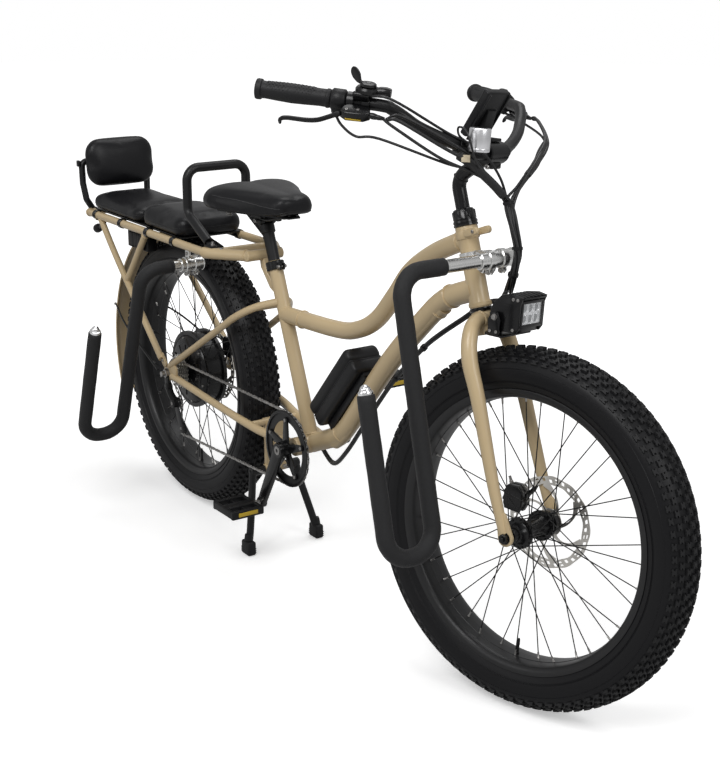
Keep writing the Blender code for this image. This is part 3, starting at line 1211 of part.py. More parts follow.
def build():
    clear_scene()
    tan = finish("tan_paint", (0.40, 0.31, 0.20), 0.42)
    black = finish("black_paint", (0.012, 0.012, 0.013), 0.40)
    plastic = finish("black_plastic", (0.020, 0.020, 0.021), 0.55)
    rubber = finish("tyre_rubber", (0.018, 0.018, 0.019), 0.75)
    foam_finish = finish("black_foam", (0.022, 0.022, 0.023), 0.90)
    vinyl = finish("black_vinyl", (0.022, 0.022, 0.024), 0.50)
    steel = finish("brushed_steel", (0.55, 0.55, 0.55), 0.35, 1.0)
    chrome = finish("chrome", (0.75, 0.75, 0.76), 0.12, 1.0)

    root = axis_empty("bicycle", (0, 0, 0))
    turn = axis_empty("steering_axis", on_axis(HEAD_LOW), root)
    front = axis_empty("front_wheel_axis", FRONT_AXLE, turn)
    rear = axis_empty("rear_wheel_axis", REAR_AXLE, root)
    sprockets = axis_empty("cassette_axis", REAR_AXLE, root)
    crank = axis_empty("crank_axis", BOTTOM_BRACKET, root)
    pedals = {-1: PEDAL_AXLE, 1: BOTTOM_BRACKET*2 - PEDAL_AXLE}
    stand = axis_empty("stand_axis", STAND_PIVOT, root)
    post = axis_empty("seat_post_axis", SEAT_TOP, root)

    cup, ring = headset()
    rear_pad = seat_cushion("rear_cushion", REAR_CUSHION_X, REAR_CUSHION_THICK)
    front_pad = seat_cushion("front_cushion", FRONT_CUSHION_X, FRONT_CUSHION_THICK)
    back_pad, back_frame = backrest()
    hang(root, tan, main_frame(), rear_stays(), rear_rack(), rear_fender())
    hang(root, black, cup, ring, seat_clamp(), cushion_base(), back_frame, grab_bar())
    hang(root, plastic, battery(), junction_box(), tail_light(), derailleur(), cable_loom())
    hang(root, vinyl, rear_pad, front_pad, back_pad)
    hang(root, steel, front_receiver(), rear_receiver(), chain())
    rear_brake = caliper("rear_caliper", REAR_ROTOR_Y, 0.0415, 0.0665,
                          (-WHEELBASE + 0.068, 0.410), (-WHEELBASE + 0.084, 0.072, 0.4250))
    hang(root, black, rear_brake)

    hang(turn, tan, fork())
    hang(turn, black, stem(), handlebar(), light_bracket())
    front_brake = caliper("front_caliper", FRONT_ROTOR_Y, 0.0510, 0.0800,
                           (-0.080, 0.376), (-0.052, 0.078, 0.395))
    hang(turn, black, front_brake)
    hang(turn, plastic, display(), grip("left_grip", HAND_SIDE["left"]))
    hang(turn, chrome, horn())
    for name, side, housing in (("right_perch", -1, 0.0185), ("left_perch", 1, 0.0205)):
        hang(turn, plastic, perch(name, side, housing)[0])
    unit, paddle, paddle_at, _ = shifter()
    hang(turn, plastic, unit)
    hang(axis_empty("shift_paddle_axis", paddle_at, turn), plastic, paddle)
    key, key_at, _ = rocker()
    hang(axis_empty("assist_rocker_axis", key_at, turn), plastic, key)
    hang(axis_empty("throttle_axis", on_grip(-1, GRIP_LENGTH/2), turn),
         rubber, grip("throttle_grip", HAND_SIDE["right"]))
    for name, side in (("right_lever", -1), ("left_lever", 1)):
        hang(axis_empty(name + "_axis", on_grip(side, LEVER_ROOT, 0.036), turn), black, lever(name, side))
    hang(axis_empty("headlight_axis", LIGHT_PIVOT, turn), black, headlight())

    hang(front, rubber, tyre("front_tyre", FRONT_AXLE))
    hang(front, black, rim("front_rim", FRONT_AXLE), front_hub())
    hang(front, steel, rotor("front_rotor", FRONT_AXLE, FRONT_ROTOR_Y))
    hang(rear, rubber, tyre("rear_tyre", REAR_AXLE))
    hang(rear, black, rim("rear_rim", REAR_AXLE), rear_motor())
    hang(rear, steel, rotor("rear_rotor", REAR_AXLE, REAR_ROTOR_Y))
    hang(sprockets, steel, rear_cassette())

    hang(crank, black, right_crank(), left_crank())
    for name, side in (("right_pedal", -1), ("left_pedal", 1)):
        at = pedals[side]
        hang(axis_empty(name + "_axis", at + Vector((0, PEDAL_Y*side, 0)), crank),
             plastic, pedal(name, side, at))
    hang(stand, black, centre_stand())
    seat_pad, seat_frame = saddle()
    hang(post, vinyl, seat_pad)
    hang(post, black, seat_post(), seat_frame)

    for prefix, data in (("front_arm", FRONT_ARM), ("rear_arm", REAR_ARM)):
        pivot = axis_empty(prefix + "_axis", data["pivot"], root)
        metal, cover = arm(prefix, data)
        hang(pivot, steel, metal)
        hang(pivot, foam_finish, cover)
        pivot.rotation_euler = (0, -math.radians(data["swing"]), 0)

    turn.rotation_mode = "QUATERNION"
    turn.rotation_quaternion = Matrix.Rotation(STEER_TURN, 3, STEER_AXIS).to_quaternion()
    root.location = Vector((-ORIGIN_X, -ORIGIN_Y, 0))
    bpy.context.view_layer.update()


build()
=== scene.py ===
"""Looks of a fat-tyre cruiser electric bicycle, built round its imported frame.

Shapes are drawn in metres from the point where the front wheel meets the ground with the bar
straight, +X forwards and +Y to the rider's left, and a placement then moves each piece to where
its body stands.
"""
from __future__ import annotations

import logging
import math
from dataclasses import dataclass
from enum import Enum
from typing import Sequence

import bmesh
import bpy
from bpy.types import Material, Node, NodeSocket, NodeTree, Object
from mathutils import Matrix, Vector
from mathutils.bvhtree import BVHTree

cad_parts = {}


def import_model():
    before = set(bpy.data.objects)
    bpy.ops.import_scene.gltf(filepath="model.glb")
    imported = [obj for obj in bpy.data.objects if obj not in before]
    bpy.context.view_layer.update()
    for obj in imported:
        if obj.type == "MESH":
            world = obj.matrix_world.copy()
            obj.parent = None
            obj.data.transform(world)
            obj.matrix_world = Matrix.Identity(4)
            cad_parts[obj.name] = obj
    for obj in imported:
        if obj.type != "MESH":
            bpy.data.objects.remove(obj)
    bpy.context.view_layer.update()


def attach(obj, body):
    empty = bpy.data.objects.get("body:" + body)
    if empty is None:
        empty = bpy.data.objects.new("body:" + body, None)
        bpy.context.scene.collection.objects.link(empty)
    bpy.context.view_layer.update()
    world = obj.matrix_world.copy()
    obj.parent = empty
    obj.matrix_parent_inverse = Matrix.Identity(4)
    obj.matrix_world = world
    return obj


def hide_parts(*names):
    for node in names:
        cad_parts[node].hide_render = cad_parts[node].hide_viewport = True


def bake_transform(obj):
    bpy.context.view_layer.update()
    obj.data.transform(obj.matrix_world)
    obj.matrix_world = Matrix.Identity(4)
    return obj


log = logging.getLogger("bicycle")
Point = Sequence[float]
Path = Sequence[Point]
Line = Sequence[tuple[float, float]]
HAIR = 1e-7
MERGE = 2e-6
SIDES = (-1, 1)


# Node trees

def fill(tree: NodeTree, made: Node, inputs: dict[str | int, object]) -> None:
    """Sets the inputs of a node, each to a value or to what another node gives.

    Args:
        tree: The tree that the node is in.
        made: The node.
        inputs: Values or sockets, by the input's name or number.
    """
    for key, value in inputs.items():
        if isinstance(value, NodeSocket):
            tree.links.new(value, made.inputs[key])
        else:
            made.inputs[key].default_value = value


def node(tree: NodeTree, kind: str, inputs: dict[str | int, object] | None = None, **options: str | bool) -> Node:
    """Adds a node and sets it up.

    Args:
        tree: The tree to add to.
        kind: The shader node's type, or a geometry node's after a point.
        inputs: What its inputs get, as in fill.
        options: Its properties.

    Returns:
        The node.
    """
    made = tree.nodes.new("ShaderNode" + kind if kind[0] != "." else "GeometryNode" + kind[1:])
    for key, value in options.items():
        setattr(made, key, value)
    fill(tree, made, inputs or {})
    return made


# Finishes

class Grain(Enum):
    """How the surface of a finish is broken up."""

    SMOOTH = "smooth"
    PEEL = "peel"
    LEATHER = "leather"
    RUBBER = "rubber"
    FOAM = "foam"
    BRUSHED = "brushed"
    BRAID = "braid"


GRAIN_SCALE = {Grain.SMOOTH: 60.0, Grain.PEEL: 520.0, Grain.LEATHER: 620.0, Grain.RUBBER: 900.0, Grain.FOAM: 1300.0,
    Grain.BRUSHED: 260.0, Grain.BRAID: 700.0}
# What a cell pattern measures, and the distance at which it is full
CELLS = {Grain.LEATHER: ("DISTANCE_TO_EDGE", 0.25), Grain.FOAM: ("F1", 0.8)}
DUST = (0.16, 0.145, 0.125)
DUST_FROM, DUST_TO = 0.52, 0.78
BROAD_NOISE, FINE_NOISE = (14.0, 3.0), (180.0, 4.0)
BUMP_DEPTH = 0.0006
LEAST_ROUGH, MOST_ROUGH = 0.88, 1.14


@dataclass(frozen=True)
class Finish:
    """One paint, metal, plastic or covering, made of procedural nodes."""

    name: str
    slot: str
    colour: tuple[float, float, float]
    roughness: float
    metallic: float = 0.0
    grain: Grain = Grain.SMOOTH
    bump: float = 0.0
    variation: float = 0.12
    coat: float = 0.0
    sheen: float = 0.0
    dust: float = 0.0
    emission: float = 0.0
    alpha: float = 1.0
    shine: float = 0.5

    def material(self) -> Material:
        """Returns the material, made on first use."""
        return bpy.data.materials.get(self.name) or self._make()

    def _make(self) -> Material:
        """Builds the node tree: base colour, wear, roughness and bump.

        Returns:
            The new material.
        """
        made = bpy.data.materials.new(self.name)
        made.use_nodes = True
        tree = made.node_tree
        shader = tree.nodes["Principled BSDF"]
        where = node(tree, "TexCoord").outputs["Object"]
        broad = self._noise(tree, where, *BROAD_NOISE)
        fine = self._noise(tree, where, *FINE_NOISE)
        low = [c*(1.0 - self.variation) for c in self.colour]
        high = [min(1.0, c*(1.0 + self.variation)) for c in self.colour]
        colour = self._mix(tree, broad, low, high)
        if self.dust:
            ramp = node(tree, "MapRange", {"From Min": DUST_FROM, "From Max": DUST_TO, "To Max": self.dust,
                "Value": fine})
            colour = self._mix(tree, ramp.outputs[0], colour, DUST)
        rough = node(tree, "MapRange",
            {"To Min": max(0.02, self.roughness*LEAST_ROUGH), "To Max": min(1.0, self.roughness*MOST_ROUGH),
            "Value": fine})
        fill(tree, shader, {"Base Color": colour, "Roughness": rough.outputs[0], "Metallic": self.metallic,
            "Coat Weight": self.coat, "Coat Roughness": 0.12, "Sheen Weight": self.sheen, "Alpha": self.alpha,
            "Specular IOR Level": self.shine})
        # Emission paints a glow into the surface; only the reflector uses it, as a painted glow standing in for
        # reflected light.
        if self.emission:
            fill(tree, shader, {"Emission Color": (*self.colour, 1.0), "Emission Strength": self.emission})
        if self.bump:
            bump = node(tree, "Bump",
                {"Strength": self.bump, "Distance": BUMP_DEPTH, "Height": self._relief(tree, where)})
            fill(tree, shader, {"Normal": bump.outputs[0]})
        made.diffuse_color = (*self.colour, 1.0)
        return made

    def _noise(self, tree: NodeTree, where: NodeSocket, scale: float, detail: float) -> NodeSocket:
        """Adds a noise and returns its value."""
        return node(tree, "TexNoise", {"Scale": scale, "Detail": detail, "Vector": where}).outputs[0]

    def _mix(self, tree: NodeTree, share: NodeSocket, low: object, high: object) -> NodeSocket:
        """Mixes two colours, each a list of numbers or a socket, by a share.

        Args:
            tree: The material's tree.
            share: How much of the second colour shows.
            low: The first colour.
            high: The second colour.

        Returns:
            The mixed colour.
        """
        mix = node(tree, "Mix", {"Factor": share}, data_type="RGBA")
        sides = [s for s in mix.inputs if s.type == "RGBA"]
        for socket, value in zip(sides, (low, high)):
            if isinstance(value, NodeSocket):
                tree.links.new(value, socket)
            else:
                socket.default_value = (*value, 1.0)
        return [s for s in mix.outputs if s.type == "RGBA"][0]

    def _relief(self, tree: NodeTree, where: NodeSocket) -> NodeSocket:
        """Returns the height that the bump reads, for this grain.

        Args:
            tree: The material's tree.
            where: The coordinates that it reads.

        Returns:
            The height's socket.
        """
        scale = GRAIN_SCALE[self.grain]
        if self.grain in CELLS:
            feature, reach = CELLS[self.grain]
            cells = node(tree, "TexVoronoi", {"Scale": scale, "Vector": where}, feature=feature)
            return node(tree, "MapRange", {"From Max": reach, "Value": cells.outputs["Distance"]}).outputs[0]
        if self.grain is Grain.BRUSHED:
            stretch = node(tree, "Mapping", {"Scale": (1.0, 0.06, 1.0), "Vector": where})
            return node(tree, "TexNoise", {"Scale": scale*4, "Vector": stretch.outputs[0]}).outputs[0]
        if self.grain is Grain.BRAID:
            return node(tree, "TexWave", {"Scale": scale*0.35, "Vector": where},
                bands_direction="DIAGONAL").outputs["Fac"]
        return self._noise(tree, where, scale, 3.0)


TAN = Finish("tan_enamel", "tan_paint", (0.6, 0.462, 0.27), 0.34, grain=Grain.PEEL, bump=0.05, variation=0.03,
    coat=0.22, shine=0.42)
BLACK = Finish("black_enamel", "black_paint", (0.005, 0.005, 0.0056), 0.26, grain=Grain.PEEL, bump=0.05, coat=0.1,
    shine=0.3)
SATIN = Finish("satin_black_metal", "black_paint", (0.0085, 0.0085, 0.0092), 0.38, 0.1, Grain.PEEL, 0.08, shine=0.34)
PLASTIC = Finish("moulded_black_plastic", "black_plastic", (0.008, 0.008, 0.0088), 0.42, grain=Grain.PEEL, bump=0.12,
    shine=0.25)
GLOSS = Finish("gloss_black_plastic", "black_plastic", (0.0055, 0.0055, 0.0062), 0.16, coat=0.2, grain=Grain.PEEL,
    bump=0.03, shine=0.36)
TYRE = Finish("casing_rubber", "tyre_rubber", (0.006, 0.006, 0.007), 0.42, grain=Grain.RUBBER, bump=0.06, dust=0.006,
    shine=0.2)
TREAD = Finish("tread_rubber", "tyre_rubber", (0.0095, 0.0095, 0.0105), 0.55, grain=Grain.RUBBER, bump=0.15,
    dust=0.03, shine=0.28)
RIM = Finish("black_anodised_rim", "alloy", (0.016, 0.016, 0.017), 0.34, 0.35, Grain.BRUSHED, 0.1)
GRIP = Finish("grip_rubber", "rubber", (0.0105, 0.0105, 0.0115), 0.52, grain=Grain.RUBBER, bump=0.3, shine=0.29)
CABLE = Finish("cable_sleeve", "rubber", (0.014, 0.014, 0.015), 0.38, grain=Grain.RUBBER, bump=0.12, coat=0.08,
    shine=0.38)
BRAID = Finish("braided_wrap", "rubber", (0.02, 0.02, 0.021), 0.6, grain=Grain.BRAID, bump=0.9)
FOAM = Finish("foam_sleeve", "black_foam", (0.0125, 0.0125, 0.0135), 0.6, grain=Grain.FOAM, bump=0.45, sheen=0.04,
    shine=0.32)
VINYL = Finish("vinyl_cover", "black_vinyl", (0.006, 0.006, 0.0072), 0.36, grain=Grain.LEATHER, bump=0.05,
    variation=0.15, shine=0.25)
THREAD = Finish("seam_thread", "black_vinyl", (0.035, 0.035, 0.037), 0.7, grain=Grain.BRAID, bump=0.4)
STEEL = Finish("ground_steel", "brushed_steel", (0.68, 0.66, 0.62), 0.3, 1.0, Grain.BRUSHED, 0.18, 0.08)
POLISHED = Finish("polished_alloy", "brushed_steel", (0.72, 0.72, 0.71), 0.26, 1.0, Grain.BRUSHED, 0.1, 0.06)
CHROME = Finish("chrome_plate", "chrome", (0.93, 0.93, 0.94), 0.12, 1.0, Grain.PEEL, 0.02, 0.03)
DRAWN = Finish("drawn_chrome", "chrome", (0.78, 0.78, 0.8), 0.3, 1.0, Grain.BRUSHED, 0.06, 0.04)
CHAIN_STEEL = Finish("chain_steel", "brushed_steel", (0.36, 0.35, 0.34), 0.36, 1.0, Grain.PEEL, 0.2, 0.15)
# The reflector's emission is a painted glow: it stands in for the bright reflection of the lamps in the unlit lamp's
# bowls.
GLOWING_REFLECTOR = Finish("lamp_reflector", "chrome", (0.95, 0.95, 0.96), 0.16, 1.0, Grain.PEEL, 0.05, 0.03, emission=0.16)
LENS = Finish("lamp_glass", "black_plastic", (0.86, 0.88, 0.9), 0.06, alpha=0.3, coat=0.6, variation=0.02)
RED = Finish("red_lens", "black_plastic", (0.5, 0.02, 0.015), 0.18, coat=0.6, grain=Grain.PEEL, bump=0.05)
YELLOW = Finish("yellow_band", "black_plastic", (0.62, 0.42, 0.03), 0.4, grain=Grain.PEEL, bump=0.05)
TAG = Finish("bare_label", "black_plastic", (0.55, 0.47, 0.33), 0.55, grain=Grain.PEEL, bump=0.1)
SCREEN = Finish("screen_glass", "black_plastic", (0.01, 0.011, 0.013), 0.07, coat=1.0, variation=0.02)


# Meshes

def shown(name: str, bm: bmesh.types.BMesh) -> Object:
    """Turns a bmesh into an object of the scene, and frees it.

    Args:
        name: The new object's name.
        bm: The shape.

    Returns:
        The object.
    """
    mesh = bpy.data.meshes.new(name)
    bm.to_mesh(mesh)
    bm.free()
    item = bpy.data.objects.new(name, mesh)
    bpy.context.scene.collection.objects.link(item)
    return item


def wrap(name: str, bm: bmesh.types.BMesh, face_out: bool = True) -> Object:
    """Turns a bmesh into an object, its doubles merged and its faces outwards.

    Args:
        name: The new object's name.
        bm: The shape.
        face_out: Whether its faces are turned outwards.

    Returns:
        The object.
    """
    bmesh.ops.remove_doubles(bm, verts=bm.verts, dist=MERGE)
    if face_out:
        bmesh.ops.recalc_face_normals(bm, faces=bm.faces)
    return shown(name, bm)


def angles(count: int) -> list[float]:
    """Gives this many even angles round a circle."""
    return [math.tau*k/count for k in range(count)]


def oval(centre: Vector, across: Vector, up: Vector, count: int) -> list[Vector]:
    """Gives the points of an oval with these two half axes."""
    return [centre + across*math.cos(t) + up*math.sin(t) for t in angles(count)]


def heading(line: Sequence[Vector], i: int) -> Vector:
    """Gives the way that a line runs at one of its points."""
    return (line[min(i + 1, len(line) - 1)] - line[max(i - 1, 0)]).normalized()


def length_of(line: Sequence[Vector]) -> float:
    """Gives the length of a closed line."""
    return sum((a - b).length for a, b in zip(line, line[1:] + line[:1]))


def vec(*parts: float) -> Vector:
    """Makes a vector of these numbers."""
    return Vector(parts)


def smooth(points: Path, steps: int = 6) -> list[Vector]:
    """Reads points from a smooth curve through the given ones.

    Args:
        points: The places that the curve runs through.
        steps: Points for each stretch between two of them.

    Returns:
        The points, both ends kept.
    """
    pts = [Vector(p) for p in points]
    ends = [pts[0]*2 - pts[1], *pts, pts[-1]*2 - pts[-2]]
    path = []
    for a, b, c, d in zip(ends, ends[1:], ends[2:], ends[3:]):
        for i in range(steps):
            t = i/steps
            path.append(0.5*((2*b) + (c - a)*t + (2*a - 5*b + 4*c - d)*t*t + (3*b - a - 3*c + d)*t**3))
    return path + [pts[-1]]


def rounded(points: Path, radius: float, steps: int = 10) -> list[Vector]:
    """Replaces the corners of a path by arcs of one radius.

    Args:
        points: The path's corners, between its two ends.
        radius: The arcs' radius.
        steps: Stretches in each arc.

    Returns:
        The points of the rounded path.
    """
    pts = [Vector(p) for p in points]
    path = [pts[0]]
    for before, corner, after in zip(pts, pts[1:], pts[2:]):
        a, b = (before - corner).normalized(), (after - corner).normalized()
        half = a.angle(b)/2
        back = radius/math.tan(half)
        centre = corner + (a + b).normalized()*radius/math.sin(half)
        start = corner + a*back - centre
        axis = start.cross(corner + b*back - centre).normalized()
        for i in range(steps + 1):
            path.append(centre + Matrix.Rotation((math.pi - 2*half)*i/steps, 3, axis) @ start)
    return path + [pts[-1]]


def taper(path: Path, first: float, last: float) -> list[float]:
    """Gives a radius for each point, changing evenly from first to last."""
    return [first + (last - first)*i/(len(path) - 1) for i in range(len(path))]


def tube(name: str, path: Path, radius: float | Sequence[float], sides: int = 20, closed: bool = False,
        ends: float = 0.0) -> Object:
    """Sweeps a round section along a path without twisting it.

    Args:
        name: The new object's name.
        path: The points of the middle line.
        radius: One radius, or one for each point.
        sides: Faces round the tube.
        closed: Whether the path meets itself.
        ends: Roundness of both ends, as a share of the radius.

    Returns:
        The tube as a mesh object.
    """
    pts = [Vector(p) for p in path]
    radii = [radius]*len(pts) if isinstance(radius, (int, float)) else list(radius)
    if ends and not closed:
        first, last = (pts[1] - pts[0]).normalized(), (pts[-1] - pts[-2]).normalized()
        r0, r1 = radii[0]*ends, radii[-1]*ends
        pts = [pts[0], pts[0] + first*r0*0.3, *pts[1:-1], pts[-1] - last*r1*0.3, pts[-1]]
        radii = [radii[0] - r0*0.6, radii[0] - r0*0.12, *radii[1:-1], radii[-1] - r1*0.12, radii[-1] - r1*0.6]
    count = len(pts)
    normal = None
    bm = bmesh.new()
    rings = []
    for i, p in enumerate(pts):
        along = (pts[(i + 1) % count] - pts[i - 1]).normalized() if closed else heading(pts, i)
        if normal is None:
            normal = along.orthogonal().normalized()
        normal = (normal - along*normal.dot(along)).normalized()
        across = along.cross(normal)
        rings.append([bm.verts.new(p + (normal*math.cos(a) + across*math.sin(a))*radii[i]) for a in angles(sides)])
    pairs = list(zip(rings, rings[1:]))
    if closed:
        shift = min(range(sides), key=lambda k: (rings[0][k].co - rings[-1][0].co).length)
        pairs.append((rings[-1], rings[0][shift:] + rings[0][:shift]))
    for a, b in pairs:
        for i in range(sides):
            j = (i + 1) % sides
            bm.faces.new((a[i], a[j], b[j], b[i]))
    if not closed:
        bm.faces.new(list(reversed(rings[0])))
        bm.faces.new(rings[-1])
    return wrap(name, bm)


def lathe(name: str, centre: Point, axis: Point, profile: Line, steps: int = 48) -> Object:
    """Turns a profile of (distance along the axis, radius) round the axis; both ends at radius 0 close it.

    A profile that ends off the axis is closed on itself, as a ring.

    Args:
        name: The new object's name.
        centre: Where the profile's distances start.
        axis: The way that they run.
        profile: The outline to turn.
        steps: Faces round the axis.

    Returns:
        The turned form.
    """
    way = Vector(axis).normalized()
    side = way.orthogonal().normalized()
    across = way.cross(side)
    bm = bmesh.new()
    rings = []
    for a, r in profile:
        foot = Vector(centre) + way*a
        ways = [side*math.cos(t) + across*math.sin(t) for t in angles(steps)] if r >= HAIR else [Vector()]
        rings.append([bm.verts.new(foot + way_out*r) for way_out in ways])
    pairs = list(zip(rings, rings[1:]))
    if profile[0][1] > HAIR or profile[-1][1] > HAIR:
        pairs.append((rings[-1], rings[0]))
    for a, b in pairs:
        for i in range(steps):
            j = (i + 1) % steps
            if len(a) == 1 and len(b) > 1:
                bm.faces.new((a[0], b[j], b[i]))
            elif len(a) > 1:
                bm.faces.new((a[i], a[j], b[0]) if len(b) == 1 else (a[i], a[j], b[j], b[i]))
    return wrap(name, bm)


def rod(name: str, start: Point, end: Point, radius: float, far: float | None = None, edge: float = 0.0008,
        steps: int = 24) -> Object:
    """Makes a round bar, or a cone, with broken edges.

    Args:
        name: The new object's name.
        start: The middle of one end.
        end: The middle of the other.
        radius: The radius at the start.
        far: The radius at the end, if it differs.
        edge: Size of the broken edges.
        steps: Faces round it.

    Returns:
        The bar.
    """
    along = Vector(end) - Vector(start)
    length = along.length
    last = radius if far is None else far
    edge = min(edge, radius*0.4, last*0.4, length*0.3)
    profile = [(0, 0), (0, radius - edge), (edge, radius), (length - edge, last), (length, last - edge), (length, 0)]
    return lathe(name, start, along, profile, steps)


def ring(name: str, start: Point, end: Point, radius: float, bore: float, edge: float = 0.0006,
        steps: int = 40) -> Object:
    """Makes a sleeve with broken edges.

    Args:
        name: The new object's name.
        start: The middle of one end.
        end: The middle of the other.
        radius: The outer radius.
        bore: The inner radius.
        edge: Size of the broken edges.
        steps: Faces round it.

    Returns:
        The sleeve.
    """
    along = Vector(end) - Vector(start)
    length = along.length
    edge = min(edge, length*0.3, (radius - bore)*0.4)
    profile = [(0, bore), (0, radius - edge), (edge, radius), (length - edge, radius), (length, radius - edge),
        (length, bore)]
    return lathe(name, start, along, profile, steps)


def block(name: str, size: Point, centre: Point, turn: Matrix | None = None, edge: float = 0.001,
        segments: int = 2) -> Object:
    """Makes a box with rounded edges.

    Args:
        name: The new object's name.
        size: Its three sides.
        centre: Its middle.
        turn: How it is turned about its middle.
        edge: The edges' radius.
        segments: Faces across each edge.

    Returns:
        The box.
    """
    bm = bmesh.new()
    bmesh.ops.create_cube(bm, size=1.0, matrix=Matrix.Diagonal((*size, 1.0)))
    edge = min(edge, min(size)*0.45)
    if edge:
        bmesh.ops.bevel(bm, geom=bm.edges[:], offset=edge, segments=segments, profile=0.5, affect="EDGES")
    place = Matrix.Translation(Vector(centre))
    if turn is not None:
        place = place @ turn.to_4x4()
    bmesh.ops.transform(bm, matrix=place, verts=bm.verts)
    return wrap(name, bm)


def prism(name: str, outline: Line, thick: float, place: Matrix, edge: float = 0.0006, segments: int = 2) -> Object:
    """Makes a plate from an outline of (x, y), centred on z, with rounded edges, then places it.

    Args:
        name: The new object's name.
        outline: The plate's corners in order.
        thick: Its thickness.
        place: Where it goes.
        edge: The edges' radius.
        segments: Faces across each edge.

    Returns:
        The plate.
    """
    bm = bmesh.new()
    low = [bm.verts.new((x, y, -thick/2)) for x, y in outline]
    face = bm.faces.new(low)
    made = bmesh.ops.extrude_face_region(bm, geom=[face])
    bmesh.ops.translate(bm, vec=(0, 0, thick), verts=[v for v in made["geom"] if isinstance(v, bmesh.types.BMVert)])
    if edge:
        rims = [e for e in bm.edges if abs(e.verts[0].co.z - e.verts[1].co.z) < HAIR]
        bmesh.ops.bevel(bm, geom=rims, offset=min(edge, thick*0.4), segments=segments, profile=0.5, affect="EDGES")
    bmesh.ops.transform(bm, matrix=place, verts=bm.verts)
    return wrap(name, bm)


def loft(name: str, rings: Sequence[Path], closed_ends: bool = True) -> Object:
    """Joins rings of equal length into one skin.

    Args:
        name: The new object's name.
        rings: The rings in order.
        closed_ends: Whether the first and last ring get a lid.

    Returns:
        The skin.
    """
    bm = bmesh.new()
    rows = [[bm.verts.new(p) for p in r] for r in rings]
    for a, b in zip(rows, rows[1:]):
        for i in range(len(a)):
            j = (i + 1) % len(a)
            bm.faces.new((a[i], a[j], b[j], b[i]))
    if closed_ends:
        bm.faces.new(list(reversed(rows[0])))
        bm.faces.new(rows[-1])
    return wrap(name, bm)


def stadium(start: Point, end: Point, r_start: float, r_end: float, steps: int = 12) -> list[tuple[float, float]]:
    """Gives the outline of a strap with a round end at each of two points.

    Args:
        start: One end's centre.
        end: The other's.
        r_start: The radius at the start.
        r_end: The radius at the end.
        steps: Stretches round each end.

    Returns:
        The outline's points.
    """
    a, b = Vector(start), Vector(end)
    angle = math.atan2(b.y - a.y, b.x - a.x)
    points = []
    for centre, radius, first in ((b, r_end, angle - math.pi/2), (a, r_start, angle + math.pi/2)):
        points += [(centre.x + radius*math.cos(first + math.pi*i/steps),
            centre.y + radius*math.sin(first + math.pi*i/steps)) for i in range(steps + 1)]
    return points


def side_plane(y: float) -> Matrix:
    """Puts a plate drawn in (x, z) on the plane at y."""
    return Matrix.Translation((0, y, 0)) @ Matrix.Rotation(math.pi/2, 4, "X")


def bolt(name: str, at: Point, out: Point, radius: float = 0.0045, height: float = 0.004) -> Object:
    """Makes a socket-headed screw whose head stands this far out of the surface.

    Args:
        name: The new object's name.
        at: Where its axis meets the surface.
        out: The way that it points.
        radius: The head's radius.
        height: How far the head stands out.

    Returns:
        The screw.
    """
    socket = radius*0.52
    profile = [(-0.002, 0), (-0.002, radius), (height*0.75, radius), (height, radius*0.86), (height, socket),
        (height*0.35, socket*0.96), (height*0.35, 0)]
    return lathe(name, at, out, profile, 18)


def nut(name: str, at: Point, out: Point, radius: float, height: float) -> Object:
    """Makes a six-sided nut with a chamfer, and its washer below.

    Args:
        name: The new object's name.
        at: Where its axis meets the surface.
        out: The way that it points.
        radius: Half its width over corners.
        height: Its height.

    Returns:
        The nut with its washer.
    """
    head = lathe(name, at, out, [(0, 0), (0, radius), (height*0.85, radius), (height, radius*0.85),
        (height, radius*0.45), (height*0.8, 0)], 6)
    washer = lathe("washer", at, out, [(-0.0012, 0), (-0.0012, radius*1.12), (0.0002, radius*1.15), (0.0002, 0)], 32)
    return join(name, [head, washer])


def join(name: str, items: Sequence[Object]) -> Object:
    """Puts several meshes into one object and removes the rest.

    Args:
        name: The new object's name.
        items: The objects to put together.

    Returns:
        The one object.
    """
    bm = bmesh.new()
    for item in items:
        bm.from_mesh(item.data)
        bpy.data.objects.remove(item)
    return shown(name, bm)


def subdivided(item: Object, levels: int = 2) -> Object:
    """Applies a subdivision surface.

    Args:
        item: The object.
        levels: How often each face is split.

    Returns:
        The same object.
    """
    step = item.modifiers.new("subdivide", "SUBSURF")
    step.levels = step.render_levels = levels
    return baked(item)


def baked(item: Object) -> Object:
    """Replaces an object's mesh by its evaluated one and drops the modifiers.

    Args:
        item: The object.

    Returns:
        The same object.
    """
    graph = bpy.context.evaluated_depsgraph_get()
    mesh = bpy.data.meshes.new_from_object(item.evaluated_get(graph))
    item.modifiers.clear()
    item.data = mesh
    return item


# Repeats, made with Geometry Nodes

def sockets(name: str, wanted: dict[str, str]) -> tuple[NodeTree, Node, Node]:
    """Starts a tree with a geometry and named inputs.

    Args:
        name: The tree's name.
        wanted: The kind of each input besides geometry, count and material, by its name.

    Returns:
        The tree with its first and its last node.
    """
    tree = bpy.data.node_groups.new(name, "GeometryNodeTree")
    for label, kind in {"Geometry": "Geometry", "Count": "Int", **wanted, "Material": "Material"}.items():
        tree.interface.new_socket(label, in_out="INPUT", socket_type="NodeSocket" + kind)
    tree.interface.new_socket("Geometry", in_out="OUTPUT", socket_type="NodeSocketGeometry")
    return tree, tree.nodes.new("NodeGroupInput"), tree.nodes.new("NodeGroupOutput")


def ended(tree: NodeTree, start: Node, end: Node, copies: dict[str, NodeSocket]) -> NodeTree:
    """Ends a tree: the copies on their points are made real and given the material.

    Args:
        tree: The tree.
        start: Its first node.
        end: Its last node.
        copies: What is set on which points, and how turned.

    Returns:
        The same tree.
    """
    spread = node(tree, ".InstanceOnPoints", copies)
    real = node(tree, ".RealizeInstances", {0: spread.outputs[0]})
    dress = node(tree, ".SetMaterial", {"Geometry": real.outputs[0], "Material": start.outputs["Material"]})
    fill(tree, end, {"Geometry": dress.outputs[0]})
    return tree


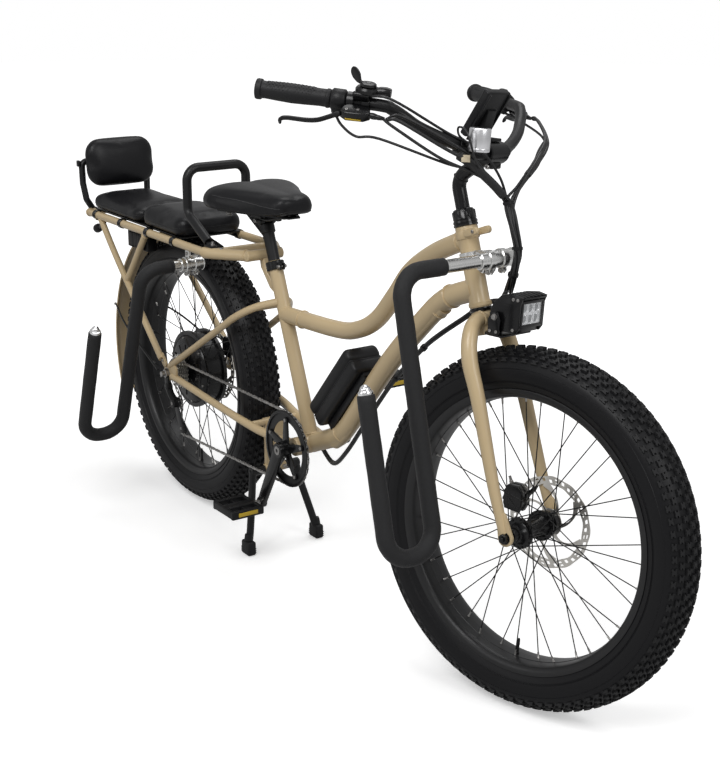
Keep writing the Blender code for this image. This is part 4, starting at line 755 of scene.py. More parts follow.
def wheel_tree() -> NodeTree:
    """Makes the tree that repeats its mesh evenly round the Y axis, from a start angle.

    Returns:
        The tree, with the inputs Count, Start Angle and Material.
    """
    found = bpy.data.node_groups.get("round_the_axle")
    if found:
        return found
    tree, start, end = sockets("round_the_axle", {"Start Angle": "Float"})
    count = start.outputs["Count"]
    line = node(tree, ".MeshLine", {"Offset": (0.0, 0.0, 0.0), "Count": count})
    index = node(tree, ".InputIndex")
    share = node(tree, "Math", {0: math.tau, 1: count}, operation="DIVIDE")
    angle = node(tree, "Math", {0: index.outputs[0], 1: share.outputs[0], 2: start.outputs["Start Angle"]},
        operation="MULTIPLY_ADD")
    turn = node(tree, "CombineXYZ", {"Y": angle.outputs[0]})
    return ended(tree, start, end, {"Points": line.outputs[0], "Instance": start.outputs["Geometry"],
        "Rotation": turn.outputs[0]})


def path_tree() -> NodeTree:
    """Makes the tree that sets copies of a pattern along its edges, X along them and Y kept across.

    Returns:
        The tree, with the inputs Count, Pattern, Across and Material.
    """
    found = bpy.data.node_groups.get("along_the_path")
    if found:
        return found
    tree, start, end = sockets("along_the_path", {"Pattern": "Object", "Across": "Vector"})
    curve = node(tree, ".MeshToCurve", {"Mesh": start.outputs["Geometry"]})
    even = node(tree, ".ResampleCurve", {"Curve": curve.outputs[0], "Count": start.outputs["Count"]})
    tangent = node(tree, ".InputTangent")
    along, across = (tree.nodes.new("FunctionNodeAlignRotationToVector") for _ in range(2))
    along.axis, across.axis, across.pivot_axis = "X", "Y", "X"
    fill(tree, along, {"Vector": tangent.outputs[0]})
    fill(tree, across, {"Rotation": along.outputs[0], "Vector": start.outputs["Across"]})
    pattern = node(tree, ".ObjectInfo", {"Object": start.outputs["Pattern"]})
    return ended(tree, start, end, {"Points": even.outputs[0], "Instance": pattern.outputs["Geometry"],
        "Rotation": across.outputs[0]})


def apply_tree(item: Object, tree: NodeTree, values: dict[str, object]) -> Object:
    """Runs a tree on an object with its inputs set by name, and keeps the plain mesh.

    Args:
        item: The object.
        tree: The tree.
        values: The inputs' values, by name.

    Returns:
        The same object.
    """
    step = item.modifiers.new(tree.name, "NODES")
    step.node_group = tree
    for entry in tree.interface.items_tree:
        if entry.item_type == "SOCKET" and entry.in_out == "INPUT" and entry.name in values:
            step[entry.identifier] = values[entry.name]
    return baked(item)


def round_axle(item: Object, count: int, finish: Finish, start: float = 0.0) -> Object:
    """Repeats a mesh drawn about the origin round the Y axis."""
    return apply_tree(item, wheel_tree(), {"Count": count, "Start Angle": start, "Material": finish.material()})


def along_path(name: str, path: Path, pattern: Object, count: int, finish: Finish,
        across: Point = (0, 1, 0)) -> Object:
    """Sets copies of a pattern along a closed path, and removes the pattern.

    Args:
        name: The new object's name.
        path: The closed path's points.
        pattern: The mesh to repeat.
        count: How many copies.
        finish: Their finish.
        across: The way that each copy's Y keeps to.

    Returns:
        The copies as one mesh.
    """
    bm = bmesh.new()
    verts = [bm.verts.new(Vector(p)) for p in path]
    for a, b in zip(verts, verts[1:] + verts[:1]):
        bm.edges.new((a, b))
    made = apply_tree(shown(name, bm), path_tree(), {"Count": count, "Pattern": pattern, "Across": tuple(across),
        "Material": finish.material()})
    bpy.data.objects.remove(pattern)
    return made


# Places shared by the pieces

ORIGIN = vec(0.702, 0.028, 0.0)
WHEELBASE, TYRE_R = 1.28, 0.347
HEAD_ANGLE, AXIS_FOOT_X, HEAD_LOW, HEAD_LENGTH = math.radians(70.9), 0.098, 0.785, 0.153
STEER_TURN = math.radians(15.2)
BOTTOM_BRACKET = vec(-0.745, 0.0, 0.3)
SEAT_AXIS = vec(-math.cos(math.radians(68)), 0.0, math.sin(math.radians(68)))
SEAT_TOP = BOTTOM_BRACKET + SEAT_AXIS*0.425
FRONT_AXLE, REAR_AXLE = vec(0.0, 0.0, TYRE_R), vec(-WHEELBASE, 0.0, TYRE_R)
BAR_CENTRE, GRIP_END, GRIP_BEND = vec(-0.165, 0.0, 1.028), vec(-0.457, 0.324, 1.116), vec(-0.2648, 0.2076, 1.1038)
GRIP_AXIS = (GRIP_END - GRIP_BEND).normalized()
LIGHT_PIVOT = vec(-0.093, 0.0, 0.74)
CRANK_TURN, CRANK, CHAIN_Y = math.radians(28), 0.17, -0.068
PEDAL_AXLE = BOTTOM_BRACKET + CRANK*vec(-math.sin(CRANK_TURN), 0.0, -math.cos(CRANK_TURN))
RAIL_Y, RAIL_Z, RAIL_R, RAIL_REAR_X, RAIL_FRONT_X = 0.09, 0.69, 0.01, -1.712, -1.06
STAND_PIVOT, STAND_FOOT = vec(-0.915, 0.0, 0.19), vec(-0.88, 0.095, 0.0)


def on_axis(s: float) -> Vector:
    """Gives the point at distance s up the steering axis from the ground."""
    return vec(AXIS_FOOT_X - math.cos(HEAD_ANGLE)*s, 0.0, math.sin(HEAD_ANGLE)*s)


STEER_AXIS = (on_axis(1.0) - on_axis(0.0)).normalized()
FIXED = Matrix.Translation(ORIGIN)


def turned_about(at: Vector, turn: Matrix) -> Matrix:
    """Gives the placement of a piece that stands turned about a point of the bicycle."""
    return FIXED @ Matrix.Translation(at) @ turn.to_4x4() @ Matrix.Translation(-at)


STEERED = turned_about(on_axis(HEAD_LOW), Matrix.Rotation(STEER_TURN, 3, STEER_AXIS))


@dataclass
class Assembly:
    """A group of pieces that share a body and a placement."""

    body: str
    place: Matrix

    def dress(self, item: Object, finish: Finish, angle: float) -> None:
        """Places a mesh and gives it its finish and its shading.

        Args:
            item: The mesh, still in bicycle coordinates.
            finish: Its finish.
            angle: Edges sharper than this many degrees stay sharp.
        """
        item.data.transform(self.place)
        item.data.materials.clear()
        item.data.materials.append(finish.material())
        item.data.polygons.foreach_set("material_index", [0]*len(item.data.polygons))
        item.data.shade_smooth()
        item.data.set_sharp_from_angle(angle=math.radians(angle))

    def add(self, item: Object, finish: Finish, *replaces: str, body: str = "", angle: float = 32.0) -> Object:
        """Places a mesh, gives it its finish and ties it to its body.

        Args:
            item: The mesh, still in bicycle coordinates.
            finish: Its finish.
            replaces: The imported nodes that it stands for.
            body: Another body than the assembly's own.
            angle: Edges sharper than this many degrees stay sharp.

        Returns:
            The same object.
        """
        self.dress(item, finish, angle)
        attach(item, body or self.body)
        if replaces:
            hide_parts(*replaces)
        log.info("%s on %s, %d faces", item.name, body or self.body, len(item.data.polygons))
        return item


def bead(name: str, at: Point, axis: Point, radius: float, thick: float = 0.0022) -> Object:
    """Makes the rippled ring of a weld round a tube.

    Args:
        name: The new object's name.
        at: The ring's centre.
        axis: The tube's direction.
        radius: The tube's radius.
        thick: The weld's radius.

    Returns:
        The weld.
    """
    way = Vector(axis).normalized()
    side = way.orthogonal().normalized()
    count = 72
    path = [Vector(at) + Matrix.Rotation(t, 3, way) @ side*radius for t in angles(count)]
    return tube(name, path, [thick*(1.0 + 0.16*(i % 2)) for i in range(count)], 8, closed=True)


def ribbon(name: str, line: Line, widths: Sequence[float], thick: float, place: Matrix) -> Object:
    """Makes a flat bent bar from its middle line and its width at each point.

    Args:
        name: The new object's name.
        line: The middle line.
        widths: The width at each of its points.
        thick: The thickness.
        place: Where it goes.

    Returns:
        The bent bar.
    """
    pts = [vec(*p, 0) for p in line]
    left, right = [], []
    for i, p in enumerate(pts):
        along = heading(pts, i)
        side = vec(-along.y, along.x, 0)*widths[i]/2
        left.append(p + side)
        right.append(p - side)
    up = vec(0, 0, thick/2)
    rings = [[a - up, b - up, b + up, a + up] for a, b in zip(left, right)]
    item = loft(name, rings)
    item.data.transform(place)
    return item


# Wheels

@dataclass(frozen=True)
class WheelSize:
    """Sizes of one wheel, in metres from its axle."""

    rim_r: float = 0.2668
    rim_half: float = 0.04
    flange_r: float = 0.0265
    flange_y: float = 0.0345
    lean: float = math.radians(60)
    rotor_y: float = 0.0648
    motor_r: float = 0.0
    knobs: int = 92


WHEEL_STEPS = 128
# Per row: distance from the middle, radius, lean in degrees, half length, half width, height, shift
KNOB_ROWS = ((0.0068, 0.3418, 6.0, 0.006, 0.0042, 0.0051, 0.5), (0.0187, 0.3382, 20.0, 0.0062, 0.004, 0.0046, 0.02),
    (0.0297, 0.3318, 35.0, 0.006, 0.004, 0.0043, 0.52), (0.0394, 0.3234, 50.0, 0.0062, 0.0042, 0.004, 0.04))


class Wheel(Assembly):
    """A fat tyre on its rim, with the spoked hub or motor and the brake rotor."""

    def __init__(self, end: str, place: Matrix, size: WheelSize) -> None:
        """Sets the wheel's body and sizes."""
        super().__init__(f"{end}_wheel", place)
        self.end, self.size = end, size

    def build(self) -> None:
        """Makes and dresses every piece of the wheel."""
        self.tyre()
        self.rim()
        if self.size.motor_r:
            self.motor()
        else:
            self.hub()
        self.spokes()
        self.rotor()

    def tyre(self) -> None:
        """Turns the casing, with its moulded lines, and sets the knobs round it."""
        half = [(0.0372, 0.2672), (0.0382, 0.2704), (0.0404, 0.2738), (0.0434, 0.28), (0.0462, 0.2885),
            (0.0474, 0.298), (0.0468, 0.308), (0.0445, 0.3165), (0.0402, 0.323), (0.0325, 0.33), (0.023, 0.3362),
            (0.012, 0.3404), (0, 0.342)]
        line = [(p.x, p.y) for p in smooth([(*p, 0) for p in half], 4)]
        skin = [(-y, r) for y, r in line] + [(y, r) for y, r in reversed(line[:-1])]
        inner = [(y*0.9, r - 0.0035) for y, r in reversed(skin[2:-2])]
        casing = lathe(f"{self.end}_casing", (0, 0, 0), (0, 1, 0), skin + inner, WHEEL_STEPS)
        lines = [lathe("line", (0, 0, 0), (0, 1, 0),
            [(y*s - 0.0008*s, r - 0.001), (y*s + 0.0007*s, r), (y*s - 0.0008*s, r + 0.001)], WHEEL_STEPS)
            for s in SIDES for y, r in ((0.0449, 0.2838), (0.0457, 0.286), (0.0466, 0.3095))]
        self.add(join(casing.name, [casing, *lines]), TYRE, f"{self.end}_tyre", angle=50)
        knobs = []
        for y, r, tilt, along, across, high, phase in KNOB_ROWS:
            for side in SIDES:
                share = phase + (0.25 if side > 0 else 0.0)
                knobs.append(self.knob(y*side, r, math.radians(tilt)*side, along, across, high, share))
        tread = round_axle(join(f"{self.end}_tread", knobs), self.size.knobs, TREAD)
        self.add(tread, TREAD)

    def knob(self, y: float, r: float, tilt: float, along: float, across: float, high: float, phase: float) -> Object:
        """Makes one notched tread block, standing square on the casing.

        Args:
            y: Its place across the tyre.
            r: Its distance from the axle.
            tilt: Its lean, in radians.
            along: Half its length.
            across: Half its width.
            high: Its height.
            phase: Its place in the row's spacing.

        Returns:
            The block.
        """
        a, b = along, across
        outline = [(-a, -b), (-0.15*a, -b), (0, -0.82*b), (0.15*a, -b), (a, -b), (a, -0.42*b), (0.55*a, -0.28*b),
            (0.55*a, 0.28*b), (a, 0.42*b), (a, b), (0.15*a, b), (0, 0.82*b), (-0.15*a, b), (-a, b), (-a, 0.42*b),
            (-0.55*a, 0.28*b), (-0.55*a, -0.28*b), (-a, -0.42*b)]
        turn = math.tau*phase/self.size.knobs
        out = vec(math.cos(tilt), math.sin(tilt), 0)
        frame = Matrix(((0, 0, -1), (-out.y, out.x, 0), out)).transposed().to_4x4()
        place = Matrix.Rotation(-turn, 4, "Y") @ Matrix.Translation((r, y, 0)) @ frame
        rings = [[place @ vec(u*k, v*k, w) for u, v in outline]
            for w, k in ((-0.0015, 1.1), (high*0.88, 1.0), (high, 0.93))]
        return loft("knob", rings)

    def rim(self) -> None:
        """Turns the wide rim, with its hooked lips, its two steps and the valve."""
        h, r = self.size.rim_half, self.size.rim_r
        half = [(h, r + 0.0042), (h + 0.0004, r + 0.0028), (h, r - 0.004), (h - 0.004, r - 0.01),
            (h - 0.0075, r - 0.0122), (h - 0.0165, r - 0.014), (0.0105, r - 0.015), (0.0095, r - 0.0158),
            (0, r - 0.016)]
        inside = [(0, r - 0.012), (0.014, r - 0.011), (h - 0.01, r - 0.004), (h - 0.0026, r - 0.0022),
            (h - 0.0024, r + 0.004)]
        ring_line = [(-y, v) for y, v in half] + [(y, v) for y, v in reversed(half[:-1])]
        ring_line += [(y, v) for y, v in reversed(inside)] + [(-y, v) for y, v in inside[1:]]
        body = lathe(f"{self.end}_rim_band", (0, 0, 0), (0, 1, 0), ring_line, WHEEL_STEPS)
        self.add(body, RIM, f"{self.end}_rim")
        valve = [lathe("valve", (0, 0.0, -(r - 0.012)), (0, 0, 1),
            [(0, 0), (0, 0.0034), (0.006, 0.0034), (0.007, 0.0026), (0.034, 0.0024), (0.036, 0)], 14)]
        valve.append(lathe("cap", (0, 0, -(r - 0.034)), (0, 0, 1),
            [(0, 0), (0, 0.0031), (0.011, 0.0028), (0.013, 0.002), (0.013, 0)], 10))
        self.add(join(f"{self.end}_valve", valve), PLASTIC)

    def spokes(self) -> None:
        """Laces the wheel: nine repeats of four crossed spokes, with their heads and nipples."""
        size = self.size
        wires, nipples = [], []
        # Where each spoke of a repeat meets the rim, in degrees, and its flange
        for rim_deg, side in ((0, 1), (10, -1), (20, 1), (30, -1)):
            first = rim_deg in (0, 10)
            a = math.radians(rim_deg)
            b = a + size.lean*(-1 if first else 1)
            y = size.flange_y*side + (0.0022 if first else -0.0022)*side
            start = vec(size.flange_r*math.cos(b), y, size.flange_r*math.sin(b))
            end = vec((size.rim_r - 0.015)*math.cos(a), 0.007*side, (size.rim_r - 0.015)*math.sin(a))
            head = vec(start.x, size.flange_y*side - (0.003 if first else -0.003)*side, start.z)
            near = start + (end - start).normalized()*0.004
            wires.append(tube("spoke", [head, start, near, end], 0.00115, 7))
            wires.append(lathe("head", head, head - start,
                [(-0.0012, 0), (-0.001, 0.0022), (0.0004, 0.0021), (0.0011, 0)], 8))
            along = (start - end).normalized()
            nipples.append(lathe("nipple", end - along*0.002, along,
                [(0, 0), (0, 0.003), (0.003, 0.0028), (0.004, 0.0021), (0.0135, 0.0019), (0.014, 0)], 8))
        self.add(round_axle(join(f"{self.end}_spokes", wires), 9, SATIN), SATIN)
        self.add(round_axle(join(f"{self.end}_nipples", nipples), 9, CHAIN_STEEL), CHAIN_STEEL)

    def hub(self) -> None:
        """Turns the front hub: waist, drilled flanges, rotor seat and end caps."""
        f = self.size.flange_y
        profile = [(-0.064, 0.0058), (-0.064, 0.0105), (-0.0625, 0.0128), (-0.055, 0.0135), (-0.0545, 0.016),
            (-0.05, 0.0165), (-0.0495, 0.015), (-f - 0.004, 0.019), (-f - 0.0017, 0.0215), (-f - 0.0017, 0.0295),
            (-f + 0.0017, 0.0295), (-f + 0.0017, 0.0225), (-f + 0.01, 0.018), (0.0, 0.0158), (f - 0.01, 0.018),
            (f - 0.0017, 0.0225), (f - 0.0017, 0.0295), (f + 0.0017, 0.0295), (f + 0.0017, 0.0225),
            (f + 0.008, 0.021), (f + 0.016, 0.0212), (f + 0.0175, 0.0245), (0.0635, 0.0245), (0.0635, 0.0062)]
        self.add(lathe(f"{self.end}_hub_shell", (0, 0, 0), (0, 1, 0), profile, 64), BLACK, f"{self.end}_hub")
        rib = block("rib", (0.0035, 0.056, 0.0018), (0, 0.0, 0.0168), edge=0.0006)
        self.add(round_axle(rib, 12, SATIN), SATIN).name = "front_hub_ribs"
        holes = lathe("hole", (0.0245, f + 0.0008, 0), (0, 1, 0),
            [(0.001, 0.001), (0.0014, 0.0022), (0.001, 0.0024), (0.0004, 0.0022)], 10)
        self.add(round_axle(holes, 18, CHAIN_STEEL), CHAIN_STEEL).name = "front_hub_eyelets"

    def motor(self) -> None:
        """Turns the hub motor: side covers with ribs, flanges and the cover screws."""
        r, h = self.size.motor_r, 0.04
        profile = [(-0.052, 0.0085), (-0.052, 0.0205), (-0.0505, 0.022), (-h - 0.003, 0.0235), (-h, 0.03),
            (-h + 0.001, 0.064), (-h + 0.004, 0.079), (-0.031, 0.085), (-0.0265, 0.088), (-0.0262, r), (-0.0175, r),
            (-0.017, 0.0905), (0.017, 0.0905), (0.0175, r), (0.0262, r), (0.0265, 0.088), (0.031, 0.085),
            (h - 0.004, 0.079), (h - 0.001, 0.064), (h, 0.03), (h + 0.003, 0.0235), (0.049, 0.0235), (0.049, 0.0085)]
        self.add(lathe("rear_motor_shell", (0, 0, 0), (0, 1, 0), profile, 96), BLACK, "rear_motor")
        ribs = [block("rib", (0.036, 0.003, 0.003), (0.048, s*(h - 0.0005), 0), edge=0.001) for s in SIDES]
        self.add(round_axle(join("rear_motor_ribs", ribs), 12, BLACK), BLACK)
        screws = [bolt("screw", (0.0815, s*0.0335, 0), (0, s, 0), 0.0032, 0.003) for s in SIDES]
        self.add(round_axle(join("rear_motor_screws", screws), 6, CHAIN_STEEL, 0.3), CHAIN_STEEL)

    def rotor(self) -> None:
        """Cuts the slotted braking ring, its six curved arms and the bolted centre."""
        y, thick, count = self.size.rotor_y, 0.0019, 144
        radii = [0.074, 0.0772, 0.08, 0.0832, 0.0862, 0.0896]
        bm = bmesh.new()
        grid = []
        for k, r in enumerate(radii):
            wave = 0.0009*(1 if k == 5 else -1 if k == 0 else 0)
            grid.append([bm.verts.new(((r + wave*math.cos(12*t))*math.cos(t + (r - 0.08)*5), y - thick/2,
                (r + wave*math.cos(12*t))*math.sin(t + (r - 0.08)*5))) for t in angles(count)])
        for k in range(5):
            for i in range(count):
                # These cells stay open as slots
                if (k, i % 12) in ((1, 1), (1, 2), (2, 1), (2, 2), (2, 5), (2, 6), (3, 5), (3, 6), (1, 9), (1, 10),
                        (3, 9), (3, 10)):
                    continue
                j = (i + 1) % count
                bm.faces.new((grid[k][i], grid[k][j], grid[k + 1][j], grid[k + 1][i]))
        made = bmesh.ops.extrude_face_region(bm, geom=bm.faces[:])
        bmesh.ops.translate(bm, vec=(0, thick, 0),
            verts=[v for v in made["geom"] if isinstance(v, bmesh.types.BMVert)])
        band = wrap("band", bm)
        line = [(r*math.cos(a), r*math.sin(a))
            for r, a in ((0.0235 + 0.0525*t, 0.8*t**1.25) for t in (i/10 for i in range(11)))]
        arm = ribbon("arm", line, [0.0105 - 0.007*math.sin(math.pi*min(1.0, i/9)) + 0.002*(i/10)**3
            for i in range(11)], thick*0.96, side_plane(y))
        self.add(join(f"{self.end}_rotor_ring",
            [band, round_axle(arm, 6, STEEL), ring("hub", (0, y - thick/2, 0), (0, y + thick/2, 0), 0.0275, 0.0165)]),
            STEEL, f"{self.end}_rotor", angle=40)
        self.add(round_axle(bolt("screw", (0.0222, y + thick/2, 0), (0, 1, 0), 0.0038, 0.0026), 6, CHAIN_STEEL, 0.25),
            CHAIN_STEEL).name = f"{self.end}_rotor_bolts"


# Steering

def hand_frame(side: int) -> tuple[Vector, Vector]:
    """Gives, at one grip, the way out along it and the way that its lever stands off.

    Args:
        side: 1 for the left hand, -1 for the right.

    Returns:
        The two directions.
    """
    along = vec(GRIP_AXIS.x, GRIP_AXIS.y*side, GRIP_AXIS.z)
    out = vec(along.y*side, -along.x*side, 0.0).normalized()
    return along, (out*0.78 - vec(0, 0, 1)*0.62).normalized()


def on_grip(side: int, back: float, reach: float = 0.0, lift: float = 0.0) -> Vector:
    """Gives the point this far in from a grip's end, off its axis towards the lever, and up.

    Args:
        side: 1 for the left hand, -1 for the right.
        back: Distance from the grip's end.
        reach: Distance towards the lever.
        lift: Distance up.

    Returns:
        The point.
    """
    along, away = hand_frame(side)
    up = away.cross(along)*side
    return vec(GRIP_END.x, GRIP_END.y*side, GRIP_END.z) - along*back + away*reach + up*lift


def hand_turn(side: int) -> Matrix:
    """Gives the turn that lays X along a grip and Y towards its lever."""
    along, reach = hand_frame(side)
    return Matrix((along, reach, along.cross(reach))).transposed()


def bar_line() -> list[Vector]:
    """Gives the middle line of the handlebar, from the left end to the right.

    Returns:
        The line's points.
    """
    half = [GRIP_END - GRIP_AXIS*0.004, GRIP_END.lerp(GRIP_BEND, 0.5), GRIP_BEND, (-0.248, 0.195, 1.0985),
        (-0.234, 0.18, 1.0875), (-0.22, 0.158, 1.072), (-0.2032, 0.13, 1.0588), (-0.1853, 0.09, 1.0441),
        (-0.172, 0.05, 1.0325), BAR_CENTRE + vec(0, 0.03, 0)]
    left = [Vector(p) for p in half]
    return smooth(left + [vec(p.x, -p.y, p.z) for p in reversed(left)], 4)


class Braked(Assembly):
    """An assembly that carries a disc brake caliper."""

    def caliper(self, end: str, axle: Vector, rotor_y: float, span: tuple[float, float], at: tuple[float, float],
            arm: Path) -> None:
        """Makes a disc brake caliper in two halves round the rotor, with its screws, adaptor and hose union.

        Args:
            end: Which wheel it brakes.
            axle: The wheel's centre.
            rotor_y: The disc's place across the bicycle.
            span: The caliper's inner and outer face.
            at: Its middle, in x and z.
            arm: The adaptor's further points.
        """
        (x, z), (inner, outer) = at, span
        side = [(-0.018, -0.024), (0.014, -0.026), (0.021, -0.012), (0.02, 0.016), (0.01, 0.026), (-0.014, 0.025),
            (-0.022, 0.012), (-0.022, -0.014)]
        outline = [(x + u, z + v) for u, v in side]
        halves = [prism("half", outline, abs(y1 - y0), side_plane((y0 + y1)/2), 0.0022, 3)
            for y0, y1 in ((inner, rotor_y - 0.002), (rotor_y + 0.002, outer))]
        away = (vec(x, 0, z) - vec(axle.x, 0, axle.z)).normalized()
        bridge = block("bridge", (0.01, outer - inner - 0.006, 0.034), vec(x, (inner + outer)/2, z) + away*0.018,
            Matrix.Rotation(-math.atan2(away.z, away.x), 3, "Y"), 0.002)
        piston = lathe("piston", (x - 0.001, outer - 0.0005, z - 0.001), (0, 1, 0),
            [(-0.004, 0), (-0.004, 0.0135), (0.0003, 0.013), (0.0008, 0.012), (0.0008, 0.007), (0, 0.0062), (0, 0)],
            32)
        adaptor = [tube("adaptor", smooth([(x + 0.006, rotor_y + 0.0098, z + 0.004), *arm], 4), 0.0048, 12)]
        self.add(join(f"{end}_caliper_body", [*halves, bridge, piston, *adaptor]), BLACK, f"{end}_caliper")
        screws = [bolt("screw", (x + u, outer - 0.001, z + v), (0, 1, 0), 0.0034, 0.0026)
            for u, v in ((0.012, 0.017), (-0.014, 0.016), (-0.012, -0.017), (0.01, -0.018))]
        screws.append(lathe("union", (x - 0.018, (inner + outer)/2 + 0.006, z + 0.021), (-0.5, 0, 1),
            [(0, 0), (0, 0.0042), (0.006, 0.0042), (0.007, 0.003), (0.016, 0.0028), (0.016, 0)], 14))
        self.add(join(f"{end}_caliper_screws", screws), CHAIN_STEEL)


@dataclass
class Fork(Braked):
    """The unicrown fork with its dropouts, axle ends, headset parts and brake caliper."""

    steerer_r: float = 0.0143
    crown_r: float = 0.0202
    blade_r: float = 0.0152
    blade_narrows: float = 0.0066
    dropout_y: float = 0.0785
    end_y: float = 0.082
    rotor_y: float = 0.0648

    def build(self) -> None:
        """Makes and dresses the fork's pieces."""
        parts = [rod("fork_steerer", on_axis(0.742), on_axis(HEAD_LOW + HEAD_LENGTH + 0.03), self.steerer_r,
            steps=28)]
        parts.append(lathe("crown", on_axis(0.732), STEER_AXIS,
            [(0, 0), (0.001, 0.016), (0.005, 0.019), (0.014, self.crown_r), (0.042, self.crown_r), (0.0444, 0.0185),
            (0.0444, 0)], 40))
        for side in SIDES:
            blade = smooth([(-0.1478, 0.004*side, 0.7245), (-0.147, 0.022*side, 0.7215), (-0.143, 0.044*side, 0.709),
                (-0.134, 0.061*side, 0.683), (-0.1215, 0.069*side, 0.648), (-0.098, 0.0715*side, 0.595),
                (-0.068, 0.0745*side, 0.515), (-0.04, 0.0775*side, 0.44), (-0.018, 0.0785*side, 0.385),
                (-0.006, 0.0785*side, 0.354)], 5)
            radii = [self.blade_r - self.blade_narrows*max(0, i - 20)/(len(blade) - 21) for i in range(len(blade))]
            parts += [tube("blade", blade, radii, 24),
                prism("dropout", stadium((0, TYRE_R), (-0.013, TYRE_R + 0.036), 0.016, 0.0105), 0.0068,
                side_plane(self.dropout_y*side), 0.001)]
        parts += [bead("weld", (-0.1475, 0.0165*s, 0.7222), (0.02, s, -0.12), 0.0153) for s in SIDES]
        self.add(join("fork_frame", parts), TAN, "fork", angle=38)
        ends = []
        for side in SIDES:
            y = self.end_y*side
            ends += [nut("nut", (0, y, TYRE_R), (0, side, 0), 0.01, 0.0085),
                rod("end", (0, 0.064*side, TYRE_R), (0, 0.0945*side, TYRE_R), 0.0048)]
        self.add(join("front_axle_ends", ends), BLACK)
        self.caliper("front", FRONT_AXLE, self.rotor_y, (0.051, 0.08), (-0.08, 0.376),
            [(-0.052, 0.0785, 0.395), (-0.036, 0.079, 0.445)])


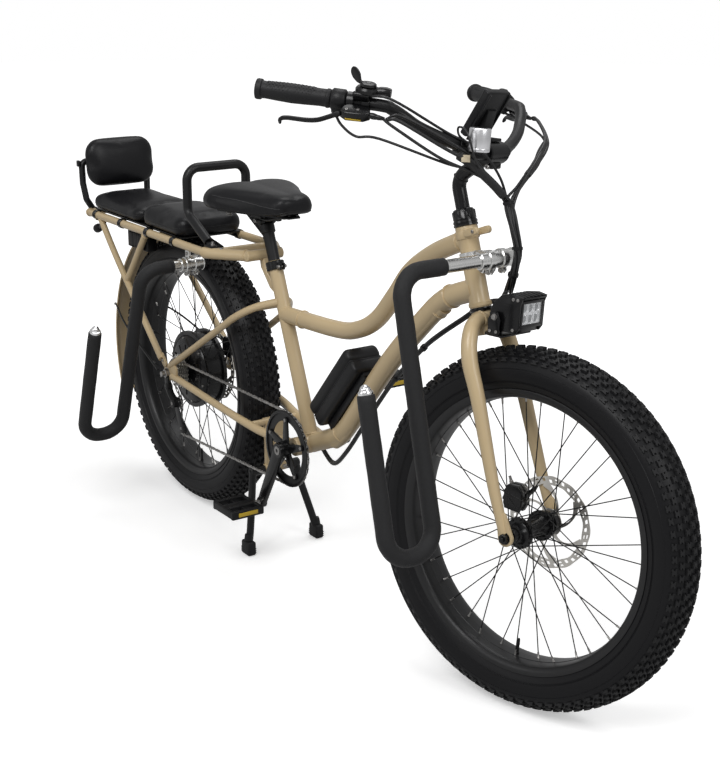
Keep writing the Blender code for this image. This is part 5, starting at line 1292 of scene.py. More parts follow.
@dataclass
class Bar(Assembly):
    """Stem, handlebar and everything clamped on it."""

    quill_r: float = 0.0134
    tube_r: float = 0.0111
    swell: float = 0.0016
    clamp_r: float = 0.0112
    grip_length: float = 0.136
    left_housing_r: float = 0.0205
    right_housing_r: float = 0.0195
    display_tilt: float = math.radians(30)
    horn_r: float = 0.0197

    def build(self) -> None:
        """Makes and dresses the bar's pieces."""
        self.stem()
        self.add(tube("handlebar_tube", bar_line(),
            [self.tube_r + self.swell*max(0.0, min(1.0, (0.062 - abs(p.y))/0.016)) for p in bar_line()], 28), SATIN,
            "handlebar")
        for side in SIDES:
            self.grip(side)
            self.perch(side)
        self.shifter()
        self.rocker()
        self.display()
        self.horn()

    def stem(self) -> None:
        """Bends the quill and makes the bar clamp with its pinch bolt."""
        start = HEAD_LOW + HEAD_LENGTH + 0.0345
        path = rounded([on_axis(start), on_axis(1.03), BAR_CENTRE - vec(0.004, 0, 0.003)], 0.03, 10)
        parts = [tube("quill", path, self.quill_r, 28)]
        parts.append(lathe("clamp", BAR_CENTRE - vec(0, 0.026, 0), (0, 1, 0),
            [(0, 0.0131), (0, 0.0185), (0.002, 0.0205), (0.05, 0.0205), (0.052, 0.0185), (0.052, 0.0131)], 40))
        parts += [block("ear", (0.018, 0.03, 0.012), BAR_CENTRE + vec(0.004, 0, -0.0225), edge=0.003),
            bead("weld", path[-6], path[-5] - path[-6], self.quill_r, 0.0016)]
        self.add(join("stem_body", parts), BLACK, "stem")
        at = BAR_CENTRE + vec(0.004, 0, -0.0245)
        self.add(join("stem_bolt", [bolt("screw", at + vec(0, 0.015*s, 0), (0, s, 0), 0.0048, 0.0042)
            for s in SIDES]), CHAIN_STEEL)

    def grip(self, side: int) -> None:
        """Turns one rubber grip with a flared end, a collar and a raised stippled palm.

        Args:
            side: 1 for the left hand, -1 for the right.
        """
        name, body = ("left_grip", self.body) if side > 0 else ("throttle_grip", "throttle")
        along, away = hand_frame(side)
        profile = [(0.0, 0.0), (0.0, 0.0158), (0.003, 0.0172), (0.0065, 0.0172), (0.008, 0.0158), (0.02, 0.0156),
            (0.045, 0.0168), (0.07, 0.0176), (0.095, 0.0166), (0.118, 0.0154), (0.124, 0.0158), (0.1255, 0.0182),
            (0.132, 0.0186), (0.135, 0.0176), (0.136, 0.015), (0.1352, 0.005), (0.133, 0.003), (0.133, 0)]
        self.add(lathe(f"{name}_rubber", on_grip(side, self.grip_length), along, profile, 44), GRIP, name, body=body)
        pads = []
        up = away.cross(along)*side
        for row in range(9):
            turn = Matrix.Rotation(math.radians(-62 + 15.5*row)*side, 3, along)
            out = turn @ (up*0.9 - away*0.45).normalized()
            for k in range(13):
                s = 0.029 + 0.0068*k + 0.0034*(row % 2)
                if abs(row - 4) > 3 and k in (0, 12):
                    continue
                r = 0.0156 + 0.002*math.sin(math.pi*(s - 0.01)/0.115)
                at = on_grip(side, self.grip_length - s) + out*(r - 0.0002)
                pads.append(lathe("nub", at, out, [(-0.0006, 0.0019), (0.0003, 0.0016), (0.0006, 0)], 6))
        self.add(join(f"{name}_stipple", pads), GRIP, body=body)

    def perch(self, side: int) -> None:
        """Makes a brake perch with its reservoir, lever, hose boot and the housing beside the grip.

        Args:
            side: 1 for the left hand, -1 for the right.
        """
        name = "left" if side > 0 else "right"
        turn = hand_turn(side)
        along, away = hand_frame(side)
        housing = self.left_housing_r if side > 0 else self.right_housing_r
        clamp = ring("clamp", on_grip(side, 0.1785), on_grip(side, 0.1655), 0.017, self.tube_r, 0.001)
        outline = [(-0.028, -0.01), (0.01, -0.013), (0.02, -0.007), (0.023, 0.007), (0.013, 0.014), (-0.019, 0.0125),
            (-0.03, 0.005)]
        body = prism("body", outline, 0.019, Matrix.Translation(on_grip(side, 0.182, 0.028)) @ turn.to_4x4(), 0.0035,
            3)
        neck = block("neck", (0.0125, 0.014, 0.013), on_grip(side, 0.17, 0.018), turn, 0.002)
        middle = on_grip(side, 0.178, 0.028)
        boot = [middle - along*0.02, middle - along*0.034 + away*0.0015, middle - along*0.05 + away*0.004,
            middle - along*0.06 + away*0.005]
        barrel = tube("barrel", smooth(boot, 5), [0.0064, 0.0064, 0.006, 0.0052, 0.0052, 0.0052, 0.0058, 0.0058,
            0.0052, 0.0046, 0.0046, 0.004, 0.004, 0.0034, 0.0034, 0.0028], 18)
        self.add(join(f"{name}_perch_body", [clamp, body, neck, barrel]), BLACK, f"{name}_perch", angle=36)
        pod = [ring("pod", on_grip(side, 0.1645), on_grip(side, 0.1368), housing, self.clamp_r, 0.004, 44),
            block("belly", (0.0235, 0.02, 0.0165), on_grip(side, 0.1505, 0.0095, -0.01), turn, 0.004, 3)]
        self.add(join(f"{name}_housing", pod), PLASTIC, angle=50)
        screws = [bolt("screw", on_grip(side, 0.172, -0.0165, 0.0), -away, 0.0028, 0.002),
            bolt("screw", on_grip(side, 0.19, 0.028, 0.008), away.cross(along)*side, 0.003, 0.0018),
            bolt("screw", on_grip(side, 0.17, 0.031, 0.008), away.cross(along)*side, 0.0026, 0.0018)]
        self.add(join(f"{name}_perch_screws", screws), CHAIN_STEEL)
        if side < 0:
            self.add(block("right_perch_band", (0.028, 0.0012, 0.0034), on_grip(side, 0.183, 0.0421, -0.004), turn,
                0.0003), YELLOW)
        self.lever(side, name)

    def lever(self, side: int, name: str) -> None:
        """Lofts the brake lever blade: a flat curved strip with a hooked ball end.

        Args:
            side: 1 for the left hand, -1 for the right.
            name: That side's name.
        """
        along, away = hand_frame(side)
        normal = along.cross(away)
        line = smooth([on_grip(side, 0.159, 0.034), on_grip(side, 0.15, 0.04), on_grip(side, 0.138, 0.049),
            on_grip(side, 0.123, 0.0585), on_grip(side, 0.105, 0.0625), on_grip(side, 0.085, 0.063),
            on_grip(side, 0.07, 0.0635), on_grip(side, 0.06, 0.065, -0.002), on_grip(side, 0.0565, 0.069, -0.0085)],
            5)
        rings = []
        for i, p in enumerate(line):
            wide = normal.cross(heading(line, i)).normalized()
            share = i/(len(line) - 1)
            a = 0.0046 if share < 0.12 else 0.003 + 0.0012*(share > 0.92)
            b = 0.0058 - 0.0012*share + 0.0006*(share > 0.92)
            if i in (0, len(line) - 1):
                a, b = a*0.6, b*0.6
            rings.append(oval(p, wide*a, normal*b, 14))
        self.add(loft(f"{name}_lever_blade", rings), SATIN, f"{name}_lever", body=f"{name}_lever", angle=50)

    def shifter(self) -> None:
        """Makes the round gear unit, its gauge, its clamp and the tall thumb paddle."""
        side = -1
        along, _ = hand_frame(side)
        up = vec(0.18, -0.12, 1.0).normalized()
        centre = on_grip(side, 0.199) + up*0.024
        clamp = ring("clamp", on_grip(side, 0.207), on_grip(side, 0.193), 0.0153, self.clamp_r)
        case = lathe("case", centre - up*0.0066, up, [(-0.003, 0), (-0.003, 0.014), (0.001, 0.02), (0.003, 0.0216),
            (0.0085, 0.0216), (0.0105, 0.02), (0.0122, 0.0186), (0.0122, 0)], 40)
        neck = rod("neck", centre - up*0.0125, centre - up*0.005, 0.007)
        gauge = tube("gauge", [centre - along*0.01 - up*0.003, centre - along*0.025 - up*0.001, centre - along*0.034
            - up*0.0005, centre - along*0.042], [0.0082, 0.0098, 0.0098, 0.0076], 28)
        skirt = block("skirt", (0.03, 0.01, 0.019), centre - up*0.0125 - vec(0.0, 0.015, 0.0), hand_turn(side),
            0.0035, 3)
        self.add(join("shifter_case", [clamp, case, neck, gauge, skirt]), BLACK, "shifter")
        glass = lathe("shifter_gauge_glass", centre - along*0.0422, -along,
            [(-0.003, 0), (-0.003, 0.007), (0.0004, 0.0068), (0.0009, 0)], 26)
        self.add(glass, SCREEN)
        knob = lathe("knob", centre + up*0.0063, up, [(0, 0), (0, 0.014), (0.0012, 0.0152), (0.0052, 0.0148),
            (0.0066, 0.0128), (0.0066, 0.005), (0.0058, 0.0042), (0.0058, 0)], 30)
        line = smooth([centre + up*0.009, centre + along*0.0095 + up*0.0105, centre + along*0.017 + up*0.015,
            centre + along*0.0235 + up*0.025, centre + along*0.0305 + up*0.0375], 7)
        across = along.cross(up).normalized()
        rings = []
        for i, p in enumerate(line):
            way = heading(line, i)
            share = i/(len(line) - 1)
            swing = max(0.0, min(1.0, share/0.55))
            flat = (across*(1.0 - swing) + across.cross(way).normalized()*swing).normalized()
            wide = 0.0036 + 0.0044*max(0.0, min(1.0, (share - 0.4)/0.3))
            wide *= math.sqrt(max(0.03, 1.0 - (max(0.0, share - 0.78)/0.225)**2))
            thick = flat.cross(way).normalized()*0.0028
            rings.append(oval(p, flat*wide, thick, 18))
        self.add(join("shift_paddle_blade", [knob, loft("blade", rings)]), GLOSS, "shift_paddle", body="shift_paddle",
            angle=48)

    def rocker(self) -> None:
        """Makes the two-way assist key with its two dished ends."""
        along, _ = hand_frame(1)
        up = vec(0, 0, 1)
        up = (up - along*up.dot(along)).normalized()
        centre = on_grip(1, 0.1515) + up*0.0233
        turn = Matrix((along, up.cross(along), up)).transposed()
        parts = [block("key", (0.019, 0.011, 0.0034), centre, turn, 0.0012, 3)]
        parts += [block("dish", (0.006, 0.007, 0.0012), centre + along*0.0052*s + up*0.0016, turn, 0.0005)
            for s in SIDES]
        self.add(join("assist_key", parts), PLASTIC, "assist_rocker", body="assist_rocker")

    def display(self) -> None:
        """Makes the display slab, its dark glass, its bracket and the screw that shows on the side."""
        tilt = Matrix.Rotation(self.display_tilt, 3, "Y")
        centre = vec(-0.188, 0.0, 1.098)
        slab = block("slab", (0.0155, 0.068, 0.096), centre, tilt, 0.0034, 3)
        rail = [block("rail", (0.005, 0.004, 0.09), centre + tilt @ vec(0.0085, 0.03*s, 0), tilt, 0.001)
            for s in SIDES]
        foot = block("foot", (0.024, 0.03, 0.0055), BAR_CENTRE + vec(-0.004, 0, 0.024), edge=0.0012)
        arm = prism("arm", [(-0.002, -0.06), (0.018, -0.052), (0.022, -0.02), (0.012, 0.012), (0.004, 0.014)], 0.026,
            Matrix.Translation(centre) @ tilt.to_4x4() @ Matrix.Rotation(math.pi/2, 4, "X"), 0.002)
        band = ring("band", BAR_CENTRE + vec(0, 0.0262, 0), BAR_CENTRE + vec(0, 0.03, 0), 0.0185, 0.0128)
        self.add(join("display_case", [slab, *rail, foot, arm]), PLASTIC, "display", angle=36)
        self.add(join("display_bands", [band]), PLASTIC)
        self.add(block("display_glass", (0.0012, 0.056, 0.074), centre - tilt @ vec(0.008, 0, -0.006), tilt, 0.0004),
            SCREEN)
        keys = [lathe("key", centre - tilt @ vec(0.0076, y, 0.04), tilt @ vec(-1, 0, 0),
            [(-0.001, 0), (-0.001, 0.0042), (0.0008, 0.0038), (0.001, 0)], 20) for y in (-0.018, 0, 0.018)]
        self.add(join("display_keys", keys), GRIP)
        screws = [bolt("screw", centre + tilt @ vec(0.014, -0.013, -0.03), (0, -1, 0), 0.0044, 0.003),
            bolt("screw", centre + tilt @ vec(0.014, 0.013, -0.03), (0, 1, 0), 0.0044, 0.003),
            bolt("screw", centre + tilt @ vec(0.0078, -0.028, 0.042), tilt @ vec(1, 0, 0), 0.0026, 0.0016)]
        self.add(join("display_screws", screws), CHAIN_STEEL)

    def horn(self) -> None:
        """Makes the chromed horn, its mouth, its bracket and the wire that loops over to the loom."""
        centre = vec(-0.1373, -0.08, 1.0553)
        low = centre - vec(0, 0, 0.021)
        r = self.horn_r
        shell = [(0, 0), (0, 0.0176), (0.0008, 0.019), (0.0022, 0.0196), (0.006, r), (0.0066, 0.0194), (0.0072, r),
            (0.0395, r), (0.041, 0.0191), (0.042, 0.0176), (0.042, 0)]
        self.add(lathe("horn_shell", low, (0, 0, 1), shell, 56), DRAWN, "horn")
        strap = [block("strap", (0.024, 0.0095, 0.0034), centre + vec(-0.025, 0.0, -0.007), edge=0.0012)]
        at, along = vec(-0.1821, -0.08, 1.0412), vec(-0.0065, -0.02, 0.0058).normalized()
        strap.append(ring("ring", at - along*0.005, at + along*0.005, 0.0145, self.clamp_r))
        mouth = [ring("mouth", centre + vec(0, 0, 0.0208), centre + vec(0, 0, 0.0222), 0.0125, 0.01),
            lathe("grille", centre + vec(0, 0, 0.0212), (0, 0, 1), [(0, 0), (0, 0.01), (0.0006, 0)], 30)]
        self.add(join("horn_strap", strap + mouth), PLASTIC)
        wire = smooth([centre + vec(-0.016, -0.004, -0.01), centre + vec(-0.03, -0.02, 0.004),
            centre + vec(-0.022, -0.036, 0.02), centre + vec(-0.004, -0.04, 0.018),
            centre + vec(0.006, -0.034, -0.004), centre + vec(0.004, -0.014, -0.034),
            centre + vec(0.0, 0.01, -0.052)], 7)
        self.add(tube("horn_wire", wire, 0.002, 10, ends=0.5), CABLE)


@dataclass
class Cockpit(Assembly):
    """The work light on its bracket, in front of the fork crown."""

    strap_z: float = 0.7055
    strap_thick: float = 0.0034
    ear_y: float = 0.0463
    nut_y: float = 0.0479
    face_x: float = -0.0462
    cell_y: float = 0.018
    cell_z: tuple[float, float] = (0.74, 0.76)

    def build(self) -> None:
        """Makes and dresses the bracket and the light."""
        self.bracket()
        self.light()

    def bracket(self) -> None:
        """Makes the folded strap under the light, its ears, its seat on the crown and its bolts."""
        z = self.strap_z
        parts = [prism("strap", [(-0.122, -0.03), (-0.112, -0.0465), (-0.074, -0.0475), (-0.074, 0.0475),
            (-0.112, 0.0465), (-0.122, 0.03)], self.strap_thick, Matrix.Translation((0, 0, z)), 0.0008)]
        ear = [(LIGHT_PIVOT.x - 0.012, z - 0.0016), (LIGHT_PIVOT.x + 0.012, z - 0.0016),
            (LIGHT_PIVOT.x + 0.0135, z + 0.03), (LIGHT_PIVOT.x + 0.007, z + 0.0435),
            (LIGHT_PIVOT.x - 0.007, z + 0.0435), (LIGHT_PIVOT.x - 0.0135, z + 0.03)]
        parts += [prism("ear", ear, 0.0032, side_plane(self.ear_y*s), 0.0006) for s in SIDES]
        parts.append(block("back", (0.018, 0.022, 0.034), (-0.1215, 0, z + 0.015), edge=0.002))
        self.add(join("light_strap", parts), BLACK, "light_bracket")
        screws = [nut("nut", LIGHT_PIVOT + vec(0, self.nut_y*s, 0), (0, s, 0), 0.0052, 0.0042) for s in SIDES]
        screws += [bolt("screw", (x, self.nut_y*s, z + h), (0, s, 0), 0.003, 0.0022) for s in SIDES
            for x, h in ((-0.1, 0.008), (-0.086, 0.008))]
        screws += [bolt("screw", (-0.114, y, z + 0.033), (0.1, 0, 1), 0.0028, 0.002) for y in (-0.006, 0.006)]
        self.add(join("light_bracket_bolts", screws), CHAIN_STEEL)

    def light(self) -> None:
        """Makes the finned lamp case, its hood, its reflector cells, lens, bezel and side screws."""
        outline = [(-0.107, 0.725), (-0.086, 0.7152), (-0.052, 0.7152), (-0.049, 0.725), (-0.049, 0.773),
            (-0.058, 0.779), (-0.086, 0.779), (-0.104, 0.762), (-0.1105, 0.743)]
        case = prism("case", outline, 0.068, side_plane(0), 0.003)
        cheek = [(-0.1045, 0.7262), (-0.086, 0.715), (-0.0505, 0.715), (-0.044, 0.7245), (-0.044, 0.77),
            (-0.0395, 0.783), (-0.058, 0.7862), (-0.086, 0.782), (-0.104, 0.764), (-0.11, 0.743)]
        cheeks = [prism("cheek", cheek, 0.006, side_plane(0.0372*s), 0.0014) for s in SIDES]
        fins = [prism("fin", [(-0.1085, 0.744), (-0.103, 0.763), (-0.086, 0.782), (-0.06, 0.7868), (-0.04, 0.7838),
            (-0.041, 0.7785), (-0.06, 0.78), (-0.084, 0.7755), (-0.098, 0.759), (-0.102, 0.744)], 0.0034,
            side_plane(y), 0.0007) for y in (-0.029, -0.0175, -0.0058, 0.0058, 0.0175, 0.029)]
        hood = prism("hood", [(-0.062, 0.7815), (-0.0385, 0.7815), (-0.0385, 0.7786), (-0.05, 0.7765),
            (-0.062, 0.7775)], 0.072, side_plane(0), 0.0008)
        bezel = [block("bezel", size, at, edge=0.001)
            for size, at in (((0.006, 0.069, 0.007), (self.face_x, 0, 0.7282)),
            ((0.006, 0.069, 0.006), (self.face_x, 0, 0.7722)), ((0.006, 0.0068, 0.046), (self.face_x, 0.031, 0.75)),
            ((0.006, 0.0068, 0.046), (self.face_x, -0.031, 0.75)))]
        fangs = [block("rib", (0.016, 0.003, 0.003), (-0.066, y, 0.7145), edge=0.0006)
            for y in (-0.022, -0.011, 0, 0.011, 0.022)]
        self.add(join("headlight_case", [case, *cheeks, *fins, hood, *bezel, *fangs]), BLACK, "headlight",
            body="headlight", angle=34)
        self.reflectors()
        screws = [bolt("screw", (x, 0.0402*s, z), (0, s, 0), 0.003, 0.0006) for s in SIDES
            for x, z in ((-0.06, 0.777), (-0.05, 0.777), (-0.056, 0.721), (-0.088, 0.7225))]
        self.add(join("headlight_screws", screws), CHAIN_STEEL, body="headlight")

    def reflectors(self) -> None:
        """Sets six bowls, made bright by a painted glow, with their diodes behind a clear lens."""
        cells, diodes = [], []
        for y in (-self.cell_y, 0.0, self.cell_y):
            for z in self.cell_z:
                at = vec(-0.046, y, z)
                cells.append(lathe("bowl", at, (-1, 0, 0),
                    [(0, 0.0096), (0.0004, 0.0092), (0.004, 0.007), (0.0062, 0.0036), (0.0064, 0), (0.0074, 0),
                    (0.007, 0.0098)], 26))
                diodes.append(lathe("diode", at - vec(0.0062, 0, 0), (1, 0, 0),
                    [(0, 0), (0, 0.0026), (0.0008, 0.0024), (0.0014, 0)], 14))
        back = block("back", (0.001, 0.056, 0.04), (-0.0528, 0, 0.75), edge=0)
        grid = [block("grid", (0.002, 0.056, 0.002), (-0.0465, 0, z), edge=0.0004) for z in (0.7308, 0.75, 0.7694)]
        grid += [block("grid", (0.002, 0.002, 0.039), (-0.0465, y, 0.75), edge=0.0004)
            for y in (-0.027, -0.009, 0.009, 0.027)]
        # The bowls, back and grid carry the reflector's painted glow.
        self.add(join("headlight_reflectors", cells + [back] + grid), GLOWING_REFLECTOR, body="headlight", angle=60)
        self.add(join("headlight_diodes", diodes), YELLOW, body="headlight")
        self.add(block("headlight_lens", (0.0012, 0.056, 0.04), (-0.044, 0, 0.75), edge=0.0003), LENS,
            body="headlight")


# Frame and rear

@dataclass
class Frame(Braked):
    """The welded frame, headset, stays, battery, drive fittings and rear caliper."""

    top_r: float = 0.0188
    down_r: float = 0.0218
    under_r: float = 0.016
    seat_r: float = 0.0165
    chain_stay_r: tuple[float, float] = (0.011, 0.0086)
    seat_stay_r: tuple[float, float] = (0.0095, 0.008)
    dropout_y: float = 0.088
    stub_r: float = 0.0068
    lug_y: float = 0.0145

    def build(self) -> None:
        """Makes and dresses the fixed pieces of the frame."""
        self.tubes()
        self.stays()
        self.headset()
        self.battery()

    def down_line(self) -> list[Vector]:
        """Gives the middle line of the down tube."""
        return smooth([on_axis(HEAD_LOW + 0.035), (-0.265, 0, 0.735), (-0.345, 0, 0.667), (-0.44, 0, 0.573),
            (-0.535, 0, 0.463), (-0.625, 0, 0.36), BOTTOM_BRACKET], 5)

    def tubes(self) -> None:
        """Sweeps the head, top, down, brace and seat tubes, with lugs, bands and weld beads."""
        low, high = HEAD_LOW, HEAD_LOW + HEAD_LENGTH
        head = lathe("head", on_axis(low), STEER_AXIS, [(0, 0.0165), (0, 0.0205), (0.0015, 0.0212), (0.01, 0.021),
            (0.013, 0.0196), (HEAD_LENGTH - 0.016, 0.0196), (HEAD_LENGTH - 0.013, 0.0214),
            (HEAD_LENGTH - 0.0015, 0.0216), (HEAD_LENGTH, 0.0208), (HEAD_LENGTH, 0.0165)], 48)
        top_line = smooth([on_axis(high - 0.024), (-0.234, 0, 0.851), (-0.307, 0, 0.817), (-0.379, 0, 0.769),
            (-0.432, 0, 0.709), (-0.492, 0, 0.647), (-0.56, 0, 0.609), (-0.645, 0, 0.59),
            BOTTOM_BRACKET + SEAT_AXIS*0.3], 6)
        down = self.down_line()
        under = [p + vec(-0.004, 0, -0.015) for p in down[5:27]]
        parts = [head, tube("top", top_line, self.top_r, 32), tube("down", down, self.down_r, 32),
            tube("under", under, self.under_r, 28), rod("seat", BOTTOM_BRACKET, SEAT_TOP - SEAT_AXIS*0.001,
            self.seat_r, steps=32)]
        shell = lathe("shell", BOTTOM_BRACKET - vec(0, 0.052, 0), (0, 1, 0),
            [(0, 0.0092), (0, 0.02), (0.002, 0.0212), (0.102, 0.0212), (0.104, 0.02), (0.104, 0.0092)], 40)
        parts.append(shell)
        across, band_at = vec(0.0, 1.0, 0.0), high - 0.012
        ahead = across.cross(STEER_AXIS).normalized()
        parts.append(lathe("band", on_axis(band_at - 0.012), STEER_AXIS,
            [(0, 0.019), (0.0008, 0.0216), (0.0022, 0.0224), (0.016, 0.0224), (0.0174, 0.0216), (0.0182, 0.019)], 48))
        turn = Matrix((ahead, across, STEER_AXIS)).transposed()
        for side in SIDES:
            at = on_axis(band_at - 0.002) + ahead*0.0275 + across*self.lug_y*side
            parts.append(prism("lug", stadium((-0.0215, 0), (0.016, 0), 0.0062, 0.0072, 10), 0.0092,
                Matrix.Translation(at) @ turn.to_4x4() @ Matrix.Rotation(math.pi/2, 4, "X"), 0.0016))
        parts += [bead("weld", top_line[4], top_line[5] - top_line[4], self.top_r),
            bead("weld", down[4], down[5] - down[4], self.down_r, 0.0025),
            bead("weld", under[1], under[2] - under[1], self.under_r),
            bead("weld", down[-6], down[-5] - down[-6], self.down_r),
            bead("weld", top_line[-3], top_line[-2] - top_line[-3], self.top_r),
            bead("weld", BOTTOM_BRACKET + SEAT_AXIS*0.022, SEAT_AXIS, self.seat_r)]
        parts.append(lathe("collar", on_axis(low + 0.002), STEER_AXIS,
            [(0, 0.019), (0.0004, 0.0222), (0.007, 0.0222), (0.008, 0.019)], 48))
        self.add(join("frame_tubes", parts), TAN, "main_frame", angle=40)
        screws = [bolt("screw", on_axis(band_at - 0.002) + ahead*0.0405 + across*(self.lug_y*s + 0.0046*s), across*s,
            0.0034, 0.0024) for s in SIDES]
        screws += [bolt("screw", on_axis(band_at - 0.002) + ahead*0.048 + across*self.lug_y*s, ahead, 0.003, 0.0014)
            for s in SIDES]
        self.add(join("frame_lug_bolts", screws), CHAIN_STEEL)

    def stays(self) -> None:
        """Sweeps the chain and seat stays, and makes the dropouts, bridges, stand plate and axle."""
        parts = []
        for side in SIDES:
            y = self.dropout_y*side
            chain_stay = smooth([(-0.757, 0.04*side, 0.3), (-0.86, 0.058*side, 0.302), (-0.93, 0.068*side, 0.309),
                (-1.02, 0.078*side, 0.321), (-WHEELBASE + 0.02, y, TYRE_R - 0.003)], 6)
            seat_stay = smooth([BOTTOM_BRACKET + SEAT_AXIS*0.33 + vec(0, 0.01*side, 0), (-0.915, 0.045*side, 0.588),
                (-0.965, 0.071*side, 0.558), (-1.03, 0.079*side, 0.515), (-WHEELBASE + 0.012, y, TYRE_R + 0.022)], 6)
            parts += [tube("chain_stay", chain_stay, taper(chain_stay, *self.chain_stay_r), 22),
                tube("seat_stay", seat_stay, taper(seat_stay, *self.seat_stay_r), 22),
                prism("dropout", stadium((-WHEELBASE, TYRE_R), (-WHEELBASE + 0.025, TYRE_R + 0.012), 0.02, 0.02),
                0.0068, side_plane(y), 0.001)]
        parts += [rod("bridge", (STAND_PIVOT.x, -0.066, 0.307), (STAND_PIVOT.x, 0.066, 0.307), 0.008),
            rod("high", (-0.925, -0.052, 0.583), (-0.925, 0.052, 0.583), 0.007)]
        web = [(-0.026, 0.313), (0.026, 0.313), (0.013, 0.262), (0.0115, STAND_PIVOT.z + 0.004),
            (-0.0115, STAND_PIVOT.z + 0.004), (-0.013, 0.262)]
        parts.append(prism("web", [(STAND_PIVOT.x + x*0.5, z) for x, z in web], 0.05, side_plane(0), 0.002))
        parts.append(ring("lug", STAND_PIVOT - vec(0, 0.028, 0), STAND_PIVOT + vec(0, 0.028, 0), 0.0115, 0.0053))
        self.add(join("rear_stay_tubes", parts), TAN, "rear_stays", angle=40)
        ends = []
        for side in SIDES:
            ends += [nut("nut", (-WHEELBASE, 0.0915*side, TYRE_R), (0, side, 0), 0.0118, 0.009),
                rod("end", (-WHEELBASE, 0.082*side, TYRE_R), (-WHEELBASE, 0.1095*side, TYRE_R), self.stub_r)]
        self.add(join("rear_axle_ends", ends), CHAIN_STEEL)
        self.caliper("rear", REAR_AXLE, 0.0505, (0.0415, 0.0665), (-1.212, 0.41),
            [(-1.196, 0.072, 0.425), (-1.19, 0.08, 0.418)])

    def headset(self) -> None:
        """Turns the tall upper cup, the lower ring and the seat clamp."""
        top = HEAD_LOW + HEAD_LENGTH + 0.0003
        cup = [(0, 0.0146), (0, 0.0215), (0.0008, 0.0234), (0.0042, 0.0234), (0.005, 0.0222), (0.0062, 0.0222),
            (0.007, 0.0234), (0.011, 0.023), (0.012, 0.0215), (0.013, 0.0215), (0.014, 0.0224), (0.03, 0.02),
            (0.0318, 0.0192), (0.033, 0.0178), (0.0338, 0.0146)]
        ribs = []
        side = STEER_AXIS.orthogonal().normalized()
        for i in range(10):
            out = Matrix.Rotation(math.tau*i/10, 3, STEER_AXIS) @ side
            turn = Matrix((out, STEER_AXIS.cross(out), STEER_AXIS)).transposed()
            ribs.append(block("rib", (0.003, 0.006, 0.015), on_axis(top + 0.022) + out*0.0207, turn, 0.001))
        self.add(join("upper_cup_shell", [lathe("cup", on_axis(top), STEER_AXIS, cup, 56), *ribs]), GLOSS,
            "upper_cup")
        low = HEAD_LOW - 0.0003 - 0.0075
        self.add(lathe("lower_cup_ring", on_axis(low), STEER_AXIS,
            [(0, 0.0146), (0, 0.0205), (0.001, 0.0218), (0.003, 0.022), (0.0038, 0.0208), (0.0048, 0.0208),
            (0.0056, 0.022), (0.0068, 0.0218), (0.0074, 0.0205), (0.0074, 0.0146)], 48), GLOSS, "lower_cup")
        collar = ring("collar", SEAT_TOP - SEAT_AXIS*0.022, SEAT_TOP - SEAT_AXIS*0.002, 0.0215, 0.0168, 0.0014)
        back = SEAT_TOP - SEAT_AXIS*0.012 + vec(0.0255, 0, 0.004)
        ears = [block("ear", (0.014, 0.0052, 0.016), back + vec(0, 0.0045*s, 0), edge=0.0015) for s in SIDES]
        self.add(join("seat_clamp_collar", [collar, *ears]), BLACK, "seat_clamp")
        self.add(join("seat_clamp_bolt", [bolt("screw", back + vec(0.002, 0.007*s, 0), (0, s, 0), 0.0042, 0.0046)
            for s in SIDES] + [rod("pin", back - vec(-0.002, 0.008, 0), back + vec(0.002, 0.008, 0), 0.0024)]),
            CHAIN_STEEL)

    def battery(self) -> None:
        """Makes the battery: case in two shells with a seam, grip recess, key lock and port, on its saddle."""
        a, b = vec(-0.44, 0, 0.573), vec(-0.625, 0, 0.36)
        along = (b - a).normalized()
        up = vec(-along.z, 0, along.x)
        up = up if up.z > 0 else -up
        turn = Matrix((along, up.cross(along), up)).transposed()
        centre = (a + b)/2 + up*0.06 + along*0.045
        shells = [block("upper", (0.22, 0.087, 0.034), centre + up*0.0138, turn, 0.013, 5),
            block("lower", (0.218, 0.085, 0.03), centre - up*0.0158, turn, 0.009, 4),
            block("seam", (0.212, 0.08, 0.006), centre - up*0.002, turn, 0.002),
            block("saddle", (0.2, 0.04, 0.012), centre - up*0.0345, turn, 0.003)]
        shells += [block("rib", (0.12, 0.0035, 0.0025), centre + up*0.0308 + turn @ vec(0.01, y, 0), turn, 0.001)
            for y in (-0.024, -0.012, 0, 0.012, 0.024)]
        cheeks = [block("cheek", (0.196, 0.005, 0.016), centre - up*0.04 + turn @ vec(0, 0.02*s, 0), turn, 0.0015)
            for s in SIDES]
        self.add(join("battery_case", shells + cheeks), PLASTIC, "battery_pack", angle=40)
        lock = lathe("lock", centre + turn @ vec(-0.06, -0.042, -0.014), turn @ vec(0, -1, 0),
            [(0, 0), (0, 0.0085), (0.0018, 0.008), (0.0018, 0.005), (0.001, 0.0046), (0.001, 0)], 26)
        slot = block("slot", (0.0012, 0.0008, 0.006), centre + turn @ vec(-0.06, -0.0434, -0.014), turn, 0.0002)
        self.add(join("battery_lock", [lock, slot]), CHAIN_STEEL)
        self.add(block("battery_port_cover", (0.022, 0.0026, 0.014), centre + turn @ vec(0.07, -0.0424, -0.014), turn,
            0.001), GRIP)
        self.add(join("battery_lamps",
            [block("lamp", (0.0045, 0.003, 0.001), centre + up*0.0308 + turn @ vec(-0.08 + 0.008*i, 0, 0), turn,
            0.0003) for i in range(4)]), RED)


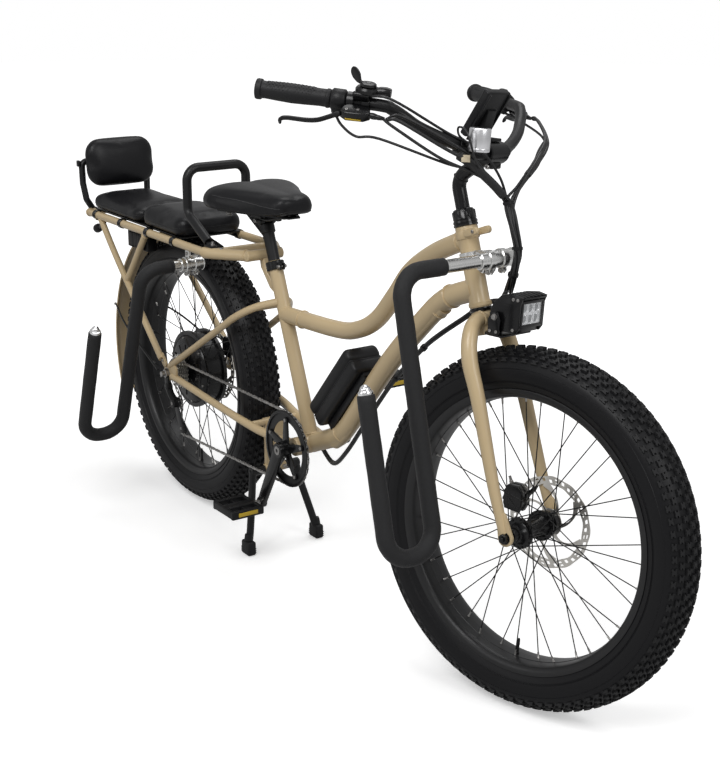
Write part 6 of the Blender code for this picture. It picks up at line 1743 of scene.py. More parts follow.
@dataclass
class Rear(Assembly):
    """Rack, mudguard, tail lamp, controller box, grab bar, backrest frame and the seat plate."""

    wide_r: float = 0.013
    strut_r: float = 0.0084
    plate_span: tuple[float, float] = (-1.688, -1.202)
    plate_top: float = 0.7052
    clamps_at: tuple[float, ...] = (-1.66, -1.509, -1.36, -1.221)
    loop_r: float = 0.0112
    back_x: float = -1.7345
    back_r: float = 0.0085
    guard_r: float = 0.3878
    guard_half: float = 0.056

    def build(self) -> None:
        """Makes and dresses the rack and what is fastened to it."""
        self.rack()
        self.plate()
        self.grab_bar()
        self.backrest_frame()
        self.boxes()
        self.mudguard()

    def rack(self) -> None:
        """Sweeps the rails, the wide tubes to the seat tube, the struts and the bars across."""
        hub = vec(-0.9515, 0, 0.7)
        parts = [rod("cross", hub - vec(0, 0.046, 0), hub + vec(0, 0.046, 0), 0.0125, edge=0.002, steps=32)]
        for side in SIDES:
            rail = [(RAIL_REAR_X, RAIL_Y*side, RAIL_Z), (RAIL_FRONT_X, RAIL_Y*side, RAIL_Z + 0.004)]
            wide = smooth([(RAIL_FRONT_X - 0.01, RAIL_Y*side, RAIL_Z + 0.004),
                (RAIL_FRONT_X + 0.015, 0.084*side, RAIL_Z + 0.005), (hub.x, 0.034*side, hub.z)], 6)
            foot = vec(-WHEELBASE - 0.018, 0.097*side, TYRE_R + 0.034)
            long_strut = smooth([(-1.645, RAIL_Y*side, RAIL_Z), (-1.54, 0.0905*side, 0.585), foot], 8)
            parts += [rod("rail", *rail, RAIL_R, edge=0.001, steps=28), tube("wide", wide, self.wide_r, 26),
                tube("long", long_strut, self.strut_r, 20),
                rod("short", (-1.372, RAIL_Y*side, RAIL_Z), (-1.492, 0.0905*side, 0.544), self.strut_r)]
            parts.append(prism("foot",
                stadium((-WHEELBASE - 0.006, TYRE_R + 0.026), (-WHEELBASE - 0.02, TYRE_R + 0.04), 0.01, 0.01), 0.0048,
                side_plane(0.0945*side), 0.0008))
            parts += [bead("weld", (RAIL_REAR_X + 0.0075, RAIL_Y*side, RAIL_Z), (1, 0, 0), 0.01, 0.0015),
                bead("weld", (RAIL_FRONT_X - 0.004, RAIL_Y*side, RAIL_Z + 0.004), (1, 0, 0), 0.0118, 0.0018),
                bead("weld", (-1.6515, 0.09*side, 0.6832), (0.1, 0, -0.1), self.strut_r, 0.0014),
                bead("weld", (-1.3795, 0.09*side, 0.6808), (-0.12, 0, -0.146), self.strut_r, 0.0014),
                bead("weld", (hub.x - 0.012, 0.04*side, hub.z), (1, -0.45*side, 0), self.wide_r, 0.0016)]
            parts.append(lathe("cap", hub + vec(0, 0.046*side, 0), (0, side, 0),
                [(-0.004, 0), (-0.004, 0.0128), (0.0008, 0.0126), (0.0022, 0.0105), (0.0024, 0)], 28))
        parts.append(rod("rear_bar", (RAIL_REAR_X, -RAIL_Y, RAIL_Z), (RAIL_REAR_X, RAIL_Y, RAIL_Z), self.strut_r))
        parts.append(rod("front_bar", (RAIL_FRONT_X, -0.085, RAIL_Z + 0.004), (RAIL_FRONT_X, 0.085, RAIL_Z + 0.004),
            self.strut_r))
        neck = [(-0.962, 0.7), (-0.945, 0.7), (-0.9285, 0.664), (-0.8975, 0.64), (-0.89, 0.618), (-0.915, 0.628),
            (-0.955, 0.67)]
        parts.append(prism("neck", neck, 0.014, side_plane(0), 0.003, 3))
        self.add(join("rack_tubes", parts), TAN, "rear_rack", angle=40)
        bolts = [bolt("screw", (-WHEELBASE - 0.012, 0.0969*s, TYRE_R + 0.032), (0, s, 0), 0.004, 0.003)
            for s in SIDES]
        bolts += [bolt("screw", (RAIL_FRONT_X + 0.04, 0.072*s, 0.7078), (0, 0, 1), 0.005, 0.0034) for s in SIDES]
        self.add(join("rack_bolts", bolts), CHAIN_STEEL)

    def plate(self) -> None:
        """Makes the seat plate and its eight strap clamps round the rails."""
        low, high = RAIL_Z + RAIL_R + 0.0003, self.plate_top
        x0, x1 = self.plate_span
        parts = [block("plate", (x1 - x0, 0.164, high - low), ((x0 + x1)/2, 0, (low + high)/2), edge=0.0012)]
        screws = []
        for x in self.clamps_at:
            z = RAIL_Z + 0.004*(x - RAIL_REAR_X)/(RAIL_FRONT_X - RAIL_REAR_X)
            for side in SIDES:
                parts.append(ring("clamp", (x - 0.0075, RAIL_Y*side, z), (x + 0.0075, RAIL_Y*side, z), 0.0124, 0.0103,
                    0.0008, 32))
                parts.append(block("tongue", (0.015, 0.021, 0.0032), (x, 0.079*side, z + 0.0112), edge=0.001))
                parts.append(block("ear", (0.015, 0.0085, 0.003), (x, (RAIL_Y - 0.0155)*side, z - 0.0016),
                    edge=0.001))
                screws.append(bolt("screw", (x, (RAIL_Y + 0.0118)*side, z), (0, side, 0), 0.003, 0.0018))
        self.add(join("seat_plate", parts), BLACK, "cushion_base")
        self.add(join("seat_plate_screws", screws), SATIN)

    def grab_bar(self) -> None:
        """Bends the grab bar and bolts its flattened feet to the rack."""
        x, y, top = -1.166, 0.08, 0.877
        path = rounded([(-1.066, -y, 0.718), (x, -y, 0.77), (x, -y, top), (x, y, top), (x, y, 0.77),
            (-1.066, y, 0.718)], 0.0305, 9)
        feet = [prism("foot", stadium((-1.068, y*s), (-1.048, y*s), 0.0105, 0.009), 0.005,
            Matrix.Translation((0, 0, 0.7105)), 0.0012) for s in SIDES]
        feet += [block("saddle", (0.028, 0.015, 0.01), (-1.061, y*s, 0.715), edge=0.003, segments=3) for s in SIDES]
        self.add(join("grab_bar_tube", [tube("loop", path, self.loop_r, 26), *feet]), SATIN, "grab_bar", angle=40)
        bolts = [nut("nut", (-1.048, y*s, 0.7128), (0, 0, 1), 0.0052, 0.005)
            for s in SIDES] + [bolt("stud", (-1.048, y*s, 0.7178), (0, 0, 1), 0.0028, 0.004) for s in SIDES]
        self.add(join("grab_bar_nuts", bolts), CHAIN_STEEL)

    def backrest_frame(self) -> None:
        """Bends the backrest's two tubes and adds the pads' tabs."""
        back = self.back_x
        parts = []
        for side in SIDES:
            leg = [(back, 0.02*side, 0.822), (back, 0.0945*side, 0.822), (back + 0.002, 0.0945*side, 0.765),
                (back + 0.01, 0.09*side, 0.722), (RAIL_REAR_X - 0.0122, 0.07*side, RAIL_Z)]
            parts.append(tube("leg", rounded(leg, 0.014, 6), self.back_r, 22))
            parts += [block("tab", (0.012, 0.008, 0.016), (back + 0.002, 0.1045*side, 0.818), edge=0.0015),
                block("tab", (0.01, 0.03, 0.02), (back + 0.011, 0.05*side, 0.822), edge=0.002),
                bead("weld", (RAIL_REAR_X - 0.01, 0.0715*side, 0.696), (0.2, 0.25*side, 1), 0.0086, 0.0013)]
        self.add(join("backrest_tubes", parts), SATIN, "backrest_frame", angle=40)
        self.add(join("backrest_screws", [bolt("screw", (back - 0.0085, 0.05*s, 0.822), (-1, 0, 0), 0.0042, 0.003)
            for s in SIDES]), CHAIN_STEEL)

    def boxes(self) -> None:
        """Makes the controller box with its socket, and the round tail lamp on its slanted arm."""
        at = vec(-1.447, -0.0645, 0.655)
        parts = [block("box", (0.08, 0.0295, 0.0415), at + vec(0.013, 0, 0), edge=0.005, segments=4),
            block("lid", (0.07, 0.0305, 0.03), at + vec(0.012, 0, 0), edge=0.003, segments=3)]
        parts += [block("wall", size, at + Vector(off), edge=0.0012)
            for size, off in (((0.03, 0.03, 0.005), (-0.039, 0, 0.018)), ((0.03, 0.03, 0.005), (-0.039, 0, -0.018)),
            ((0.03, 0.004, 0.04), (-0.039, 0.013, 0)), ((0.03, 0.004, 0.04), (-0.039, -0.013, 0)))]
        parts += [block("fin", (0.003, 0.0315, 0.036), at + vec(-0.014 + 0.01*i, 0, 0), edge=0.0008)
            for i in range(6)] + [block("tab", (0.02, 0.0115, 0.007), (-1.44, -0.0645, 0.679), edge=0.001)]
        plugs = [rod("plug", at + vec(-0.034, 0, z), at + vec(-0.05, 0, z), 0.0055, edge=0.001)
            for z in (-0.007, 0.007)]
        self.add(join("controller_case", parts + plugs), PLASTIC, "controller_box")
        start, end = vec(-1.669, -0.0735, 0.6665), vec(-1.722, -0.06, 0.642)
        side = vec(-0.94, 0.0, -0.34).normalized()
        lamp = [tube("arm", smooth([start, start.lerp(end, 0.5) + vec(0, 0, -0.002), end + vec(0.006, 0, 0.001)], 5),
            0.0044, 16), block("pad", (0.014, 0.014, 0.014), start + vec(0.006, 0.0005, 0.002), edge=0.0025)]
        lamp.append(lathe("cup", end - side*0.01, side, [(0, 0), (0, 0.007), (0.004, 0.0105), (0.01, 0.012),
            (0.019, 0.0122), (0.0215, 0.0116), (0.0215, 0.0102), (0.019, 0.01), (0.019, 0)], 36))
        self.add(join("tail_lamp_cup", lamp), PLASTIC, "tail_light")
        rings = [(0, 0), (0, 0.0098), (0.0014, 0.0096), (0.0022, 0.008), (0.0017, 0.007), (0.003, 0.0055),
            (0.0024, 0.0042), (0.0036, 0.002), (0.0037, 0)]
        self.add(lathe("tail_lamp_lens", end - side*0.01 + side*0.0188, side, rings, 32), RED)

    def mudguard(self) -> None:
        """Bends the mudguard strip with a rolled edge and a middle rib, on two wire stays."""
        outer, half = self.guard_r, self.guard_half
        section = [(-half, -0.0165), (-half + 0.0006, -0.015), (-half*0.8, -0.006), (-half*0.6, -0.0004),
            (-0.01, -0.0004), (-0.007, 0.0), (0.007, 0.0), (0.01, -0.0004), (half*0.6, -0.0004), (half*0.8, -0.006),
            (half - 0.0006, -0.015), (half, -0.0165)]
        ring_line = section + [(y*0.965, r - 0.0022) for y, r in reversed(section)]
        rings = []
        for i in range(31):
            a = math.radians(90 + 37 + 75*i/30)
            rings.append([(REAR_AXLE.x + (outer + r)*math.cos(a), y, REAR_AXLE.z + (outer + r)*math.sin(a))
                for y, r in ring_line])
        self.add(loft("mudguard_strip", rings), TAN, "rear_fender", angle=50)
        stays, ends = [], []
        for side in SIDES:
            a = math.radians(165)
            rim_point = vec(REAR_AXLE.x + 0.38*math.cos(a), half*side*0.97, REAR_AXLE.z + 0.38*math.sin(a))
            near = vec(REAR_AXLE.x - 0.027, 0.1045*side, REAR_AXLE.z + 0.004)
            stays.append(tube("stay", smooth([rim_point, (-1.52, 0.085*side, 0.415), near], 8), 0.0026, 10, ends=0.4))
            ends.append(bolt("screw", rim_point + vec(-0.001, 0.001*side, 0), (-0.2, side, 0.3), 0.0036, 0.0026))
        self.add(join("mudguard_stays", stays), SATIN)
        self.add(join("mudguard_screws", ends), CHAIN_STEEL)


# Seats

@dataclass(frozen=True)
class Pad:
    """A cushion's name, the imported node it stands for, its sizes, its place and how far it swells."""

    name: str
    stands_for: str
    size: tuple[float, float]
    thick: float
    place: Matrix
    crown: float = 0.006
    swell: float = 0.0035
    fill: float = 0.85


CLOTH_FRAMES = 20
HELD_DEPTH = 0.004
STITCH_STEP, STITCH_LIFT = 0.0042, 0.0035
CLOTH = {"vertex_group_mass": "held", "use_pressure": True, "uniform_pressure_force": 4.0, "tension_stiffness": 25.0,
    "compression_stiffness": 25.0, "bending_stiffness": 2.0, "quality": 6}


def swollen(item: Object, limit: float, voxel: float = 0.0045) -> Object:
    """Inflates a closed form as cloth under pressure, capped, and smooths it.

    Args:
        item: The form to swell, which is removed.
        limit: The furthest that a point may move.
        voxel: Size of the even mesh that the cloth is made of.

    Returns:
        The swollen form, with no modifier left on it.
    """
    step = item.modifiers.new("even", "REMESH")
    step.mode = "VOXEL"
    step.voxel_size = voxel
    baked(item)
    rest = [v.co.copy() for v in item.data.vertices]
    low = min(p.z for p in rest)
    group = item.vertex_groups.new(name="held")
    for i, p in enumerate(rest):
        group.add([i], 1.0 if p.z < low + HELD_DEPTH else 0.0, "REPLACE")
    cloth = item.modifiers.new("skin", "CLOTH")
    for key, value in CLOTH.items():
        setattr(cloth.settings, key, value)
    cloth.settings.effector_weights.gravity = 0.0
    cloth.point_cache.frame_start, cloth.point_cache.frame_end = 1, CLOTH_FRAMES
    for frame in range(1, CLOTH_FRAMES + 1):
        bpy.context.scene.frame_set(frame)
    moved = item.evaluated_get(bpy.context.evaluated_depsgraph_get()).data
    points = [v.co.copy() for v in moved.vertices]
    item.modifiers.clear()
    for vertex, start, end in zip(item.data.vertices, rest, points):
        shift = end - start
        vertex.co = start + (shift if shift.length <= limit else shift.normalized()*limit)
    bpy.context.scene.frame_set(1)
    calm = item.modifiers.new("calm", "SMOOTH")
    calm.iterations = 9
    baked(item)
    return subdivided(item, 1)


def seam_on(item: Object, line: Path, radius: float, thread: bool = True) -> tuple[Object, Object | None]:
    """Lays a piping cord on the surface along a closed line, and stitches beside it.

    Args:
        item: The padded form.
        line: The closed line, near its surface.
        radius: The cord's radius.
        thread: Whether stitches run beside it.

    Returns:
        The cord, and the stitches if there are any.
    """
    tree = BVHTree.FromObject(item, bpy.context.evaluated_depsgraph_get())
    path = [tree.find_nearest(Vector(p))[0] for p in line]
    for _ in range(2):
        path = [(path[i - 1] + path[i]*2 + path[(i + 1) % len(path)])/4 for i in range(len(path))]
    piping = tube("piping", path, radius, 10, closed=True)
    stitches = None
    if thread:
        mark = block("stitch", (0.0026, 0.0009, 0.0009), (0, 0, 0), edge=0.0003, segments=1)
        above = [tree.find_nearest(p + vec(0, 0, STITCH_LIFT))[0] for p in path]
        stitches = along_path("stitches", above, mark, int(length_of(path)/STITCH_STEP), THREAD, (0, 0, 1))
    return piping, stitches


def plan(half_x: float, half_y: float, corner: float, pull: float, steps: int = 8) -> list[tuple[float, float]]:
    """Gives a round-cornered rectangle whose sides are drawn in at the middle.

    Args:
        half_x: Half the length.
        half_y: Half the width.
        corner: The corners' radius.
        pull: How far each side is drawn in.
        steps: Stretches in each corner.

    Returns:
        The outline's points.
    """
    points = []
    for cx, cy, first in ((1, 1, 0.0), (-1, 1, math.pi/2), (-1, -1, math.pi), (1, -1, math.pi*1.5)):
        points += [(cx*(half_x - corner) + corner*math.cos(first + math.pi/2*i/steps), cy*(half_y - corner)
            + corner*math.sin(first + math.pi/2*i/steps)) for i in range(steps + 1)]
        ex, ey = {(1, 1): (0, 1), (-1, 1): (-1, 0), (-1, -1): (0, -1), (1, -1): (1, 0)}[(cx, cy)]
        for t in (0.7, 0.35, 0.0, -0.35, -0.7):
            if ex == 0:
                points.append((t*(half_x - corner)*cx, ey*(half_y - pull*(1 - t*t))))
            else:
                points.append((ex*(half_x - pull*(1 - t*t)), t*(half_y - corner)*cy))
    return points


@dataclass
class Seats(Assembly):
    """Passenger cushions, backrest pad, and the saddle on its post."""

    cushion_width: float = 0.184
    cushion_z: float = 0.7055
    rear_span: tuple[float, float] = (-1.7, -1.418)
    front_span: tuple[float, float] = (-1.41, -1.19)
    back_size: tuple[float, float] = (0.13, 0.196)
    back_lean: float = math.radians(82)
    saddle_nose: float = -0.8
    saddle_length: float = 0.247
    saddle_base: float = 0.8
    post_r: float = 0.0136
    rail_r: float = 0.0035

    def build(self) -> None:
        """Makes and dresses every padded piece and the saddle's carriage."""
        for name, stands_for, span, thick in (("rear_seat_pad", "rear_cushion", self.rear_span, 0.04),
                ("front_seat_pad", "front_cushion", self.front_span, 0.05)):
            place = Matrix.Translation(((span[0] + span[1])/2, 0, self.cushion_z))
            self.pad(Pad(name, stands_for, (span[1] - span[0], self.cushion_width), thick, place))
        lean = Matrix.Rotation(self.back_lean, 4, "Y")
        self.pad(Pad("backrest_cushion", "backrest_pad", self.back_size, 0.04,
            Matrix.Translation((-1.7165, 0, 0.819)) @ lean, 0.003, 0.003, 0.9))
        self.saddle()
        self.carriage()

    def pad(self, pad: Pad) -> None:
        """Lofts a cushion, swells it as cloth and sews its side seam.

        Args:
            pad: The cushion's sizes.
        """
        inset = 0.0022
        hx, hy = pad.size[0]/2 - inset, pad.size[1]/2 - inset
        upright = pad.stands_for == "backrest_pad"
        corner = 0.04 if upright else 0.03
        # Share of the height, distance in from the outline, share of the pull
        levels = [(0.0, 0.02, 0), (0.02, 0.006, 0), (0.16, 0.0015, 0.2), (0.45, 0.0, 0.6), (0.7, 0.0012, 0.9),
            (0.86, 0.006, 1.0), (0.96, 0.014, 1.0), (1.0, 0.024, 1.0),
            (1.0 + 0.6*pad.crown/pad.thick, 0.45*min(hx, hy), 0.5),
            (1.0 + pad.crown/pad.thick, 0.76*min(hx, hy), 0.0)]
        rings = [[(x, y, max(0.0006, z*pad.thick - inset*(z > 0.5)))
            for x, y in plan(hx - d, hy - d, max(corner - d*0.7, 0.008), 0.0014*t)] for z, d, t in levels]
        skin = swollen(loft(pad.name, rings), pad.swell)
        line = [(x, y, pad.thick*0.34) for x, y in plan(hx + 0.002, hy + 0.002, corner, 0.002)]
        piping, stitches = seam_on(skin, line, 0.0011)
        for item, label in ((skin, ""), (piping, "_piping"), (stitches, "_stitches")):
            item.name = pad.name + label
            item.data.transform(pad.place)
        self.add(skin, VINYL, pad.stands_for, angle=60)
        self.add(piping, VINYL)
        self.add(stitches, THREAD)

    def saddle(self) -> None:
        """Lofts the wide saddle, swells it, and sews the lines that part its top from its skirt."""
        nose, length = self.saddle_nose, self.saddle_length
        # Share of the length, half width, underside and top
        stations = [(0.0, 0.024, 0.019, 0.038), (0.008, 0.034, 0.0155, 0.0455), (0.03, 0.044, 0.0125, 0.0512),
            (0.08, 0.053, 0.0105, 0.0543), (0.18, 0.0625, 0.0095, 0.0556), (0.3, 0.073, 0.009, 0.0565),
            (0.44, 0.088, 0.0085, 0.0574), (0.58, 0.1045, 0.008, 0.0588), (0.7, 0.118, 0.0075, 0.06),
            (0.8, 0.124, 0.007, 0.0607), (0.9, 0.1215, 0.008, 0.0602), (0.96, 0.109, 0.01, 0.056),
            (0.99, 0.092, 0.014, 0.048), (1.0, 0.07, 0.02, 0.038)]
        rings = []
        for share, half, low, high in stations:
            x = nose - 0.002 - share*(length - 0.004)
            deep = high - low
            section = [(-0.55, low + 0.001), (-0.84, low + deep*0.03), (-0.965, low + deep*0.16),
                (-0.985, low + deep*0.4), (-0.945, low + deep*0.66), (-0.84, low + deep*0.85),
                (-0.66, low + deep*0.945), (-0.4, low + deep*0.985), (-0.16, low + deep*0.985), (0, low + deep*0.965)]
            section += [(-u, z) for u, z in reversed(section[:-1])]
            rings.append([(x, u*half, z) for u, z in section])
        skin = swollen(loft("saddle_cover", rings), 0.003)
        tree = BVHTree.FromObject(skin, bpy.context.evaluated_depsgraph_get())
        seams = []
        for side in SIDES:
            line = [(-0.985, 0.118, 0.048), (-0.95, 0.114, 0.05), (-0.915, 0.098, 0.046), (-0.88, 0.086, 0.04),
                (-0.85, 0.074, 0.034), (-0.82, 0.062, 0.031), (-0.806, 0.044, 0.03)]
            path = [tree.find_nearest(vec(x, y*side, z))[0] for x, y, z in smooth(line, 8)]
            seams.append(tube("seam", path, 0.0007, 8, ends=0.5))
        seam = join("saddle_seams", seams)
        rim = [(nose + 0.001 - share*length, half*0.93*side, low + 0.004)
            for side, order in ((1, stations), (-1, stations[::-1])) for share, half, low, _ in order]
        hem, _ = seam_on(skin, smooth(rim, 3), 0.0016, thread=False)
        hem.name = "saddle_hem"
        for item in (skin, seam, hem):
            item.data.transform(Matrix.Translation((0, 0, self.saddle_base)))
        self.add(skin, VINYL, "saddle_pad", body="seat", angle=60)
        self.add(seam, THREAD, body="seat")
        self.add(hem, PLASTIC, body="seat")

    def carriage(self) -> None:
        """Makes the post, the two-part clamp, the bent rails and the pan."""
        top = SEAT_TOP + SEAT_AXIS*0.088
        post = rod("post_tube", SEAT_TOP - SEAT_AXIS*0.14, top - SEAT_AXIS*0.001, self.post_r, steps=36)
        self.add(post, SATIN, "seat_post", body="seat")
        clamp = [lathe("clamp", (top.x, -0.0215, 0.785), (0, 1, 0),
            [(0, 0), (0, 0.01), (0.002, 0.0118), (0.041, 0.0118), (0.043, 0.01), (0.043, 0)], 36),
            rod("neck", top - SEAT_AXIS*0.024, top - SEAT_AXIS*0.002, 0.0172, edge=0.002, steps=36)]
        clamp += [block("jaw", (0.044, 0.0125, 0.008), (top.x, 0.0225*s, 0.785 + z), edge=0.0022, segments=3)
            for s in SIDES for z in (-0.0012, 0.009)]
        rails = [tube("rail", smooth([(-0.822, 0.01*s, 0.812), (-0.848, 0.012*s, 0.8045), (-0.872, 0.019*s, 0.797),
            (-0.902, 0.022*s, 0.79), (-0.965, 0.023*s, 0.79), (-0.998, 0.03*s, 0.8035), (-1.01, 0.033*s, 0.81)], 6),
            self.rail_r, 16) for s in SIDES]
        pan = [loft("pan", [[(x, u*h, 0.8068 - 0.0032*k) for x, u, h in ((-0.815, -0.5, 0.03), (-0.85, -1, 0.03),
            (-0.93, -1, 0.066), (-1.0, -1, 0.092), (-1.03, -0.8, 0.085), (-1.03, 0.8, 0.085), (-1.0, 1, 0.092),
            (-0.93, 1, 0.066), (-0.85, 1, 0.03), (-0.815, 0.5, 0.03))] for k in (0, 1)])]
        self.add(join("saddle_carriage", clamp + pan), SATIN, "saddle_frame", body="seat", angle=36)
        self.add(join("saddle_rails", rails), BLACK, body="seat")
        screws = [bolt("screw", (top.x, 0.029*s, 0.784), (0, s, 0), 0.0048, 0.003) for s in SIDES]
        springs = [tube("spring",
            [vec(-1.006, 0.058*s, 0.8015) + vec(0.0062*math.cos(t), 0.0062*math.sin(t), -0.0006*t)
            for t in (i*0.42 for i in range(52))], 0.0012, 8) for s in SIDES]
        self.add(join("saddle_clamp_bolts", screws + springs), CHAIN_STEEL, body="seat")


# Drive

GUIDE_PULLEY, TENSION_PULLEY = (-WHEELBASE + 0.012, TYRE_R - 0.078), (-WHEELBASE + 0.036, TYRE_R - 0.14)


def belt(wheels: Sequence[tuple[float, float, float, int]], steps: int = 10) -> list[tuple[float, float]]:
    """Gives the closed line of a chain round wheels of (x, z, radius, way it wraps).

    Args:
        wheels: The wheels in order.
        steps: Points for each 1.2 radians of a wheel.

    Returns:
        The line's points.
    """
    lines = []
    for (x1, z1, r1, s1), (x2, z2, r2, s2) in zip(wheels, wheels[1:] + wheels[:1]):
        d = vec(x2 - x1, z2 - z1)
        u = d.normalized()
        k = (r1*s1 - r2*s2)/d.length
        n = u*k + vec(u.y, -u.x)*math.sqrt(1 - k*k)
        lines.append((vec(x1, z1) + n*r1*s1, vec(x2, z2) + n*r2*s2))
    path = []
    for i, (x, z, r, s) in enumerate(wheels):
        c = vec(x, z)
        a, b = (math.atan2(*(p - c).yx) for p in (lines[i - 1][1], lines[i][0]))
        sweep = (b - a) % math.tau if s > 0 else -((a - b) % math.tau)
        count = max(2, round(steps*abs(sweep)/1.2))
        path += [(x + r*math.cos(a + sweep*j/count), z + r*math.sin(a + sweep*j/count)) for j in range(count + 1)]
    return path


def sprocket(name: str, radius: float, teeth: int, bore: float, thick: float, finish: Finish) -> Object:
    """Makes a toothed disc about the origin: one wedge with its tooth, repeated round the Y axis.

    Args:
        name: The new object's name.
        radius: The radius over its teeth.
        teeth: How many.
        bore: The hole's radius.
        thick: The thickness.
        finish: Its finish.

    Returns:
        The sprocket.
    """
    step = math.tau/teeth
    root = radius - 0.0042
    outline = [(bore, -step/2), (root, -step/2), (root, -step*0.26), (radius, -step*0.1), (radius, step*0.1),
        (root, step*0.26), (root, step/2), (bore, step/2)]
    wedge = prism(name, [(r*math.cos(a), r*math.sin(a)) for r, a in outline], thick, side_plane(0), 0)
    made = round_axle(wedge, teeth, finish)
    made.name = name
    return made


def round_the(centre: Vector, radius: float, count: int, first: float, y: float) -> list[Vector]:
    """Gives even points on an upright circle, at this distance across the bicycle.

    Args:
        centre: The circle's centre.
        radius: Its radius.
        count: How many points.
        first: The first one's angle.
        y: Their distance to the left.

    Returns:
        The points.
    """
    return [vec(centre.x + radius*math.cos(t + first), y, centre.z + radius*math.sin(t + first))
        for t in angles(count)]


def moved(item: Object, at: Point) -> Object:
    """Shifts a mesh and returns its object."""
    item.data.transform(Matrix.Translation(Vector(at)))
    return item


@dataclass
class Drive(Assembly):
    """Cranks, chainring, chain, cassette, derailleur and pedals."""

    ring_r: float = 0.0885
    ring_teeth: int = 44
    spider_r: float = 0.068
    spider_first: float = 0.3
    arm_y: float = 0.089
    eye_y: tuple[float, float] = (0.082, 0.0962)
    pedal_y: float = 0.152
    pulley_r: float = 0.015
    pulley_teeth: int = 11
    # Radius and teeth of each, from the outermost
    cogs: tuple[tuple[float, int], ...] = ((0.0236, 12), (0.0276, 14), (0.0318, 16), (0.0356, 18), (0.038, 20),
        (0.041, 22), (0.0438, 24))
    cog_first_y: float = -0.0752
    cog_step: float = 0.0034
    link_pair: float = 0.0254

    def build(self) -> None:
        """Makes and dresses the moving drive."""
        bb, y = BOTTOM_BRACKET, CHAIN_Y
        ring_item = moved(sprocket("chainring", self.ring_r, self.ring_teeth, 0.064, 0.0026, BLACK),
            bb + vec(0, y, 0))
        tips = round_the(bb, self.spider_r, 5, self.spider_first, y - 0.0066)
        spider = [prism("arm", stadium((bb.x, bb.z), (p.x, p.z), 0.0125, 0.0068), 0.0058, side_plane(y - 0.0036),
            0.0014) for p in tips]
        guard = lathe("guard", bb + vec(0, y - 0.0042, 0), (0, 1, 0),
            [(0, 0.082), (0, 0.0875), (0.0008, self.ring_r), (0.0022, self.ring_r), (0.0024, 0.082)], 72)
        boss = lathe("boss", bb + vec(0, y, 0), (0, -1, 0), [(0, 0), (0, 0.019), (0.012, 0.019), (0.024, 0.0175),
            (0.0275, 0.0165), (0.0275, 0)], 36)
        for name, side, at in (("right", -1, PEDAL_AXLE), ("left", 1, bb*2 - PEDAL_AXLE)):
            arm = prism("arm", stadium((bb.x, bb.z), (at.x, at.z), 0.0172, 0.0125), 0.0128,
                side_plane(self.arm_y*side), 0.004, 3)
            extra = [*spider, guard, boss] if side < 0 else [rod("spindle", bb + vec(0, -0.0938, 0),
                bb + vec(0, 0.088, 0), 0.0084)]
            extra.append(rod("eye", *(at + vec(0, y_eye*side, 0) for y_eye in self.eye_y), 0.013, edge=0.0012,
                steps=32))
            self.add(join(f"{name}_crank_arm", [arm, *extra]), BLACK, f"{name}_crank", body="crank", angle=40)
            cap = lathe(f"{name}_crank_cap", bb + vec(0, 0.0953*side, 0), (0, side, 0),
                [(-0.002, 0), (-0.002, 0.011), (0.001, 0.0105), (0.001, 0.005), (-0.001, 0.0046), (-0.001, 0)], 8)
            self.add(cap, CHAIN_STEEL, body="crank")
            self.pedal(name, side, at)
        self.add(ring_item, SATIN, body="crank")
        self.add(join("chainring_bolts", [bolt("screw", p, (0, -1, 0), 0.004, 0.0016) for p in tips]), CHAIN_STEEL,
            body="crank")
        self.chain()
        self.cassette()
        self.derailleur()

    def chain(self) -> None:
        """Sets inner and outer links and their pins along the chain's line."""
        wheels = [(BOTTOM_BRACKET.x, BOTTOM_BRACKET.z, 0.0862, -1), (*TENSION_PULLEY, 0.0178, -1),
            (*GUIDE_PULLEY, 0.0178, 1), (-WHEELBASE, TYRE_R, 0.0323, -1)]
        line = [vec(x, CHAIN_Y, z) for x, z in belt(wheels, 14)]
        length = length_of(line)
        count = 2*round(length/self.link_pair)
        pitch = length/count
        rows = []
        for inner, gap in ((True, 0.00145), (False, 0.0024)):
            links = [prism("link", [(pitch*u, v) for u, v in ((-0.5, -0.0026), (-0.72, 0), (-0.5, 0.0026), (0, 0.002),
                (0.5, 0.0026), (0.72, 0), (0.5, -0.0026), (0, -0.002))], 0.0008,
                Matrix.Translation((0, gap*s, 0)) @ Matrix.Rotation(math.pi/2, 4, "X"), 0.0002, 1) for s in SIDES]
            if inner:
                links += [lathe("roller", (pitch*s/2, -0.0011, 0), (0, 1, 0),
                    [(0, 0), (0, 0.0022), (0.0022, 0.0022), (0.0022, 0)], 9) for s in SIDES]
            else:
                links += [lathe("pin", (pitch*s/2, -0.0031, 0), (0, 1, 0),
                    [(0, 0), (0, 0.0011), (0.0062, 0.0011), (0.0062, 0)], 7) for s in SIDES]
            shifted = line if inner else self.shifted(line, pitch)
            rows.append(along_path("links", shifted, join("link", links), count//2, CHAIN_STEEL))
        self.add(join("chain_links", rows), CHAIN_STEEL, "chain")

    def shifted(self, line: list[Vector], amount: float) -> list[Vector]:
        """Starts a closed line this much further along itself.

        Args:
            line: The closed line.
            amount: How far to go along it.

        Returns:
            The same line from its new start.
        """
        rest = amount
        for i, (a, b) in enumerate(zip(line, line[1:])):
            step = (b - a).length
            if rest <= step:
                return [a.lerp(b, rest/step)] + line[i + 1:] + line[:i + 1]
            rest -= step
        return line

